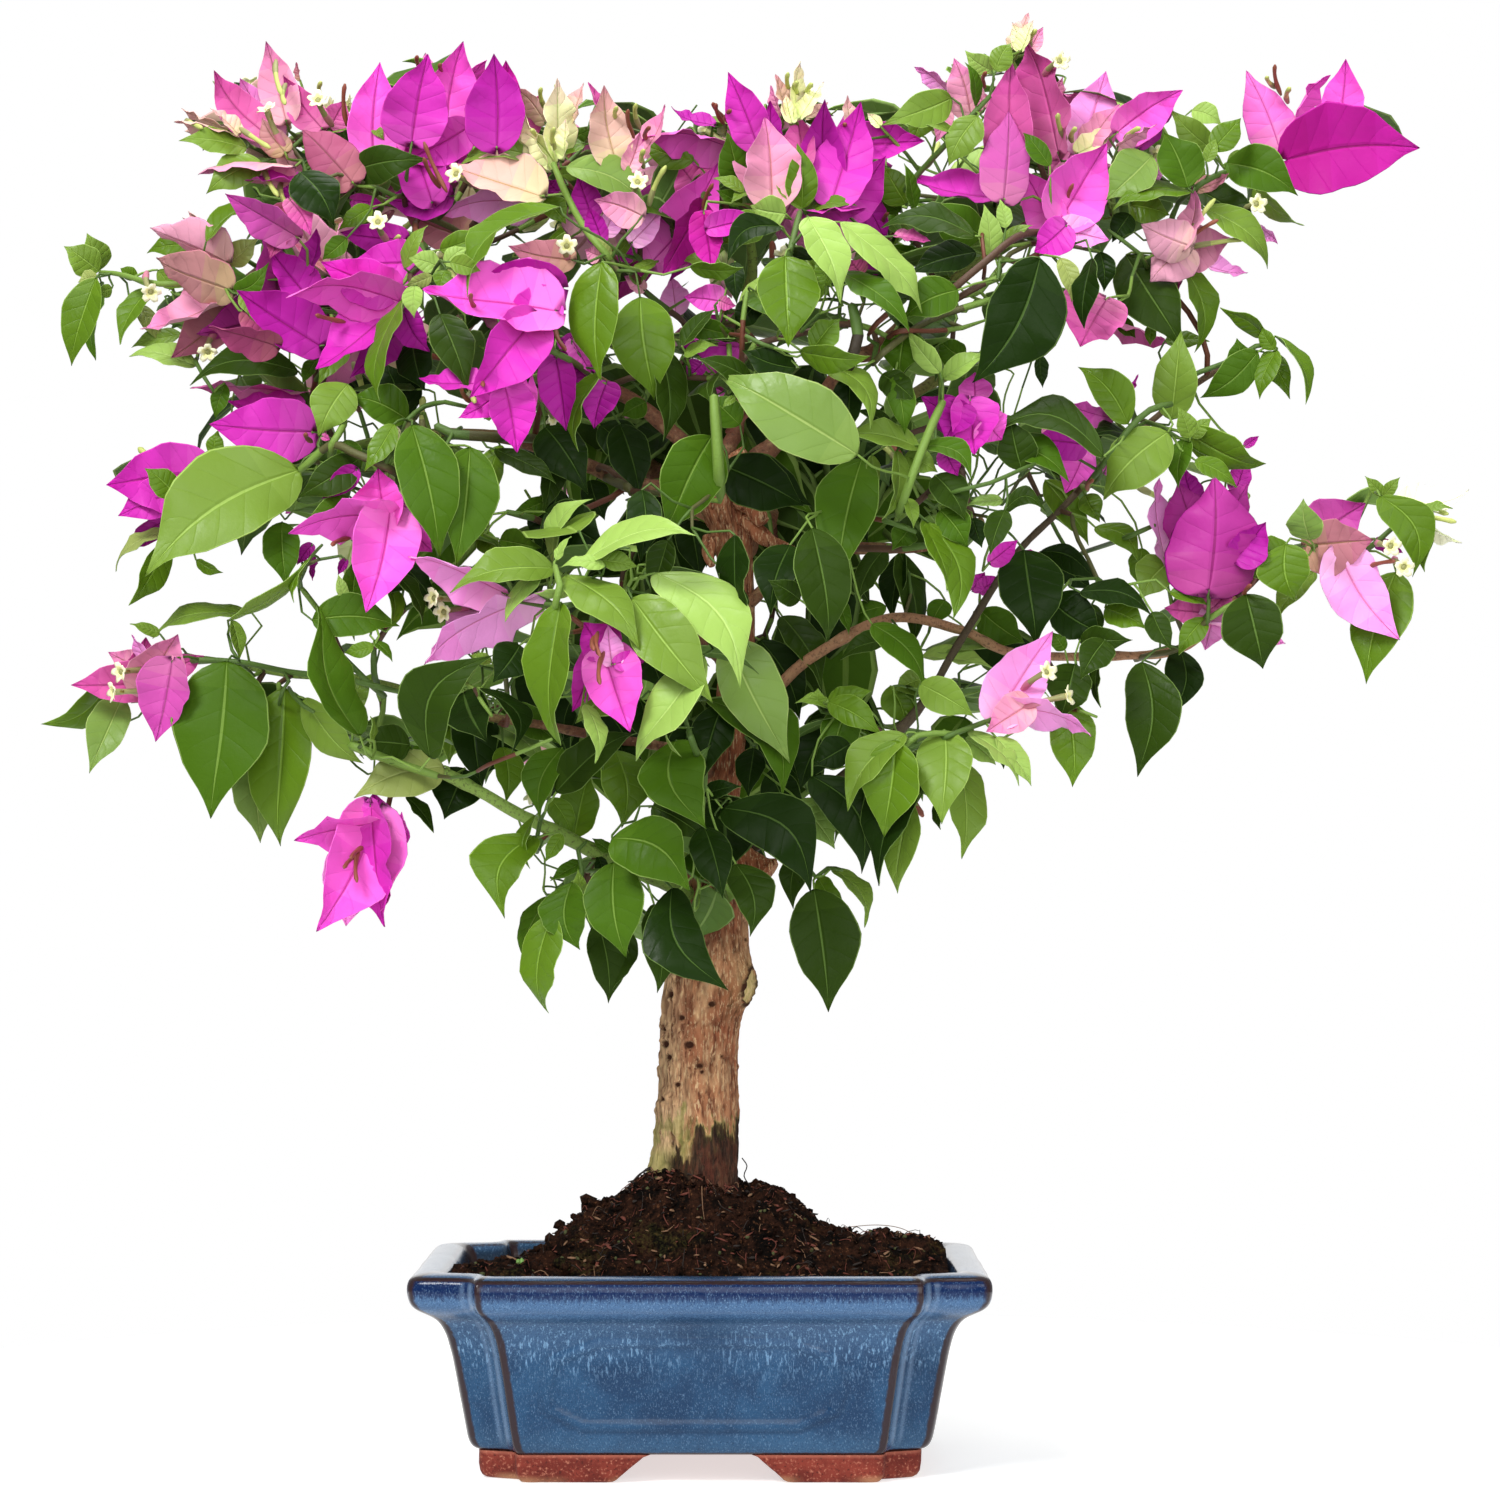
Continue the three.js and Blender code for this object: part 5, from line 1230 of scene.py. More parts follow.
def leaf_slots(cls):
    a = LEAF_SLOTS[cls]
    u = UNDER_SLOTS["a" if cls in "dkmg" else "b"]
    return [a, a + 2, a + 3, a + 1, a + 1, a, a, u, u + 2, u + 3, u + 1, u, u, u]


def bract_slots(cls):
    a = BRACT_SLOTS[cls]
    return [a, a + 3, a + 4, a + 1, a + 2, a + 8, a + 9, a + 5, a + 7, a + 4, a + 6, a + 5, a + 10, a + 5]


def star(bag, at, out, r, open_=1.0, tone="star"):
    """The small five-lobed face of a flower tube: a shallow saucer with notched lobes."""
    out = unit(out)
    a = unit(np.cross(out, [0.31, 0.2, 0.93]))
    b = np.cross(out, a)
    n = 30
    t = 2 * np.pi * np.arange(n) / n
    lobe = 0.5 + 0.5 * np.cos(5 * t)
    rim = r * (0.58 + 0.42 * lobe**0.6 - 0.10 * np.exp(-(((np.mod(t + np.pi / 5, 2 * np.pi / 5) - np.pi / 5) / 0.13) ** 2)))
    rows = []
    prof = [(0.16, -0.9), (0.24, -0.10), (0.6, 0.16), (1.0, 0.22 * open_ + 0.5 * (1 - open_))]
    for w, h in prof:
        rr = (rim if w > 0.5 else np.full(n, r * 0.9)) * w * (open_ if w > 0.3 else 1)
        hh = r * h + (0.12 * r * np.sin(5 * t + 0.8) * w if w > 0.5 else 0)
        rows.append(at + out * np.reshape(hh, (-1, 1)) * np.ones((n, 1)) + rr[:, None] * (np.cos(t)[:, None] * a + np.sin(t)[:, None] * b))
    up = np.array(rows)
    dn = up - out * 0.22
    v = np.concatenate([up.reshape(-1, 3), dn.reshape(-1, 3), [at - out * r * 0.8]])
    R_ = len(prof)
    q1 = grid_quads(R_, n, wrap=True)
    i, j = np.arange(n), (np.arange(n) + 1) % n
    top, bot = (R_ - 1) * n, (2 * R_ - 1) * n
    edge = np.stack([top + i, top + j, bot + j, bot + i], -1)
    c0 = R_ * n
    inner = np.stack([j, i, c0 + i, c0 + j], -1)
    q = np.vstack([q1, (q1 + R_ * n)[:, ::-1], edge, inner])
    s0, s1, th_ = TUBE_SLOTS[tone], TUBE_SLOTS["star_edge"], TUBE_SLOTS["throat"]
    qm = np.concatenate([np.repeat([th_, s0, s1], n), np.repeat([th_, s0, s1], n), np.full(n, s1), np.full(n, th_)])
    bag.add(v[:-1], q, qm)


def flower_tube(bag, a, b, state="open", r=1.25):
    """A flower tube from a to b: swollen at its foot, with a star when open."""
    a, b = np.asarray(a, float), np.asarray(b, float)
    L = np.linalg.norm(b - a)
    d = unit(b - a)
    side = unit(np.cross(d, [0.2, 0.1, 1.0])) * L * 0.05
    p = catmull(np.array([a, a + d * L * 0.33 + side, a + d * L * 0.7 + side, b]), max(1.2, L / 11))
    s = np.linspace(0, 1, len(p))
    rad = r * np.interp(s, [0, 0.12, 0.32, 0.5, 0.72, 0.92, 1.0], [0.5, 0.95, 1.1, 0.82, 0.78, 0.95, 0.9 if state == "open" else 0.45])
    tones = {"open": ("tube_pink", "tube"), "old": ("old", "old"), "bud": ("tube", "young"), "green": ("tube", "young")}[state]
    m = [TUBE_SLOTS[tones[0] if x < 0.45 else tones[1]] for x in s]
    ridge = lambda path, t, rr: rr * (1 + 0.07 * np.cos(5 * t))
    tube(bag, p, rad, np.array(m), sides=10, bump=ridge, tip=0.5)
    if state == "open":
        star(bag, b + d * 0.2, d, 4.1 * r / 1.25)


# ---------------------------------------------------------------- skeleton that carries it all
class Skeleton:
    def __init__(self):
        self.pos, self.parent, self.flow, self.path_len, self.open, self.floor, self.dir = [], [], [], [], [], [], []
        self.paths = []
        self.arr = np.zeros((0, 3))
        self.dirty = True

    def add(self, p, parent, open_=True, floor=0.0):
        self.pos.append(np.asarray(p, float))
        self.parent.append(parent)
        self.flow.append(0.0)
        self.path_len.append(0.0 if parent < 0 else self.path_len[parent] + float(np.linalg.norm(p - self.pos[parent])))
        self.dir.append(np.zeros(3) if parent < 0 else unit(p - self.pos[parent]))
        self.open.append(open_)
        self.floor.append(floor)
        self.dirty = True
        return len(self.pos) - 1

    def chain(self, line, radii):
        k = -1
        for p, r in zip(line, radii):
            k = self.add(p, k, True, r)
            self.path_len[k] *= 0.5

    def best(self, q, d, behind=0.0):
        if self.dirty:
            self.arr = np.array(self.pos)
            self.len_arr = np.array(self.path_len)
            self.open_arr = np.array(self.open)
            self.dirty = False
        w = q - self.arr
        dist = np.linalg.norm(w, axis=1)
        # the stem should reach its leaf from behind, and not from the viewer's side
        align = (w @ d) / np.maximum(dist, 1e-6)
        cost = dist * (1.25 - 0.25 * align) + 0.15 * self.len_arr + 0.6 * np.maximum(0, q[1] - self.arr[:, 1]) + np.where(self.open_arr, 0, 1e6) + np.where(dist < 3, 1e5, 0)
        return int(np.argmin(cost))

    def grow(self, q, d, flow, start=None, petiole=9.0, tone=None, floor=0.0, wiggle=0.06, r=None, straight=False):
        """A stem to q, arriving along d; its nodes may carry later stems, but for the petiole."""
        q, d = np.asarray(q, float), unit(d)
        k = self.best(q, d) if start is None else start
        p = self.pos[k]
        L = float(np.linalg.norm(q - p))
        t0 = unit(unit(q - p) + 0.5 * self.dir[k] + np.array([0, 0, 0.12])) * L
        t1 = d * min(L, 34.0) * 0.9
        if straight:
            t0 = q - p
        n = max(3, int(L / 6.5))
        ids = [k]
        w1, w2 = rng.normal(0, wiggle, 3), rng.normal(0, wiggle * 0.6, 3)
        for i in range(1, n + 1):
            s = i / n
            h00, h10, h01, h11 = 2 * s**3 - 3 * s**2 + 1, s**3 - 2 * s**2 + s, -2 * s**3 + 3 * s**2, s**3 - s**2
            x = h00 * p + h10 * t0 + h01 * q + h11 * t1
            x = x + (w1 * math.sin(math.pi * s) + w2 * math.sin(2 * math.pi * s)) * min(L, 60) * (1 if i < n else 0)
            far = L * (1 - s) > petiole
            ids.append(self.add(x, ids[-1], far, floor if far else 0.0))
        self.pos[-1] = q
        self.flow[ids[-1]] += flow
        self.paths.append((ids, tone, L > petiole * 1.6))
        return ids

    def line(self, pts_, flow=2.0, tone=None, floor=0.6):
        """A stem drawn through given points, joined to the nearest wood."""
        pts_ = [np.asarray(p, float) for p in pts_]
        start = pts_[0] + np.array([0, 16.0, 0]) - 6 * unit(pts_[1] - pts_[0])
        back = self.grow(start, unit(unit(pts_[1] - pts_[0]) + [0, -1.6, 0]), flow, petiole=0.0, tone=None, floor=min(floor, 0.6), wiggle=0.04)
        ids = [back[-1]]
        c_ = catmull(np.array([self.pos[back[-1]]] + pts_), 6.0)
        for p in c_[1:]:
            ids.append(self.add(p, ids[-1], True, floor))
        self.flow[ids[-1]] += flow
        self.paths.append((ids, tone, True))
        return ids

    def radii(self):
        f = np.array(self.flow)
        for i in range(len(f) - 1, -1, -1):
            if self.parent[i] >= 0:
                f[self.parent[i]] += f[i]
        r = 0.42 * np.maximum(f, 0.5) ** 0.38
        r = np.minimum(r, 1.12)
        return np.maximum(r, np.array(self.floor))

    def draw(self, bag):
        r = self.radii()
        P = np.array(self.pos)
        for ids, tone, long_ in self.paths:
            rr = r[ids].copy()
            rr[0] = min(rr[0], rr[1] * 1.25)
            rr[-1] = max(0.36, rr[-1] * 0.8)
            m = []
            for j in range(len(ids) - 1):
                a = rr[j]
                late = j >= len(ids) - 3
                h = (ids[0] * 7919) % 10 / 10
                if tone is not None and not (late and tone not in ("green", "fresh")):
                    m.append(TWIG[tone])
                elif a < 0.66 or late:
                    m.append(TWIG["fresh"] if h < 0.6 else TWIG["green"])
                elif a < 0.92:
                    m.append(TWIG["green"] if h < 0.7 else TWIG["olive"])
                elif a < 1.08:
                    m.append(TWIG["olive"] if h < 0.7 else TWIG["red"])
                else:
                    m.append(TWIG["brown"] if h < 0.7 else TWIG["red"])
            p = P[ids]
            # the stem as a tube through its nodes
            tube(bag, p, rr, np.array(m), sides=6 if long_ else 5, tip=0.6)


TWIG_TONES = {"fresh": (116, 148, 58), "green": (78, 108, 38), "olive": (84, 84, 42), "red": (104, 54, 34), "brown": (84, 58, 40), "dark": (50, 40, 26)}
TWIG = {k: i for i, k in enumerate(TWIG_TONES)}
twig_mats = [plain("twig_" + k, srgb(*c), 0.6, 0.5, 1100) for k, c in TWIG_TONES.items()]
SK = Skeleton()
SK.chain(np.stack([tx[tz > 205][::3], 0 * tx[tz > 205][::3], tz[tz > 205][::3]], 1), tr[tz > 205][::3])
for line_, r_ in zip(LIMB_NODES, LIMB_R):
    SK.chain(line_, r_)


# ---------------------------------------------------------------- what is seen from the front, placed one by one
# Lengths here are pixels of the 1500 pixel frame. A leaf: base x, y, tip x, y, width seen, tone, layer (0 in front,
# then further back), and for some two more: a number that is not read, then a sideways bow.
# TABLES BEGIN
LEAVES = [
    (905, 330, 900, 378, 44, "m", 2), (890, 686, 905, 726, 34, "n", 2), (500, 445, 494, 508, 28, "n", 2), (138, 305, 162, 345, 18, "g", 2), (1130, 205, 1170, 215, 30, "n", 2), (735, 262, 737, 304, 22, "d", 2), (1264, 352, 1290, 398, 26, "n", 1), (1058, 560, 1092, 590, 30, "d", 2), (478, 535, 503, 552, 22, "n", 2), (1192, 110, 1222, 125, 22, "l", 1), (1142, 548, 1140, 588, 24, "n", 2),
    (99, 271, 64, 246, 32, "f", 0), (100, 270, 87, 233, 32, "f", 1), (96, 278, 71, 366, 36, "n", 0), (101, 282, 94, 360, 20, "m", 1), (98, 277, 78, 282, 16, "g", 0), (137, 278, 120, 268, 14, "n", 1),
    (112, 288, 96, 292, 14, "f", 1), (150, 288, 119, 344, 22, "n", 1), (182, 334, 131, 346, 18, "f", 2), (196, 366, 129, 356, 20, "l", 1), (205, 244, 146, 252, 24, "n", 1), (206, 242, 268, 210, 15, "n", 0, 0.3, -0.16),
    (228, 264, 258, 238, 26, "g", 2), (234, 291, 269, 262, 20, "m", 1, 0.4, 0.2), (247, 148, 179, 140, 26, "f", 0), (262, 162, 206, 193, 36, "f", 0), (300, 172, 334, 226, 48, "d", 0), (352, 171, 428, 159, 38, "k", 0),
    (372, 207, 338, 230, 20, "n", 1), (347, 238, 322, 260, 20, "m", 1), (298, 371, 190, 382, 34, "k", 0), (241, 294, 262, 329, 16, "f", 1), (348, 350, 318, 385, 22, "n", 1), (316, 360, 302, 384, 14, "m", 1),
    (205, 268, 168, 290, 18, "n", 2), (158, 270, 175, 292, 16, "f", 2), (548, 163, 458, 164, 26, "f", 0, 0.35, 0.12), (566, 167, 648, 209, 36, "h", 0, 0.3, -0.12), (560, 207, 467, 297, 25, "n", 0, 0.35, 0.22),
    (694, 160, 640, 142, 26, "n", 2), (602, 262, 600, 381, 50, "n", 0), (640, 297, 655, 400, 64, "n", 0), (440, 314, 468, 392, 42, "k", 1), (440, 268, 408, 258, 22, "l", 0), (445, 265, 468, 247, 18, "l", 0),
    (432, 276, 404, 286, 14, "g", 0), (450, 262, 481, 271, 20, "f", 0), (446, 270, 440, 292, 18, "n", 0), (415, 286, 414, 318, 20, "l", 0), (404, 268, 428, 225, 16, "f", 0), (440, 250, 490, 232, 24, "n", 1),
    (402, 300, 377, 402, 22, "n", 0), (412, 338, 424, 390, 40, "d", 2), (722, 268, 680, 260, 16, "f", 1), (682, 346, 716, 308, 16, "k", 0), (684, 356, 718, 345, 12, "f", 1), (656, 262, 628, 273, 10, "f", 0),
    (530, 346, 528, 384, 18, "d", 1), (566, 142, 592, 130, 20, "m", 3), (545, 200, 566, 224, 24, "n", 1), (560, 175, 585, 165, 16, "f", 1), (610, 262, 592, 235, 12, "g", 1), (618, 255, 634, 236, 12, "f", 1),
    (385, 165, 372, 190, 16, "g", 2), (372, 128, 384, 140, 10, "f", 1), (545, 345, 520, 372, 12, "d", 2), (742, 189, 727, 131, 34, "m", 1), (744, 192, 713, 178, 12, "f", 0), (742, 204, 716, 190, 16, "m", 1),
    (762, 187, 730, 203, 12, "f", 0), (786, 214, 750, 206, 34, "l", 0), (780, 226, 727, 263, 28, "d", 0, 0.35, 0.2), (764, 216, 722, 244, 34, "n", 1), (785, 256, 789, 346, 62, "n", 0), (808, 217, 841, 303, 40, "l", 0),
    (840, 222, 924, 312, 32, "l", 0), (802, 209, 798, 143, 32, "n", 0), (802, 209, 769, 174, 16, "f", 0), (803, 211, 857, 205, 15, "n", 0), (806, 122, 838, 110, 8, "n", 1), (952, 98, 882, 125, 36, "f", 0),
    (926, 108, 912, 143, 26, "n", 2), (978, 116, 948, 166, 34, "f", 0), (955, 134, 921, 124, 10, "f", 0), (992, 71, 965, 51, 22, "l", 0), (996, 71, 1011, 43, 24, "f", 0), (1003, 70, 977, 76, 8, "f", 1),
    (976, 106, 966, 62, 12, "m", 0), (906, 204, 882, 164, 34, "n", 1), (915, 208, 906, 163, 14, "m", 0), (900, 212, 876, 194, 20, "m", 1), (983, 236, 919, 204, 42, "m", 1), (975, 236, 881, 226, 28, "k", 0, 0.3, 0.12),
    (976, 252, 909, 273, 32, "d", 1), (921, 255, 885, 244, 18, "m", 1), (958, 290, 903, 318, 42, "m", 0), (842, 272, 911, 329, 28, "m", 0), (870, 276, 892, 298, 22, "d", 2), (802, 300, 827, 275, 26, "n", 1),
    (690, 267, 744, 268, 18, "n", 1), (690, 325, 736, 336, 24, "m", 2), (796, 368, 742, 350, 32, "d", 1), (752, 380, 698, 358, 24, "k", 0), (800, 352, 870, 358, 28, "n", 0), (812, 350, 840, 318, 30, "n", 1),
    (814, 360, 872, 428, 26, "f", 0, 0.3, -0.18), (940, 373, 908, 330, 22, "l", 0), (943, 378, 991, 354, 20, "l", 0), (964, 358, 938, 338, 28, "m", 2), (882, 374, 916, 402, 30, "k", 1), (990, 256, 984, 204, 24, "l", 0),
    (1006, 228, 1000, 199, 16, "l", 0), (992, 254, 1032, 224, 14, "f", 1), (1040, 258, 973, 383, 78, "d", 0, 0.3, -0.08), (1040, 355, 1043, 388, 14, "d", 1), (830, 285, 815, 262, 22, "n", 1), (760, 300, 735, 330, 26, "d", 3),
    (1050, 166, 1023, 132, 20, "m", 0), (1152, 156, 1106, 200, 46, "h", 0), (1188, 188, 1164, 132, 46, "m", 0), (1212, 149, 1170, 109, 28, "f", 1), (1212, 150, 1241, 118, 28, "n", 0), (1206, 162, 1216, 138, 14, "f", 0),
    (1226, 163, 1298, 195, 46, "m", 0), (1250, 184, 1304, 226, 18, "f", 1), (1205, 208, 1270, 267, 28, "f", 0), (1195, 188, 1259, 240, 34, "k", 1), (1190, 192, 1112, 208, 22, "n", 0), (1152, 182, 1118, 197, 14, "f", 0),
    (1130, 214, 1112, 242, 26, "d", 1), (1126, 255, 1185, 351, 58, "k", 0), (1182, 262, 1198, 352, 26, "n", 1), (1165, 341, 1210, 340, 16, "n", 1), (1171, 420, 1181, 330, 44, "f", 0), (1128, 424, 1078, 366, 38, "n", 0, 0.3, 0.08),
    (1104, 456, 984, 437, 34, "k", 0, 0.3, 0.34), (1022, 470, 1010, 418, 40, "k", 1), (1264, 336, 1219, 309, 17, "n", 0, 0.3, 0.2), (1274, 350, 1262, 326, 16, "n", 0), (1275, 336, 1308, 403, 13, "n", 0),
    (1277, 350, 1259, 399, 22, "n", 0), (1258, 352, 1200, 398, 36, "m", 0), (1240, 372, 1237, 338, 26, "m", 0), (1060, 258, 1072, 302, 20, "g", 1), (1092, 258, 1084, 329, 26, "d", 0), (1100, 252, 1104, 292, 22, "d", 1),
    (1055, 250, 1100, 241, 14, "n", 1), (1120, 318, 1136, 338, 16, "m", 1), (1150, 325, 1150, 346, 12, "n", 1), (1240, 150, 1226, 180, 16, "f", 1), (1105, 430, 1085, 425, 22, "k", 2), (1205, 175, 1180, 160, 18, "f", 2),
    (348, 384, 318, 436, 46, "f", 0), (408, 420, 350, 397, 40, "m", 1), (408, 416, 384, 362, 50, "d", 2), (225, 384, 215, 419, 18, "m", 1), (300, 470, 145, 575, 92, "f", 0), (166, 545, 130, 606, 28, "n", 1),
    (166, 530, 114, 570, 12, "g", 1), (196, 560, 223, 573, 12, "n", 1), (176, 496, 145, 468, 28, "n", 0), (214, 456, 218, 430, 18, "n", 1), (282, 522, 286, 586, 38, "m", 1), (360, 458, 298, 498, 36, "k", 1),
    (350, 499, 300, 531, 30, "m", 1), (394, 424, 364, 471, 24, "n", 0), (412, 425, 440, 558, 62, "m", 0), (232, 620, 307, 562, 16, "f", 0, 0.3, -0.1), (232, 620, 240, 660, 15, "f", 0), (252, 613, 152, 636, 18, "f", 0, 0.3, -0.1),
    (160, 634, 130, 623, 12, "f", 0), (312, 556, 292, 602, 6, "n", 0), (312, 620, 400, 626, 44, "m", 1), (345, 600, 338, 574, 12, "l", 1), (352, 602, 356, 556, 26, "m", 2), (392, 626, 380, 576, 14, "n", 1, 0.3, 0.2),
    (390, 568, 423, 624, 15, "k", 1), (398, 560, 436, 618, 26, "d", 2), (374, 646, 344, 653, 16, "n", 0), (374, 640, 393, 661, 10, "m", 0), (345, 440, 360, 478, 26, "m", 2), (330, 395, 342, 425, 16, "n", 1),
    (470, 447, 456, 566, 58, "m", 0), (545, 427, 588, 494, 50, "d", 1), (602, 372, 576, 451, 20, "n", 0, 0.3, 0.1), (660, 345, 665, 441, 34, "k", 1), (646, 402, 621, 416, 22, "m", 1), (712, 436, 664, 534, 64, "m", 0),
    (620, 424, 640, 496, 42, "d", 2), (642, 490, 640, 562, 36, "d", 2), (495, 449, 557, 481, 22, "k", 1), (556, 454, 544, 512, 26, "k", 2), (546, 500, 512, 513, 20, "m", 2), (545, 512, 606, 548, 56, "d", 2),
    (500, 540, 541, 548, 26, "m", 2), (552, 562, 591, 498, 20, "l", 0, 0.3, -0.1), (556, 560, 571, 536, 8, "l", 0), (554, 568, 450, 592, 36, "f", 0), (582, 562, 696, 535, 28, "l", 0, 0.3, -0.12), (600, 560, 638, 567, 20, "f", 1),
    (605, 565, 561, 566, 14, "l", 0), (541, 570, 505, 622, 18, "l", 0), (566, 575, 640, 647, 44, "f", 0), (655, 573, 742, 683, 62, "l", 1, 0.2, -0.12), (632, 598, 713, 703, 60, "f", 0), (561, 602, 558, 746, 44, "n", 0),
    (572, 592, 534, 594, 10, "l", 0), (520, 645, 493, 682, 42, "d", 1), (480, 640, 462, 652, 16, "m", 2), (735, 396, 722, 408, 8, "f", 0), (600, 425, 640, 470, 40, "d", 3), (560, 490, 540, 560, 40, "d", 3),
    (690, 520, 700, 580, 40, "d", 3), (668, 540, 652, 598, 28, "k", 3), (590, 480, 605, 520, 30, "d", 3), (470, 600, 500, 650, 40, "d", 3), (858, 455, 718, 374, 74, "h", 0), (740, 425, 708, 395, 30, "m", 1),
    (732, 462, 812, 506, 50, "d", 1), (722, 465, 804, 506, 56, "d", 0), (862, 458, 837, 586, 62, "m", 0), (920, 448, 842, 436, 26, "f", 0), (897, 450, 882, 520, 18, "f", 0), (872, 455, 872, 495, 14, "f", 1),
    (850, 375, 850, 435, 30, "d", 1), (895, 375, 905, 435, 28, "m", 1), (895, 430, 856, 410, 14, "k", 1), (905, 455, 938, 472, 24, "f", 1), (922, 445, 972, 478, 22, "m", 0, 0.3, -0.25), (935, 475, 965, 520, 36, "k", 1),
    (908, 498, 914, 528, 14, "f", 0), (928, 522, 953, 620, 38, "n", 0, 0.3, -0.18), (924, 520, 950, 590, 20, "n", 0), (940, 510, 968, 548, 34, "m", 1), (972, 518, 982, 548, 20, "d", 1), (910, 528, 892, 550, 26, "m", 1),
    (812, 528, 828, 642, 56, "k", 0), (885, 548, 858, 602, 26, "k", 1), (902, 552, 892, 620, 26, "d", 1), (900, 552, 912, 650, 28, "k", 1), (945, 600, 930, 628, 24, "m", 1), (838, 598, 850, 634, 14, "m", 0),
    (886, 606, 838, 632, 24, "m", 1), (782, 616, 822, 690, 34, "k", 0), (800, 600, 768, 580, 26, "k", 1), (790, 545, 770, 615, 44, "d", 2), (735, 535, 748, 650, 28, "d", 1), (722, 570, 732, 640, 24, "d", 2),
    (728, 640, 790, 762, 62, "h", 0), (872, 624, 926, 688, 30, "m", 0), (892, 640, 840, 660, 20, "k", 1), (832, 707, 795, 703, 12, "f", 0), (818, 706, 818, 688, 16, "f", 0), (828, 700, 872, 690, 24, "n", 0),
    (828, 702, 882, 735, 30, "n", 0), (922, 678, 895, 690, 26, "f", 1), (920, 684, 974, 716, 36, "f", 0), (925, 650, 1005, 648, 16, "h", 1), (922, 656, 995, 668, 16, "p", 2), (980, 610, 1025, 643, 38, "m", 1),
    (1000, 440, 1070, 480, 30, "m", 1, 0.3, -0.05), (1168, 432, 1103, 500, 56, "f", 0), (1185, 432, 1266, 466, 36, "n", 0), (1195, 460, 1237, 486, 20, "n", 0), (1190, 438, 1178, 407, 20, "f", 0), (1192, 438, 1212, 418, 16, "f", 0),
    (1185, 438, 1178, 488, 24, "m", 0), (1045, 480, 1090, 545, 30, "n", 1), (1085, 495, 1100, 522, 24, "n", 1), (1095, 527, 1139, 562, 24, "n", 0, 0.3, -0.2), (1172, 560, 1140, 600, 40, "f", 1),
    (1310, 540, 1303, 499, 36, "h", 0), (1286, 544, 1295, 601, 52, "n", 0, 0.3, 0.12), (1292, 552, 1243, 556, 30, "n", 1), (1315, 572, 1275, 620, 26, "f", 1), (1246, 594, 1263, 669, 62, "k", 0),
    (1024, 550, 1037, 645, 66, "d", 0), (1040, 552, 1098, 582, 26, "d", 0, 0.3, -0.25), (1080, 592, 1152, 613, 26, "d", 0, 0.3, -0.15), (1105, 640, 1080, 680, 34, "k", 0), (1050, 600, 1103, 634, 46, "d", 1), (1092, 604, 1086, 655, 30, "k", 2), (1080, 640, 1133, 640, 26, "k", 0),
    (1105, 608, 1146, 628, 30, "n", 1), (1152, 612, 1172, 650, 26, "k", 0), (1205, 618, 1178, 655, 24, "n", 0), (1170, 592, 1208, 605, 16, "n", 0), (1142, 662, 1136, 777, 56, "k", 0, 0.3, -0.16),
    (1180, 650, 1167, 721, 38, "d", 0, 0.3, -0.18), (1075, 664, 1060, 720, 44, "k", 1), (1098, 660, 1100, 708, 10, "k", 1), (1065, 650, 1052, 632, 16, "m", 1), (1003, 512, 1047, 513, 20, "k", 0, 0.3, -0.35),
    (1005, 510, 990, 555, 26, "k", 0), (1003, 500, 965, 505, 12, "h", 1), (118, 664, 42, 725, 30, "n", 1, 0.3, -0.12), (122, 698, 89, 772, 40, "h", 1), (227, 661, 209, 818, 96, "m", 0, 0.3, -0.03),
    (285, 688, 277, 847, 64, "n", 1, 0.3, -0.04), (257, 742, 261, 843, 52, "h", 2), (360, 736, 322, 603, 40, "m", 0, 0.3, -0.32), (352, 718, 374, 672, 22, "f", 1), (304, 698, 362, 765, 34, "f", 1),
    (410, 745, 358, 742, 40, "k", 1), (371, 744, 371, 716, 7, "f", 0), (444, 766, 354, 797, 48, "g", 0, 0.3, 0.06), (430, 758, 494, 655, 58, "k", 0, 0.3, -0.24), (476, 700, 482, 792, 48, "d", 1), (464, 768, 444, 819, 52, "d", 1),
    (406, 796, 434, 833, 14, "k", 1), (492, 662, 470, 655, 12, "f", 1), (704, 655, 632, 759, 42, "l", 0, 0.3, -0.12), (708, 700, 783, 795, 50, "m", 0, 0.3, -0.24), (722, 705, 703, 780, 42, "d", 2),
    (676, 740, 707, 828, 66, "m", 0, 0.3, 0.24), (556, 792, 637, 731, 38, "k", 0), (574, 838, 590, 772, 42, "n", 1), (615, 750, 622, 828, 50, "n", 1), (620, 742, 634, 799, 32, "d", 1), (562, 748, 540, 818, 36, "m", 1, 0.3, 0.1),
    (550, 798, 572, 838, 24, "n", 1), (503, 747, 506, 803, 30, "n", 1), (478, 720, 546, 768, 30, "h", 2), (480, 688, 513, 752, 22, "d", 0, 0.3, -0.3), (512, 706, 562, 744, 30, "m", 1), (580, 700, 562, 742, 24, "d", 1),
    (586, 704, 597, 763, 20, "l", 0), (534, 836, 504, 917, 54, "n", 0, 0.3, 0.2), (537, 814, 530, 869, 13, "n", 0), (562, 834, 545, 862, 16, "n", 0), (582, 862, 550, 881, 14, "m", 1), (584, 898, 578, 869, 15, "f", 0),
    (572, 882, 579, 950, 48, "m", 0, 0.3, 0.14), (550, 896, 528, 967, 22, "m", 1), (552, 914, 546, 1014, 38, "n", 0), (614, 862, 626, 958, 60, "m", 0, 0.3, 0.04), (598, 922, 609, 1004, 40, "k", 1),
    (630, 932, 612, 990, 28, "k", 1), (612, 852, 592, 838, 12, "m", 1), (598, 856, 606, 882, 14, "d", 1), (654, 904, 658, 993, 38, "k", 1), (672, 888, 729, 990, 60, "d", 0, 0.3, 0.22), (612, 838, 690, 892, 64, "m", 0, 0.3, -0.2),
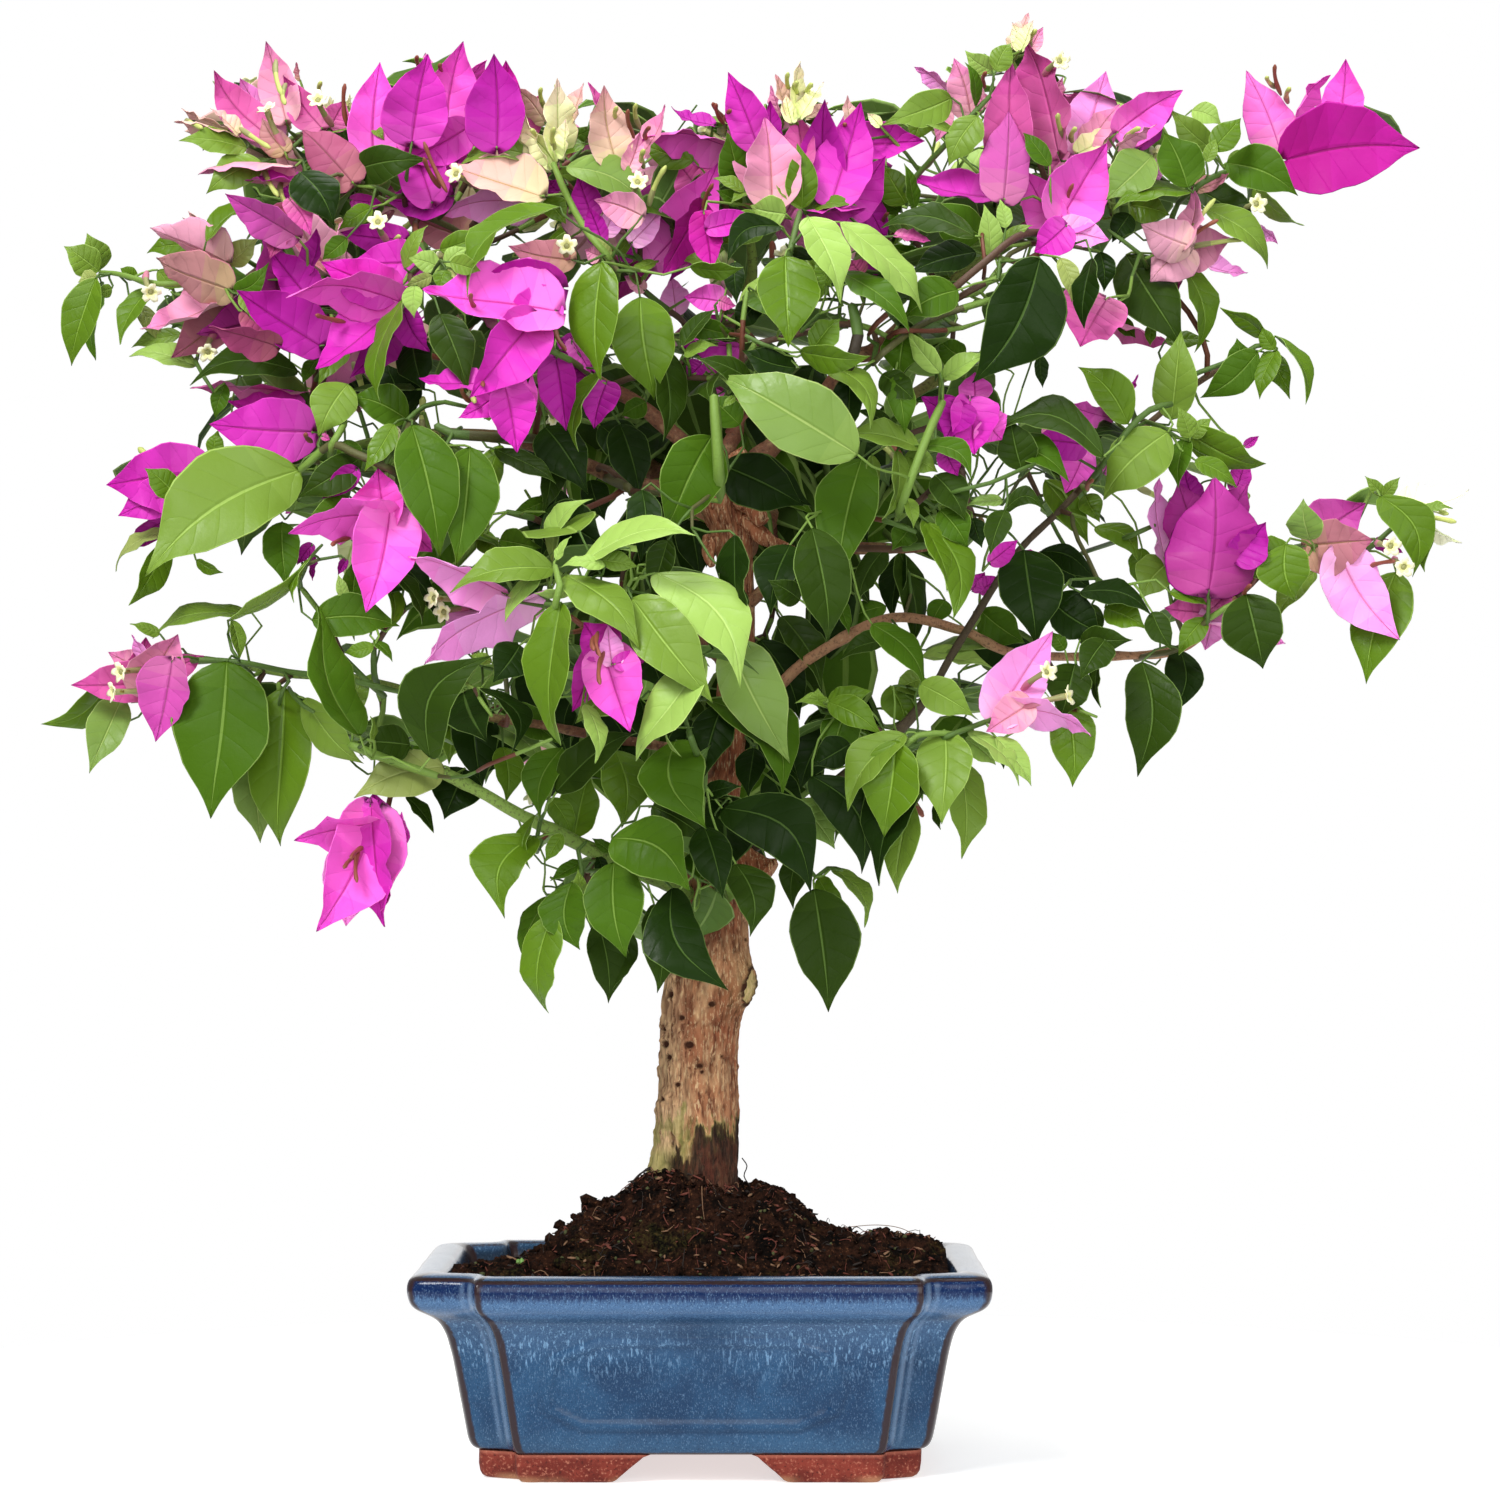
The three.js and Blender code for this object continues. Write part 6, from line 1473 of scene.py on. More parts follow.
    (652, 806, 710, 843, 36, "k", 1), (640, 640, 662, 690, 40, "d", 2), (640, 700, 650, 745, 34, "d", 2), (600, 700, 640, 770, 40, "d", 3), (704, 826, 723, 899, 42, "d", 0), (736, 864, 751, 936, 44, "k", 0, 0.3, -0.1),
    (704, 794, 742, 786, 18, "d", 1), (754, 748, 748, 797, 30, "d", 1), (722, 808, 811, 894, 64, "d", 0, 0.3, -0.26), (802, 850, 793, 909, 28, "k", 1), (798, 800, 835, 849, 36, "h", 1), (814, 889, 829, 1012, 68, "k", 0),
    (818, 878, 851, 919, 24, "n", 1), (832, 868, 866, 927, 18, "f", 0, 0.3, -0.12), (896, 740, 883, 837, 58, "n", 0), (906, 734, 847, 811, 36, "f", 0, 0.3, 0.1), (850, 744, 812, 766, 34, "d", 1),
    (812, 776, 862, 874, 52, "d", 0, 0.3, -0.2), (906, 752, 877, 885, 52, "d", 1, 0.3, -0.06), (906, 750, 912, 815, 34, "k", 1), (910, 802, 895, 893, 36, "f", 1, 0.3, 0), (945, 730, 941, 823, 56, "f", 0),
    (938, 800, 940, 830, 10, "k", 1), (958, 756, 962, 859, 38, "f", 1, 0.3, -0.02), (968, 731, 1021, 784, 18, "l", 0), (996, 737, 1032, 786, 22, "l", 0), (965, 738, 996, 765, 24, "l", 1), (998, 750, 1004, 769, 8, "d", 1),
    (1066, 700, 1073, 787, 46, "n", 1), (760, 720, 800, 780, 44, "d", 2), (770, 770, 800, 830, 40, "d", 2), (760, 700, 730, 760, 40, "d", 3), (835, 720, 800, 790, 44, "d", 2), (850, 700, 830, 770, 40, "m", 2),
    (760, 640, 800, 720, 44, "d", 3), (690, 720, 680, 800, 36, "d", 3), (1262, 576, 1239, 566, 12, "f", 2), (1380, 496, 1414, 577, 44, "n", 0, 0.3, -0.2), (1428, 527, 1424, 572, 18, "n", 1), (1384, 496, 1365, 476, 13, "f", 0),
    (1384, 496, 1400, 477, 13, "f", 0), (1416, 512, 1453, 508, 9, "f", 0), (1396, 572, 1366, 684, 58, "n", 1, 0.3, 0.02),
]
BRACTS = [
    (286, 120, 266, 41, 42, "Q", 1), (266, 134, 214, 70, 44, "P", 1), (276, 140, 240, 78, 46, "L", 2), (322, 128, 283, 75, 36, "P", 1), (300, 80, 296, 62, 6, "U", 2), (285, 152, 262, 118, 28, "U", 0, -1), (352, 182, 302, 130, 50, "V", 0, -1),
    (352, 178, 374, 128, 40, "P", 1), (330, 128, 345, 100, 30, "P", 2), (290, 166, 198, 174, 20, "Q", 0), (296, 236, 225, 194, 40, "W", 0), (290, 208, 270, 259, 34, "V", 1), (290, 200, 311, 236, 26, "P", 0),
    (292, 212, 284, 176, 18, "D", 1), (302, 183, 240, 180, 10, "B", 0), (282, 152, 300, 190, 22, "Q", 1, -1), (236, 136, 174, 121, 14, "S", 0), (228, 130, 181, 109, 12, "S", 1), (238, 134, 210, 108, 12, "S", 0),
    (213, 236, 182, 218, 12, "S", 1), (215, 234, 188, 211, 12, "S", 2), (226, 262, 150, 228, 34, "Q", 1, -1), (230, 290, 157, 257, 44, "U", 0, -1), (232, 297, 140, 329, 30, "Q", 0), (238, 304, 171, 358, 50, "U", 1),
    (276, 346, 208, 327, 32, "V", 0), (246, 312, 276, 345, 30, "V", 1), (320, 346, 237, 290, 56, "D", 1), (312, 302, 270, 248, 40, "D", 2), (396, 290, 321, 262, 50, "B", 0), (400, 302, 286, 299, 46, "M", 0),
    (400, 304, 316, 371, 44, "B", 0), (398, 332, 350, 378, 36, "D", 1), (308, 272, 316, 228, 20, "D", 2), (405, 240, 340, 232, 34, "D", 2), (352, 200, 385, 205, 18, "B", 1), (420, 262, 350, 262, 50, "B", 1),
    (374, 168, 380, 62, 58, "M", 1), (412, 142, 428, 54, 66, "B", 0), (446, 142, 463, 41, 58, "M", 1), (452, 136, 487, 60, 34, "M", 2), (497, 148, 494, 54, 64, "D", 0), (500, 120, 506, 60, 36, "E", 1), (520, 140, 540, 95, 30, "P", 2),
    (432, 202, 398, 122, 50, "B", 1), (450, 196, 384, 200, 42, "D", 1), (446, 178, 464, 142, 26, "B", 1), (474, 240, 402, 208, 44, "U", 2), (468, 128, 400, 162, 46, "B", 1), (540, 196, 449, 165, 48, "S", 0),
    (528, 202, 442, 217, 38, "L", 0), (498, 168, 478, 133, 14, "Q", 1), (558, 156, 557, 78, 36, "C", 0), (550, 168, 524, 112, 20, "C", 0), (554, 163, 515, 129, 24, "C", 0), (568, 128, 584, 83, 18, "S", 1),
    (545, 122, 510, 88, 20, "S", 1), (564, 158, 566, 118, 16, "C", 0), (616, 162, 604, 85, 44, "S", 0), (605, 122, 588, 82, 12, "P", 1), (632, 168, 664, 104, 24, "Q", 1), (628, 170, 640, 132, 22, "Q", 0),
    (642, 216, 594, 200, 36, "Q", 0), (632, 242, 662, 209, 26, "L", 0), (604, 235, 614, 205, 24, "L", 1), (652, 262, 719, 162, 62, "M", 1), (702, 206, 662, 276, 36, "E", 0), (692, 218, 671, 281, 28, "D", 1),
    (704, 214, 711, 270, 34, "E", 0), (713, 125, 671, 107, 12, "D", 1), (726, 146, 640, 140, 28, "M", 1), (700, 190, 680, 165, 50, "P", 2), (592, 216, 578, 176, 32, "D", 1), (602, 242, 588, 206, 24, "D", 1),
    (572, 260, 508, 246, 36, "U", 2), (560, 192, 548, 180, 20, "D", 2), (562, 288, 472, 284, 62, "D", 1), (556, 311, 422, 290, 66, "M", 0), (534, 318, 469, 398, 60, "B", 0), (556, 300, 500, 330, 50, "B", 1),
    (562, 342, 602, 374, 26, "D", 3), (644, 290, 624, 276, 16, "Q", 2), (676, 314, 671, 276, 32, "L", 2), (724, 302, 684, 297, 28, "M", 2), (722, 344, 680, 336, 26, "B", 2), (404, 312, 430, 352, 32, "D", 2),
    (590, 380, 560, 350, 24, "D", 3), (600, 256, 585, 250, 18, "Q", 2), (626, 262, 630, 240, 14, "D", 2), (758, 146, 728, 72, 42, "B", 0), (752, 142, 742, 88, 34, "B", 1), (772, 146, 770, 100, 24, "D", 1),
    (772, 205, 765, 117, 62, "Q", 0), (765, 200, 727, 130, 40, "Q", 1), (803, 172, 795, 111, 36, "P", 1), (796, 118, 800, 61, 16, "C", 0), (788, 119, 776, 74, 14, "S", 0), (780, 116, 771, 85, 10, "Q", 1),
    (800, 118, 824, 82, 18, "C", 0), (792, 122, 786, 94, 16, "C", 0), (806, 118, 828, 102, 12, "S", 1), (835, 198, 825, 99, 50, "D", 1), (832, 202, 861, 102, 62, "B", 0), (848, 147, 925, 141, 40, "B", 1),
    (838, 214, 886, 156, 46, "B", 1), (804, 213, 866, 209, 18, "B", 0), (854, 132, 848, 95, 16, "S", 1), (880, 126, 867, 113, 12, "C", 1), (846, 140, 800, 160, 40, "D", 2), (862, 198, 886, 246, 30, "D", 1),
    (868, 262, 911, 271, 20, "D", 1), (862, 274, 850, 260, 22, "V", 1), (896, 236, 931, 241, 12, "P", 0), (1001, 199, 907, 177, 32, "B", 1), (970, 190, 942, 184, 20, "P", 2), (971, 114, 954, 58, 38, "Q", 1),
    (946, 90, 914, 67, 18, "L", 1), (946, 108, 936, 142, 20, "Q", 2), (708, 229, 758, 216, 28, "B", 0), (720, 300, 736, 306, 14, "P", 2), (985, 108, 978, 90, 18, "Q", 1), (1012, 48, 1029, 13, 16, "S", 1),
    (1020, 50, 1012, 22, 16, "C", 1), (1030, 51, 1043, 27, 16, "Q", 1), (1022, 50, 1033, 20, 14, "C", 0), (1058, 152, 1023, 36, 52, "P", 1), (1050, 102, 1063, 77, 14, "Q", 2), (1055, 96, 1090, 91, 8, "P", 2),
    (1010, 164, 1011, 60, 52, "P", 1), (1004, 199, 1009, 110, 52, "W", 0, -1), (1082, 152, 1106, 71, 58, "L", 1), (1078, 153, 1113, 124, 22, "C", 1), (1084, 151, 1120, 104, 28, "Q", 1), (1118, 132, 1183, 90, 44, "M", 0),
    (1140, 146, 1182, 92, 20, "D", 1), (1135, 142, 1162, 122, 22, "B", 1), (1118, 146, 1156, 124, 12, "Q", 0), (1138, 180, 1168, 162, 30, "L", 1), (1058, 224, 1107, 143, 66, "M", 0), (1052, 234, 1021, 168, 44, "M", 0),
    (1066, 226, 1034, 252, 38, "B", 0), (1060, 228, 1109, 240, 32, "L", 0), (1060, 222, 1028, 212, 36, "B", 1), (1106, 300, 1080, 347, 68, "P", 1), (1112, 319, 1173, 346, 16, "P", 1), (1118, 302, 1068, 304, 24, "D", 1),
    (1182, 248, 1193, 187, 26, "Q", 0), (1190, 246, 1141, 224, 46, "Q", 0, -1), (1188, 246, 1150, 282, 50, "Q", 0, -1), (1182, 250, 1231, 238, 50, "Q", 1), (1196, 262, 1248, 273, 16, "L", 1), (1176, 268, 1178, 292, 14, "P", 2),
    (1250, 222, 1278, 244, 14, "L", 1), (1198, 190, 1229, 173, 16, "U", 1), (1280, 150, 1246, 70, 50, "M", 0, -1), (1291, 126, 1331, 75, 15, "M", 0), (1338, 132, 1346, 59, 46, "M", 1), (1286, 160, 1420, 148, 92, "E", 0),
    (1245, 446, 1259, 436, 10, "B", 1), (1131, 396, 1138, 374, 6, "B", 2), (302, 393, 190, 386, 16, "P", 1), (312, 432, 209, 424, 66, "B", 0), (300, 410, 225, 399, 30, "B", 1), (206, 472, 106, 485, 74, "B", 1), (180, 490, 118, 516, 42, "B", 1),
    (166, 520, 128, 553, 24, "D", 2), (356, 470, 322, 499, 24, "D", 1), (312, 545, 297, 565, 14, "D", 2), (310, 552, 313, 581, 8, "D", 2), (346, 560, 338, 575, 10, "D", 2), (392, 515, 289, 535, 42, "M", 0),
    (390, 510, 366, 613, 70, "M", 0), (388, 524, 378, 468, 58, "M", 1), (388, 512, 432, 552, 50, "M", 1), (322, 436, 330, 440, 8, "P", 1), (480, 384, 419, 378, 24, "B", 0), (505, 386, 517, 453, 50, "B", 0),
    (500, 392, 458, 418, 26, "B", 0), (505, 402, 532, 370, 56, "M", 1), (556, 358, 566, 431, 40, "D", 1), (572, 340, 591, 373, 22, "M", 2), (606, 384, 594, 429, 38, "D", 2), (738, 347, 680, 346, 24, "B", 2),
    (702, 364, 688, 380, 20, "D", 2), (502, 592, 408, 557, 34, "L", 0), (498, 598, 426, 664, 30, "L", 1), (540, 595, 424, 665, 42, "L", 0), (604, 655, 584, 622, 44, "B", 1), (600, 648, 572, 712, 36, "B", 1), (604, 652, 630, 732, 60, "M", 0),
    (612, 664, 608, 625, 26, "L", 0), (615, 664, 653, 652, 20, "B", 0), (720, 330, 690, 320, 24, "B", 3), (968, 425, 921, 397, 40, "D", 1), (975, 400, 975, 372, 34, "M", 1), (970, 400, 975, 455, 50, "B", 1),
    (962, 405, 945, 440, 40, "D", 1), (985, 420, 1002, 440, 40, "M", 1), (945, 450, 958, 476, 26, "B", 1), (1085, 445, 1032, 440, 40, "D", 1), (1085, 450, 1065, 494, 38, "M", 1), (1105, 470, 1142, 428, 24, "M", 1),
    (1112, 418, 1062, 404, 24, "M", 1), (1058, 440, 1042, 422, 20, "Q", 2), (1209, 590, 1214, 476, 99, "D", 0, -1), (1200, 545, 1178, 482, 56, "D", 1, -1), (1214, 545, 1248, 484, 60, "D", 1, -1), (1235, 560, 1266, 522, 40, "D", 0), (1165, 560, 1160, 478, 24, "L", 1), (1235, 490, 1245, 455, 24, "B", 1),
    (1195, 500, 1185, 468, 24, "D", 1), (1207, 612, 1164, 608, 32, "P", 1), (1200, 620, 1285, 645, 26, "L", 1), (1215, 610, 1205, 650, 34, "L", 1), (1210, 610, 1232, 585, 26, "P", 1), (996, 720, 1053, 631, 62, "L", 0),
    (1015, 720, 992, 684, 30, "Q", 0), (1006, 708, 1091, 737, 28, "L", 0), (1030, 704, 986, 732, 42, "Q", 0), (990, 562, 1018, 540, 22, "B", 2), (1015, 560, 1040, 552, 18, "B", 2), (980, 590, 1003, 578, 20, "B", 2),
    (972, 590, 985, 572, 18, "B", 2), (154, 682, 71, 685, 44, "P", 0), (152, 674, 108, 652, 32, "Q", 1), (172, 662, 156, 742, 54, "W", 0), (148, 696, 178, 634, 62, "Q", 0), (150, 694, 146, 637, 44, "P", 1), (152, 672, 131, 635, 14, "L", 0), (152, 680, 204, 656, 32, "P", 1),
    (376, 810, 316, 932, 76, "M", 0), (371, 806, 384, 927, 52, "B", 0), (356, 850, 346, 926, 62, "L", 1), (384, 822, 294, 841, 40, "M", 0), (378, 850, 374, 792, 60, "B", 1), (380, 906, 402, 812, 32, "M", 0), (1312, 544, 1366, 503, 58, "W", 0),
    (1306, 546, 1374, 540, 58, "U", 0), (1338, 550, 1400, 640, 62, "L", 0), (1376, 541, 1403, 553, 14, "D", 1), (1402, 503, 1469, 490, 30, "G", 0), (1420, 521, 1462, 543, 15, "G", 1), (1416, 538, 1434, 538, 10, "P", 1),
]
TUBES = [
    (286, 150, 267, 110, "open", 0), (333, 126, 318, 100, "open", 0), (276, 60, 282, 95, "green", 0), (286, 84, 285, 104, "green", 0), (347, 126, 345, 84, "old", 0), (322, 100, 321, 82, "bud", 1),
    (240, 128, 270, 148, "green", 0), (264, 168, 278, 196, "green", 0), (281, 182, 287, 206, "green", 0), (186, 120, 202, 128, "green", 0), (147, 272, 151, 292, "open", 0), (216, 332, 208, 352, "open", 0),
    (345, 322, 316, 315, "old", 0), (447, 192, 424, 142, "old", 0), (440, 188, 424, 158, "old", 0), (424, 74, 417, 56, "old", 1), (448, 78, 440, 64, "old", 1), (484, 188, 456, 174, "open", 0), (546, 110, 541, 88, "bud", 0),
    (545, 140, 532, 130, "green", 0), (556, 152, 554, 128, "green", 0), (618, 124, 617, 107, "bud", 0), (634, 138, 628, 110, "old", 0), (640, 128, 636, 104, "bud", 0), (646, 140, 650, 127, "old", 1),
    (648, 208, 666, 166, "green", 0), (636, 205, 638, 182, "open", 0), (644, 168, 644, 150, "green", 0), (704, 212, 713, 184, "old", 0), (570, 262, 567, 246, "open", 1), (478, 312, 471, 294, "old", 0),
    (724, 124, 716, 104, "old", 1), (388, 242, 378, 222, "open", 1), (395, 246, 400, 236, "bud", 1), (556, 330, 566, 350, "old", 2), (726, 120, 713, 103, "old", 0), (727, 122, 731, 110, "old", 0), (792, 98, 788, 73, "bud", 0),
    (800, 100, 797, 82, "green", 0), (808, 98, 812, 84, "green", 0), (852, 130, 845, 124, "old", 1), (884, 228, 888, 213, "old", 0), (882, 252, 896, 232, "old", 0), (985, 88, 986, 72, "old", 1), (1044, 76, 1060, 61, "open", 0),
    (1066, 140, 1058, 114, "green", 0), (1072, 142, 1076, 128, "green", 0), (1062, 226, 1060, 174, "old", 0), (1064, 226, 1071, 161, "old", 0), (1067, 215, 1073, 184, "old", 0), (1184, 244, 1215, 199, "green", 0),
    (1184, 243, 1218, 220, "old", 0), (1186, 248, 1246, 239, "green", 0), (1238, 213, 1257, 204, "open", 0), (1281, 95, 1275, 65, "old", 0), (1276, 88, 1267, 77, "bud", 0), (1288, 103, 1290, 88, "green", 0),
    (1125, 140, 1140, 128, "green", 0), (1030, 48, 1036, 30, "green", 0), (312, 442, 306, 434, "old", 0), (350, 538, 332, 545, "old", 0), (470, 402, 462, 388, "old", 0), (492, 372, 483, 386, "old", 0),
    (476, 388, 475, 402, "green", 0), (472, 600, 434, 598, "open", 0), (474, 606, 444, 612, "open", 1), (598, 632, 600, 656, "old", 0), (604, 652, 600, 684, "old", 0), (596, 636, 594, 650, "old", 0),
    (1245, 597, 1251, 585, "old", 0), (1022, 690, 1047, 672, "open", 0), (1022, 708, 1067, 696, "open", 0), (1088, 490, 1093, 480, "old", 0), (156, 668, 121, 672, "open", 0), (158, 690, 114, 692, "open", 0),
    (366, 846, 351, 858, "old", 0), (362, 852, 344, 868, "old", 0), (360, 846, 357, 882, "old", 0), (1376, 543, 1391, 546, "open", 0), (1368, 567, 1395, 561, "old", 0), (1394, 558, 1404, 567, "open", 0),
    (1416, 515, 1456, 522, "green", 0), (1420, 506, 1448, 514, "green", 1),
]
STEMS = [
    ([(185, 284), (160, 284), (140, 280), (118, 274), (100, 272)], 4, "fresh", 0.8), ([(452, 228), (420, 214), (392, 204), (362, 190)], 8, "olive", 0.9),
    ([(606, 254), (590, 236), (574, 210), (562, 185), (553, 163)], -2, "fresh", 1.25), ([(602, 384), (570, 360), (536, 344)], 10, "olive", 1.1), ([(905, 190), (920, 172), (950, 140), (975, 112), (990, 96)], 4, "green", 1.1),
    ([(742, 345), (743, 320), (747, 292)], 6, "red", 0.9), ([(742, 326), (724, 316)], 6, "red", 0.6), ([(746, 336), (762, 344), (774, 348)], 6, "red", 0.7), ([(900, 331), (930, 331), (962, 328), (986, 320)], 8, "red", 0.6),
    ([(884, 352), (930, 320), (1000, 297)], 10, "olive", 1.2), ([(952, 290), (985, 262), (1015, 238), (1040, 233), (1070, 246)], 3, "brown", 1.4), ([(955, 300), (985, 283), (1010, 274)], 8, "brown", 1.2),
    ([(1068, 246), (1100, 252)], 6, "olive", 0.8), ([(1140, 254), (1122, 240), (1108, 230)], 2, "green", 0.8), ([(1200, 372), (1235, 359), (1256, 346), (1272, 344)], 2, "green", 0.9),
    ([(1108, 458), (1128, 430), (1150, 410), (1172, 404)], 0, "green", 1.2), ([(790, 252), (794, 235), (800, 212)], 0, "green", 1.1), ([(941, 402), (941, 380), (938, 362)], -1, "fresh", 1.0),
    ([(1195, 188), (1215, 176), (1240, 168)], 4, "green", 0.8), ([(850, 362), (858, 335), (852, 305)], 8, "dark", 2.0), ([(878, 322), (905, 300)], 10, "red", 1.0), ([(985, 262), (982, 238), (985, 220)], 3, "red", 0.7),
    ([(1000, 262), (998, 280)], 5, "brown", 0.8), ([(384, 466), (352, 452), (332, 444), (312, 460), (300, 470)], 2, "olive", 1.4), ([(332, 444), (344, 424), (341, 402)], 0, "fresh", 1.2),
    ([(408, 420), (425, 406), (445, 402)], 1, "green", 0.9), ([(628, 488), (600, 474), (548, 442), (492, 437), (452, 434), (436, 426)], 8, "olive", 1.7), ([(452, 434), (446, 446), (440, 450)], 6, "green", 0.7),
    ([(532, 518), (507, 512)], 14, "brown", 1.2), ([(545, 528), (536, 508), (525, 490)], 12, "red", 0.6), ([(719, 478), (717, 440), (714, 396)], -3, "fresh", 1.9),
    ([(200, 660), (240, 662), (290, 672), (340, 678), (400, 692)], 2, "green", 1.15), ([(368, 682), (350, 664), (342, 655)], 2, "green", 0.8), ([(374, 672), (374, 648)], 2, "green", 0.6),
    ([(300, 575), (312, 556), (322, 545)], 4, "green", 0.6), ([(556, 602), (560, 585), (555, 566)], -2, "fresh", 1.2), ([(575, 604), (560, 606), (545, 604)], 10, "brown", 1.0),
    ([(410, 422), (404, 440), (392, 450), (384, 466)], 2, "olive", 1.2), ([(196, 362), (206, 380), (214, 392)], 4, "green", 0.8), ([(905, 496), (918, 460), (932, 425), (943, 402)], -3, "fresh", 1.5),
    ([(872, 518), (895, 524), (916, 532)], 2, "red", 0.9), ([(858, 548), (892, 549), (930, 545)], 6, "brown", 1.4), ([(960, 490), (990, 483), (1020, 470), (1040, 462)], 4, "green", 0.7),
    ([(1085, 552), (1120, 540), (1155, 525)], 4, "green", 0.9), ([(1150, 655), (1180, 648), (1210, 618), (1240, 600)], 2, "olive", 1.1), ([(1208, 618), (1209, 580)], 0, "green", 0.7),
    ([(283, 690), (289, 681), (284, 672)], 2, "green", 0.7), ([(294, 696), (304, 706), (314, 712)], 2, "green", 0.8), ([(358, 748), (400, 764), (438, 776)], 2, "fresh", 1.6), ([(490, 764), (516, 754), (552, 739)], 4, "red", 0.7),
    ([(482, 702), (492, 716)], 4, "brown", 0.8), ([(690, 735), (699, 762), (703, 792)], 3, "green", 1.1), ([(904, 746), (918, 735), (934, 733), (958, 734)], 2, "fresh", 1.1),
    ([(808, 868), (816, 877), (828, 868), (842, 870)], 2, "green", 0.8), ([(948, 736), (985, 722), (1022, 709)], 1, "green", 1.0), ([(1084, 712), (1097, 717)], 4, "red", 0.6),
    ([(1310, 544), (1340, 541), (1375, 539)], 0, "green", 0.7), ([(1378, 541), (1402, 520), (1420, 512)], 6, "green", 0.9), ([(1383, 496), (1388, 515)], 4, "green", 0.8),
    ([(578, 905), (582, 870), (578, 850), (586, 842)], 2, "green", 0.8), ([(537, 838), (540, 822), (545, 812)], 2, "green", 0.7), ([(240, 662), (232, 650), (228, 634)], 2, "green", 0.7),
]
# TABLES END
# open sky inside the crown: centre x, y, half width, half height
SKY = [
    (215, 256, 15, 16), (256, 264, 14, 12), (130, 250, 18, 20), (128, 312, 12, 30), (340, 257, 8, 8), (270, 620, 26, 28), (120, 610, 40, 26), (200, 645, 40, 10), (300, 640, 9, 22), (332, 792, 24, 50), (440, 860, 50, 50), (505, 450, 14, 9), (478, 424, 12, 7),
    (508, 490, 12, 13), (530, 480, 10, 8), (594, 501, 8, 8), (690, 515, 12, 12), (530, 590, 9, 8), (908, 150, 14, 22), (1040, 262, 14, 10), (1128, 376, 34, 26), (1080, 372, 14, 24), (1010, 392, 24, 10), (990, 485, 12, 16), (1030, 426, 13, 9),
    (1270, 440, 40, 60), (1270, 522, 24, 14), (1240, 280, 30, 22), (900, 575, 12, 22), (985, 545, 10, 12), (955, 612, 10, 10), (865, 596, 10, 10), (870, 650, 18, 12), (762, 625, 8, 8), (800, 618, 8, 8), (1120, 548, 12, 10), (1215, 720, 60, 50),
    (1030, 780, 60, 50), (560, 905, 8, 8), (470, 860, 14, 50), (650, 905, 10, 14), (530, 785, 14, 20), (600, 815, 10, 8), (770, 900, 12, 20), (1340, 470, 30, 30), (1390, 620, 20, 60), (1340, 300, 60, 90), (1290, 590, 14, 20),
    (1140, 640, 12, 22), (1335, 615, 28, 48), (1205, 305, 10, 26), (982, 805, 16, 42), (432, 670, 26, 18), (1030, 492, 22, 16), (306, 765, 12, 34), (676, 118, 22, 12), (968, 340, 16, 16), (66, 682, 20, 22), (926, 575, 12, 20), (876, 683, 14, 12),
    (255, 262, 14, 12), (126, 313, 11, 20), (851, 948, 10, 30), (921, 419, 10, 16), (522, 928, 10, 22), (317, 904, 8, 20), (610, 505, 9, 20), (541, 880, 12, 12), (118, 742, 16, 16), (936, 640, 14, 10), (381, 710, 8, 18), (170, 740, 10, 22), (622, 576, 13, 14), (838, 855, 12, 12),
]


def scale_at(y):
    return FOCAL / (y - EYE[1])


hero_leaves, hero_bracts = [], []
fbag, lbag, tbag = Bag(), Bag(), Bag()
CELL = 10
cover = np.full((160, 160), 1e9)
covered = np.zeros((160, 160), bool)


def mark(px, py, wpx, y):
    """Notes that something placed stands at depth y here, so that nothing else goes in front of it."""
    r = 0.5 * wpx + 2
    for a in range(int((py - r) // CELL), int((py + r) // CELL) + 1):
        for b_ in range(int((px - r) // CELL), int((px + r) // CELL) + 1):
            if 0 <= a < 160 and 0 <= b_ < 160:
                cover[a, b_] = min(cover[a, b_], y)
                if math.hypot((b_ + 0.5) * CELL - px, (a + 0.5) * CELL - py) < max(r, 7.0):
                    covered[a, b_] = True


near_y = np.full((160, 160), 1e9)
placed = {}
# limbs seen between the leaves: points, depth; leaves of the layers behind stay behind them
BARS = [
    ([(440, 776), (475, 788), (510, 806), (545, 830), (575, 842), (610, 856), (645, 872)], -50.0), ([(850, 626), (880, 618), (920, 617), (960, 632), (1000, 648), (1040, 656)], -15.0),
    ([(905, 735), (930, 680), (955, 640), (985, 600), (1020, 560), (1060, 520), (1090, 485)], -24.0), ([(470, 712), (520, 728), (570, 738), (610, 740)], -24.0), ([(716, 470), (718, 520), (716, 560)], -14.0),
]
bar_cells = {}
for line_, y_ in BARS:
    for (xa, ya), (xb, yb) in zip(line_[:-1], line_[1:]):
        for u in np.linspace(0, 1, 12):
            bar_cells[int((ya + (yb - ya) * u) // CELL), int((xa + (xb - xa) * u) // CELL)] = y_


def cells(bx, by, tx_, ty_, w):
    out = set()
    for u, k in ((0.2, 0.6), (0.35, 0.8), (0.5, 0.8), (0.65, 0.65), (0.8, 0.4)):
        cx, cy, h = bx + (tx_ - bx) * u, by + (ty_ - by) * u, 0.5 * w * k
        for i in range(int((cy - h) // CELL), int((cy + h) // CELL) + 1):
            for j in range(int((cx - h) // CELL), int((cx + h) // CELL) + 1):
                if 0 <= i < 160 and 0 <= j < 160:
                    out.add((i, j))
    return list(out)


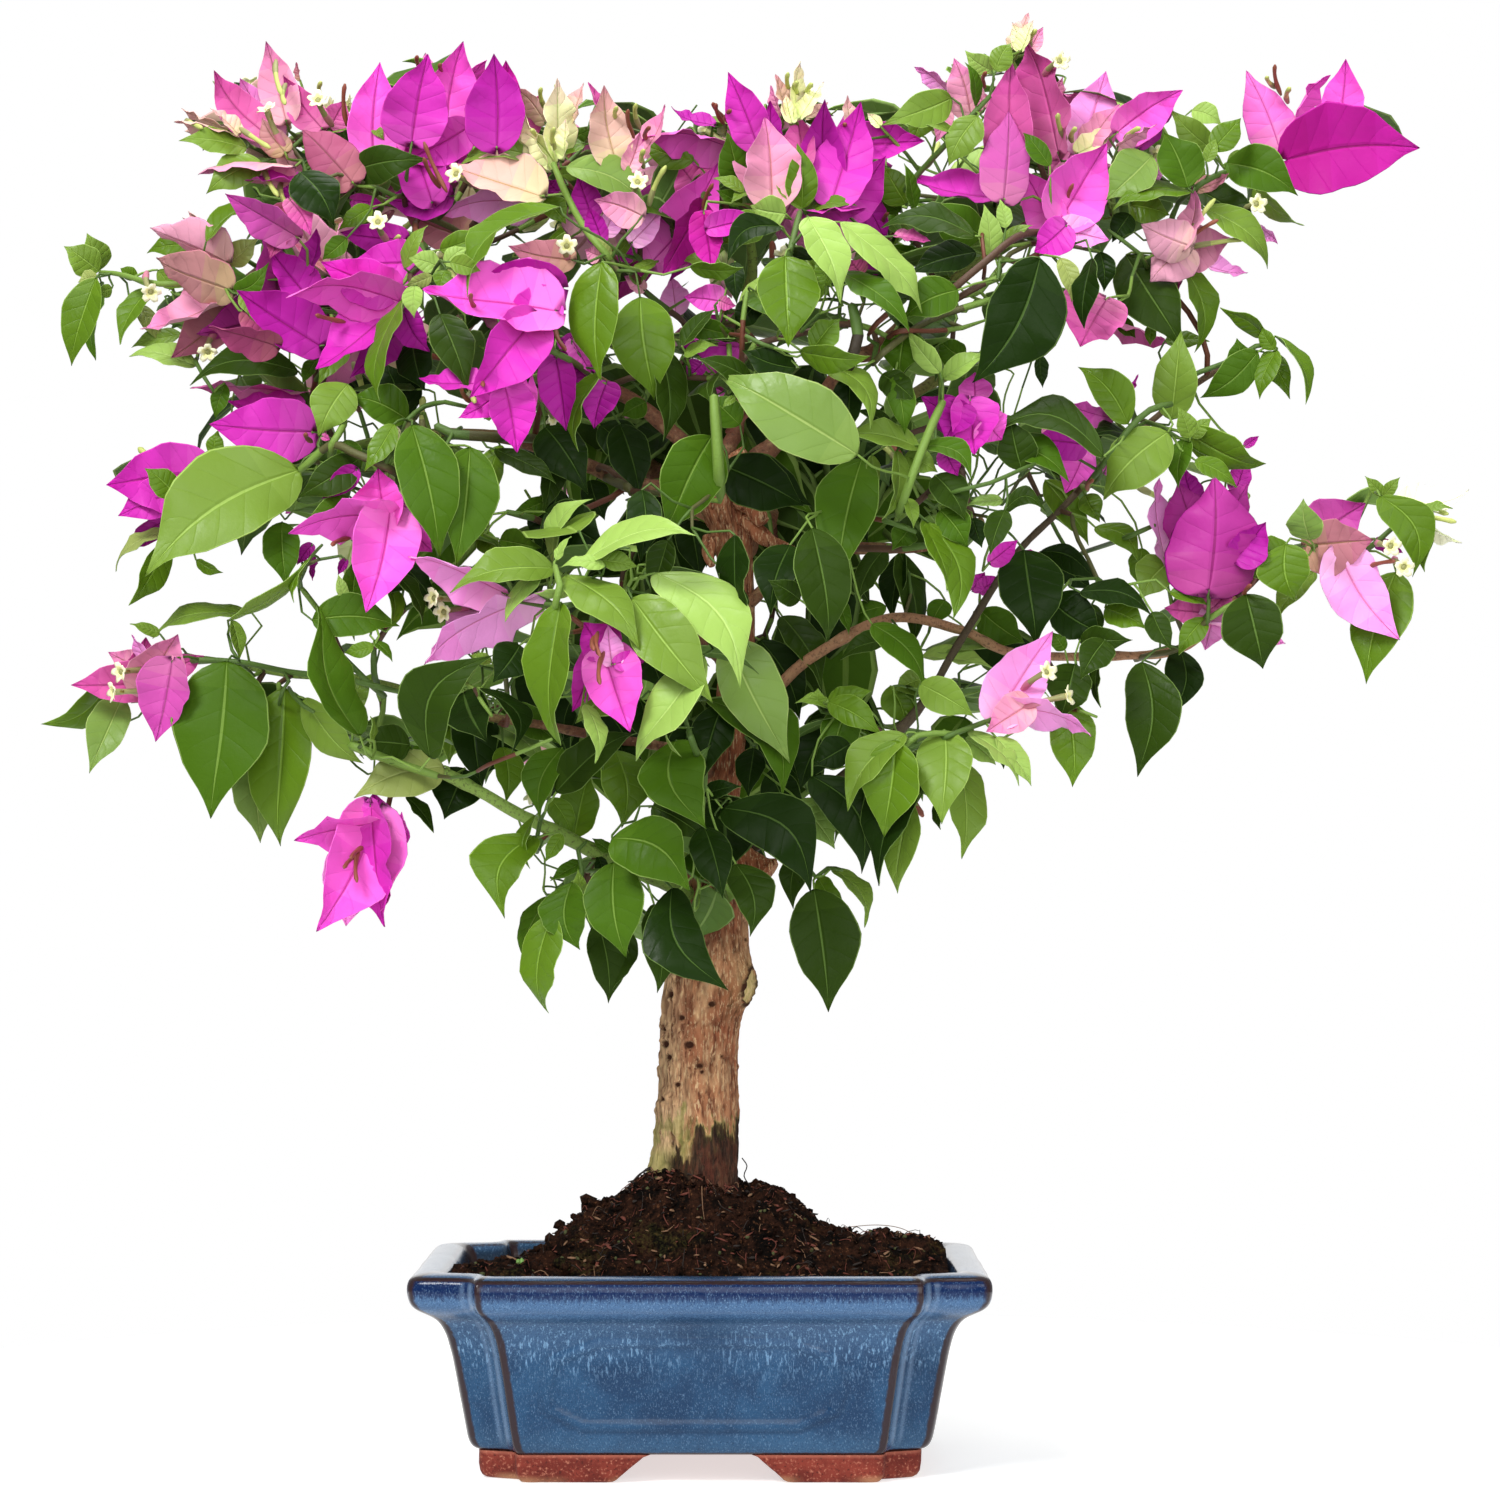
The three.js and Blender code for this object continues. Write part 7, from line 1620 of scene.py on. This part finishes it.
def settle():
    """Depths for all that is placed, the furthest layer first, each in front of what it covers of the layers behind."""
    rows = [(r[6], 0, k, r) for k, r in enumerate(LEAVES)] + [(r[6], 1, k, r) for k, r in enumerate(BRACTS)]
    rows.sort(key=lambda t: (-t[0], t[1], t[2]))
    level, fresh = None, []
    for layer, kind, k, r in rows:
        if layer != level:
            for c, y in fresh:
                for i, j in c:
                    near_y[i, j] = min(near_y[i, j], y)
            level, fresh = layer, []
        c = cells(*r[:5])
        y = front_depth((r[0] + r[2]) / 2, (r[1] + r[3]) / 2) + 9.0 * layer
        under = sorted(near_y[i, j] for i, j in c)
        under = [v for v in under if v < 1e8]
        if under:
            y = min(y, under[len(under) // 6] - 6.5)
        bars = [bar_cells[q] for q in c if q in bar_cells]
        if bars and layer >= 1:
            y = max(y, max(bars) + 5 + 3 * layer)
        elif bars:
            y = min(y, min(bars) - 5)
        y = max(y, -150.0)
        placed[kind, k] = y
        fresh.append((c, y))


settle()


def hero_frame(bx, by, tx_, ty_, y0, lean):
    s = scale_at(y0)
    L = math.hypot(tx_ - bx, ty_ - by) / s
    base, tip = pt(bx, by, y0 + lean * L), pt(tx_, ty_, y0 - lean * L)
    return base, tip, y0, s, L


late = []
for num, row in enumerate(LEAVES):
    bx, by, tx_, ty_, w, cls, layer = row[:7]
    fold = rng.uniform(0.22, 0.52)
    lean = rng.uniform(-0.08, 0.22)
    base, tip, y0, s, L = hero_frame(bx, by, tx_, ty_, placed[0, num], lean)
    d = unit(tip - base)
    L3 = float(np.linalg.norm(tip - base))
    view = unit(EYE - (base + tip) / 2)
    n0 = unit(view - d * (view @ d))
    under = cls[0] == "u"
    cls = cls[-1]
    wv = w / s
    full = wv / math.cos(abs(fold))
    if full < 0.46 * L3:
        want = 0.50 * L3
        roll = math.acos(max(0.25, full / want))
        full = full / math.cos(roll)
    else:
        roll = rng.uniform(0.05, 0.35)
        full = full / math.cos(roll)
    cand = [turn(n0, d, roll), turn(n0, d, -roll)]
    nrm = max(cand, key=lambda v: v[2]) if rng.random() < 0.85 else min(cand, key=lambda v: v[2])
    if under:
        nrm = -min(cand, key=lambda v: v[2])
        fold = -abs(fold)
    sd = rng.integers(0, 1000)
    hero_leaves.append(dict(base=base, tip=tip, nrm=nrm, width=full, fold=fold, bend=rng.uniform(0.04, 0.16) * (-1 if under else 1), twist=rng.normal(0, 0.30), wave=rng.uniform(0.02, 0.06), curl=rng.uniform(0.05, 0.32),
                            hook=rng.uniform(0.0, 0.12), skew=row[8] if len(row) > 8 else rng.normal(0, 0.035), seed=sd, mats=leaf_slots(cls)))
    for u, k in ((0.15, 0.6), (0.35, 0.95), (0.55, 0.9), (0.75, 0.6), (0.92, 0.2)):
        mark(bx + (tx_ - bx) * u, by + (ty_ - by) * u, w * k, y0)
    late.append((y0, base, d, 1.0, 9.0, cls))

for num, row in enumerate(BRACTS):
    bx, by, tx_, ty_, w, cls, layer = row[:7]
    face = row[7] if len(row) > 7 else 1  # 1: its inner face looks at the viewer, -1: its outer face
    lean = rng.uniform(-0.05, 0.2) * face
    base, tip, y0, s, L = hero_frame(bx, by, tx_, ty_, placed[1, num], lean)
    d = unit(tip - base)
    L3 = float(np.linalg.norm(tip - base))
    view = unit(EYE - (base + tip) / 2)
    n0 = unit(view - d * (view @ d)) * face
    wv = w / s
    full = wv
    if full < 0.5 * L3:
        want = 0.62 * L3
        roll = math.acos(max(0.25, full / want))
    else:
        roll = rng.uniform(0.0, 0.3)
    full = full / math.cos(roll)
    nrm = turn(n0, d, roll * (1 if rng.random() < 0.5 else -1))
    hero_bracts.append(dict(base=base, tip=tip, nrm=nrm, width=full * 1.03, fold=rng.uniform(0.18, 0.46), bend=rng.uniform(-0.14, 0.04), twist=rng.normal(0, 0.28), wave=rng.uniform(0.045, 0.085), curl=-rng.uniform(-0.1, 0.35),
                            hook=-rng.uniform(-0.04, 0.05), skew=rng.normal(0, 0.03), seed=int(rng.integers(0, 1000)), mats=bract_slots(cls)))
    for u, k in ((0.12, 0.7), (0.35, 0.95), (0.6, 0.85), (0.85, 0.4)):
        mark(bx + (tx_ - bx) * u, by + (ty_ - by) * u, w * k, y0)

for row in TUBES:
    ax, ay, bx, by, state, layer = row[:6]
    y0 = front_depth((ax + bx) / 2, (ay + by) / 2) + 9.0 * layer - 3
    s = scale_at(y0)
    L = math.hypot(bx - ax, by - ay) / s
    toward = math.sqrt(max(0.0, 17.0**2 - L**2)) if L < 17 else 4.0
    a, b_ = pt(ax, ay, y0 + toward * 0.5), pt(bx, by, y0 - toward * 0.5)
    flower_tube(fbag, a, b_, state, {"open": 1.2, "old": 0.85, "bud": 0.9, "green": 1.0}[state])
    mark((ax + bx) / 2, (ay + by) / 2, 20, y0)

# stems drawn through listed points: points with x, y, then depth from the foliage's front, tone and radius
for pts_, depth, tone, rad in STEMS:
    q = []
    for px, py in pts_:
        q.append(pt(px, py, front_depth(px, py) + depth))
    SK.line(q, flow=1.5, tone=tone, floor=rad)

# the leaves' own stems, the deepest first, so that those in front spring from what is behind them
flower_bases = []
seen = set()
for it in hero_bracts:
    key = tuple(np.round(it["base"] / 9).astype(int))
    if key in seen:
        continue
    seen.add(key)
    flower_bases.append((it["base"][1], it["base"], unit(unit(it["tip"] - it["base"]) + [0, -0.5, 0.2]), 1.6, 7.0, "flower"))
for y0, base, d, flow, pet, cls in sorted(late + flower_bases, key=lambda t: -t[0]):
    aim = unit(d + np.array([0, -0.35, 0.15])) if cls == "flower" else unit(d + np.array([0, -0.25, 0.25]))
    SK.grow(base, aim, flow, petiole=pet, floor=0.0)


def in_sky(px, py, pad=1.15):
    return any(abs(px - sx) < sw * 1.2 and abs(py - sy) < sh * 1.2 and ((px - sx) / sw) ** 2 + ((py - sy) / sh) ** 2 < pad for sx, sy, sw, sh in SKY)


far = []
brng = np.random.default_rng(SEED + 5)
for ring, count in ((0.45, 42), (0.75, 48), (1.0, 34)):
    for k in range(count):
        a = 2 * math.pi * (k + brng.uniform(-0.4, 0.4)) / count
        px, py = 740 + 235 * ring * math.cos(a) + brng.normal(0, 22), 560 + 190 * ring * math.sin(a) + brng.normal(0, 20)
        t = math.pi / 2 + brng.normal(0, 0.75)
        ln = brng.uniform(80, 125)
        qx, qy = px + ln * math.cos(t), py + ln * math.sin(t)
        across = (-math.sin(t) * 0.22 * ln, math.cos(t) * 0.22 * ln)
        if any(in_sky(px + (qx - px) * u + across[0] * k_, py + (qy - py) * u + across[1] * k_, 1.3) for u, k_ in ((0, 0), (0.25, 0), (0.5, 0), (0.75, 0), (1, 0), (0.4, 1), (0.4, -1))):
            continue
        y = brng.uniform(24, 74)
        b0, b1 = pt(px, py, y), pt(qx, qy, y - brng.uniform(-10, 14))
        d = unit(b1 - b0)
        view = unit(EYE - b0)
        n0 = turn(unit(view - d * (view @ d)), d, brng.normal(0, 0.5))
        L3 = float(np.linalg.norm(b1 - b0))
        far.append(dict(base=b0, tip=b1, nrm=n0, width=L3 * brng.uniform(0.5, 0.6), fold=brng.uniform(0.1, 0.4), bend=brng.uniform(0.02, 0.14), twist=brng.normal(0, 0.25), wave=0.03, curl=0.1, hook=0.05, skew=brng.normal(0, 0.04),
                        seed=int(brng.integers(0, 1000)), mats=leaf_slots("ddkkm"[int(brng.integers(0, 5))])))
        SK.grow(b0, unit(d + np.array([0, 0.1, 0.25])), 0.8, petiole=8.0)


# ---------------------------------------------------------------- sprays grown by rule behind and around them
def in_crown(px, py, pad=0.0):
    d = unit(pt(px, py, 0) - EYE)
    o = (EYE - MC) / (MR * (1 - pad))
    e = d / (MR * (1 - pad))
    a, b, c_ = (e * e).sum(1), (e * o).sum(1), (o * o).sum(1) - 1
    return bool((b * b - a * c_ > 0).any())


def clear(p, front=True, size=18, pad=0.05):
    px, py = proj(p)
    for sx, sy, sw, sh in SKY:
        if abs(px - sx) < sw and abs(py - sy) < sh and ((px - sx) / sw) ** 2 + ((py - sy) / sh) ** 2 < 1.15:
            return False
    i, j = int(py // CELL), int(px // CELL)
    if not (0 <= i < 160 and 0 <= j < 160):
        return False
    lo_ = cover[max(0, i - 1) : i + 2, max(0, j - 1) : j + 2].min()
    if lo_ < 1e8 and p[1] < lo_ + 7:
        return False
    if not covered[i, j]:
        return False
    return in_crown(px, py, pad)


grng = np.random.default_rng(SEED + 11)
fill_leaves, fill_back, fill_bracts = [], [], []
names = list(MASSES)
vol = (MR.prod(1)) ** 0.8
share = vol / vol.sum()
COUNT = {True: 210, False: 175}
for k, name in enumerate(names):
    back = name.startswith("back")
    want = max(3, int(round(share[k] * 520)))
    made = tries = 0
    while made < want and tries < want * 14:
        tries += 1
        u = unit(grng.normal(0, 1, 3))
        if not back and u[1] < -0.3 and grng.random() < 0.6:
            u[1] = -u[1]
        rad = grng.uniform(0.45, 0.88)
        base = MC[k] + u * MR[k] * rad * 0.8
        out = unit(u * [1, 1, 0.8] + [0, 0, 0.35] + grng.normal(0, 0.35, 3))
        n_l = int(grng.integers(2, 6))
        Ls = grng.uniform(8, 11) * n_l * 0.62
        droop = grng.uniform(0.0, 0.5)
        tip_ = base + out * Ls + [0, 0, -Ls * droop * 0.4]
        group, ok = [], True
        bright = grng.random()
        high = (MC[k, 2] + u[2] * MR[k, 2]) > 400
        if back:
            cls_set = "dkmn" if bright < 0.6 else "mnfl"
        else:
            cls_set = "dkm" if bright < 0.5 else "kmn" if bright < 0.75 else "mnf" if bright < 0.9 else "fl"
        for q in range(n_l):
            t = (q + 0.5) / n_l
            at = base + (tip_ - base) * t + [0, 0, 2.0 * math.sin(math.pi * t)]
            ang = q * 2.4 + grng.uniform(-0.4, 0.4)
            a = unit(np.cross(out, [0.1, 0.2, 1.0]))
            b_ = np.cross(out, a)
            sd = math.cos(ang) * a + math.sin(ang) * b_ * 0.6
            dl = unit(out * grng.uniform(0.3, 0.8) + sd * 0.9 + [0, 0, -grng.uniform(0.1, 0.7)])
            ln = grng.uniform(38, 60) * (0.62 if q == n_l - 1 and grng.random() < 0.6 else 1)
            pet_ = at + dl * 6 + [0, 0, 1.5]
            lt = pet_ + dl * ln
            c_ = MC[k]
            if np.linalg.norm((lt - c_) / (MR[k] * 1.30)) > 1.0:
                lt = pet_ + (lt - pet_) * 0.7
                if np.linalg.norm((lt - c_) / (MR[k] * 1.32)) > 1.0:
                    continue
            if not all(clear(pet_ + (lt - pet_) * v_) for v_ in (0.0, 0.25, 0.5, 0.75, 1.0)):
                continue
            up = unit(np.array([0, 0, 1.0]) + 0.5 * u + grng.normal(0, 0.28, 3))
            nrm = unit(up - dl * (up @ dl))
            beside = np.cross(dl, nrm) * 0.20 * float(np.linalg.norm(lt - pet_))
            if not (clear(pet_ + (lt - pet_) * 0.4 + beside) and clear(pet_ + (lt - pet_) * 0.4 - beside)):
                continue
            cls_ = cls_set[int(grng.integers(0, len(cls_set)))]
            ll = float(np.linalg.norm(lt - pet_))
            group.append((at, pet_, lt, dl, dict(base=pet_, tip=lt, nrm=nrm, width=ll * grng.uniform(0.50, 0.62), fold=grng.uniform(0.1, 0.4), bend=grng.uniform(0.02, 0.14), twist=grng.normal(0, 0.25), wave=grng.uniform(0.01, 0.05),
                                                 curl=grng.uniform(0, 0.2), hook=grng.uniform(0, 0.1), skew=grng.normal(0, 0.04), seed=int(grng.integers(0, 1000)), mats=leaf_slots(cls_))))
        if len(group) < 1:
            continue
        ids = SK.grow(base, out, 0.01, petiole=0.0, wiggle=0.05)
        twig_ = SK.grow(tip_ if len(group) > 1 else group[0][0], out, 0.01, start=ids[-1], petiole=0.0, wiggle=0.02)
        arr = np.array([SK.pos[i] for i in twig_])
        for at, pet_, lt, dl, it in group:
            st = twig_[int(np.argmin(np.linalg.norm(arr - at, axis=1)))]
            SK.grow(pet_, dl, 0.8, start=st, petiole=50, wiggle=0.02)
            (fill_back if back or MC[k, 1] + u[1] * MR[k, 1] > 25 else fill_leaves).append(it)
        made += 1

# blossom above, at the sides and behind
made = tries = 0
while made < 62 and tries < 6000:
    tries += 1
    k = int(grng.choice(len(names), p=share))
    u = unit(grng.normal(0, 1, 3) + [0, 0.5, 0.25])
    p = MC[k] + u * MR[k] * grng.uniform(0.78, 0.95)
    if u[1] < 0.0 or p[2] < 215 or (p[2] < 345 and not names[k].startswith("back")):
        continue
    out = unit(u + [0, 0, 0.35])
    cls_ = "DBBPPQQCS"[int(grng.integers(0, 9))]
    rr = grng.uniform(24, 33) * (0.75 if cls_ in "CS" else 1)
    a = unit(np.cross(out, [0.1, 0.2, 1.0]))
    b_ = np.cross(out, a)
    spread = grng.uniform(0.35, 0.95)
    ok, group = True, []
    base = p - out * rr * 0.35
    if not clear(base):
        continue
    for q in range(3):
        ang = q * 2.094 + grng.uniform(-0.2, 0.2)
        sd = math.cos(ang) * a + math.sin(ang) * b_
        dl = unit(out * (1.15 - spread) + sd * spread)
        foot_ = base + sd * 1.2
        lt = foot_ + dl * rr
        beside = unit(np.cross(dl, [0, 1.0, 0])) * rr * 0.3
        if not all(clear(q_) for q_ in (lt, (foot_ + lt) / 2, foot_ + dl * rr * 0.75, (foot_ + lt) / 2 + beside, (foot_ + lt) / 2 - beside)):
            ok = False
            break
        nrm = unit(out - dl * (out @ dl)) if spread > 0.3 else unit(-sd)
        group.append(dict(base=foot_, tip=lt, nrm=nrm, width=rr * grng.uniform(0.68, 0.82), fold=grng.uniform(0.1, 0.3), bend=-grng.uniform(0.02, 0.12), twist=grng.normal(0, 0.2), wave=grng.uniform(0.03, 0.06), curl=-grng.uniform(0, 0.25),
                          hook=grng.normal(0, 0.03), skew=grng.normal(0, 0.03), seed=int(grng.integers(0, 1000)), mats=bract_slots(cls_)))
        flower_tube(fbag, foot_ + out * 1.0, foot_ + out * rr * 0.55 + sd * rr * 0.16, ["open", "old", "bud"][int(grng.integers(0, 3))]) if ok else None
    if not ok:
        continue
    fill_bracts += group
    SK.grow(base, out, 1.4, petiole=7, wiggle=0.05)
    made += 1

# ---------------------------------------------------------------- meshes of the crown
blades(lbag, hero_leaves[::2], 17, 10, "leaf")
lbag2 = Bag()
blades(lbag2, hero_leaves[1::2], 17, 10, "leaf")
lf = Bag()
blades(lf, fill_leaves, 9, 8, "leaf")
lk = Bag()
blades(lk, fill_back + far, 8, 6, "leaf")
bb = Bag()
blades(bb, hero_bracts, 17, 10, "bract")
bf = Bag()
blades(bf, fill_bracts, 9, 8, "bract")
SK.draw(tbag)
front_masses = ["mass_" + n for n in MASSES if not n.startswith("back")]
back_masses = ["mass_" + n for n in MASSES if n.startswith("back")]
tri_count = {}
for name, bag, mats, slot_, masses_ in (
    ("leaves_seen", lbag, leaf_mats, "leaves", front_masses), ("leaves_seen_too", lbag2, leaf_mats, "leaves", front_masses), ("leaves_within", lf, leaf_mats, "leaves", front_masses), ("leaves_behind", lk, leaf_mats, "leaves", back_masses),
    ("bracts_seen", bb, bract_mats, "bracts", front_masses), ("bracts_behind", bf, bract_mats, "bracts", back_masses), ("flower_tubes", fbag, bract_mats, "bracts", front_masses), ("twigs", tbag, twig_mats, "limb_bark", front_masses + back_masses),
):
    if not bag.n:
        continue
    tri_count[name] = bag.triangles()
    ob = bag.build(name, mats)
    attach(ob, "root")
    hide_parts(*masses_)
print("TRIANGLES", tri_count, "soil", soil.triangles(), "pot", pot.triangles(), "trunk", trunk.triangles(), "limbs", limb.triangles())


# ---------------------------------------------------------------- floor and light
floor_me = bpy.data.meshes.new("floor")
n = 96
t = 2 * np.pi * np.arange(n) / n
floor_me.from_pydata([(0.46 * math.cos(a), 0.46 * math.sin(a), 0.0) for a in t], [], [list(range(n))])
floor = bpy.data.objects.new("floor", floor_me)
scene.collection.objects.link(floor)
fm, nt, b = new_mat("floor")
b.inputs["Base Color"].default_value = (0.6, 0.6, 0.6, 1)
b.inputs["Emission Color"].default_value = (1, 1, 1, 1)
b.inputs["Emission Strength"].default_value = 0.62
b.inputs["Roughness"].default_value = 0.9
b.inputs["Specular IOR Level"].default_value = 0.1
floor_me.materials.append(fm)

world = bpy.data.worlds.new("world")
scene.world = world
world.use_nodes = True
bg = world.node_tree.nodes["Background"]
bg.inputs["Color"].default_value = (1, 1, 1, 1)
seen_ray = world.node_tree.nodes.new("ShaderNodeLightPath")
level = world.node_tree.nodes.new("ShaderNodeMapRange")
level.inputs["To Min"].default_value = 0.32
level.inputs["To Max"].default_value = 1.0
world.node_tree.links.new(seen_ray.outputs["Is Camera Ray"], level.inputs["Value"])
world.node_tree.links.new(level.outputs["Result"], bg.inputs["Strength"])


def area(name, at, aim, size, power, colour=(1, 1, 1)):
    li = bpy.data.lights.new(name, "AREA")
    li.shape = "DISK"
    li.size = size
    li.energy = power
    li.color = colour
    ob = bpy.data.objects.new(name, li)
    scene.collection.objects.link(ob)
    ob.location = at
    from mathutils import Vector
    ob.rotation_euler = (Vector(aim) - Vector(at)).to_track_quat("-Z", "Y").to_euler()
    return ob


area("key", (-0.9, -1.5, 1.6), (0, 0, 0.25), 0.7, 38)
area("front", (0.15, -2.2, 0.75), (0, 0, 0.28), 1.5, 20)
area("fill", (1.3, -1.4, 0.9), (0, 0, 0.25), 0.9, 8)
area("top", (0.1, 0.1, 1.9), (0, 0, 0.3), 1.0, 18)
behind = area("behind", (0.0, 1.9, 0.40), (0, 0, 0.08), 1.6, 5)
behind.visible_camera = False

scene.view_settings.view_transform = "Standard"
scene.view_settings.look = "None"
scene.view_settings.exposure = 0.0
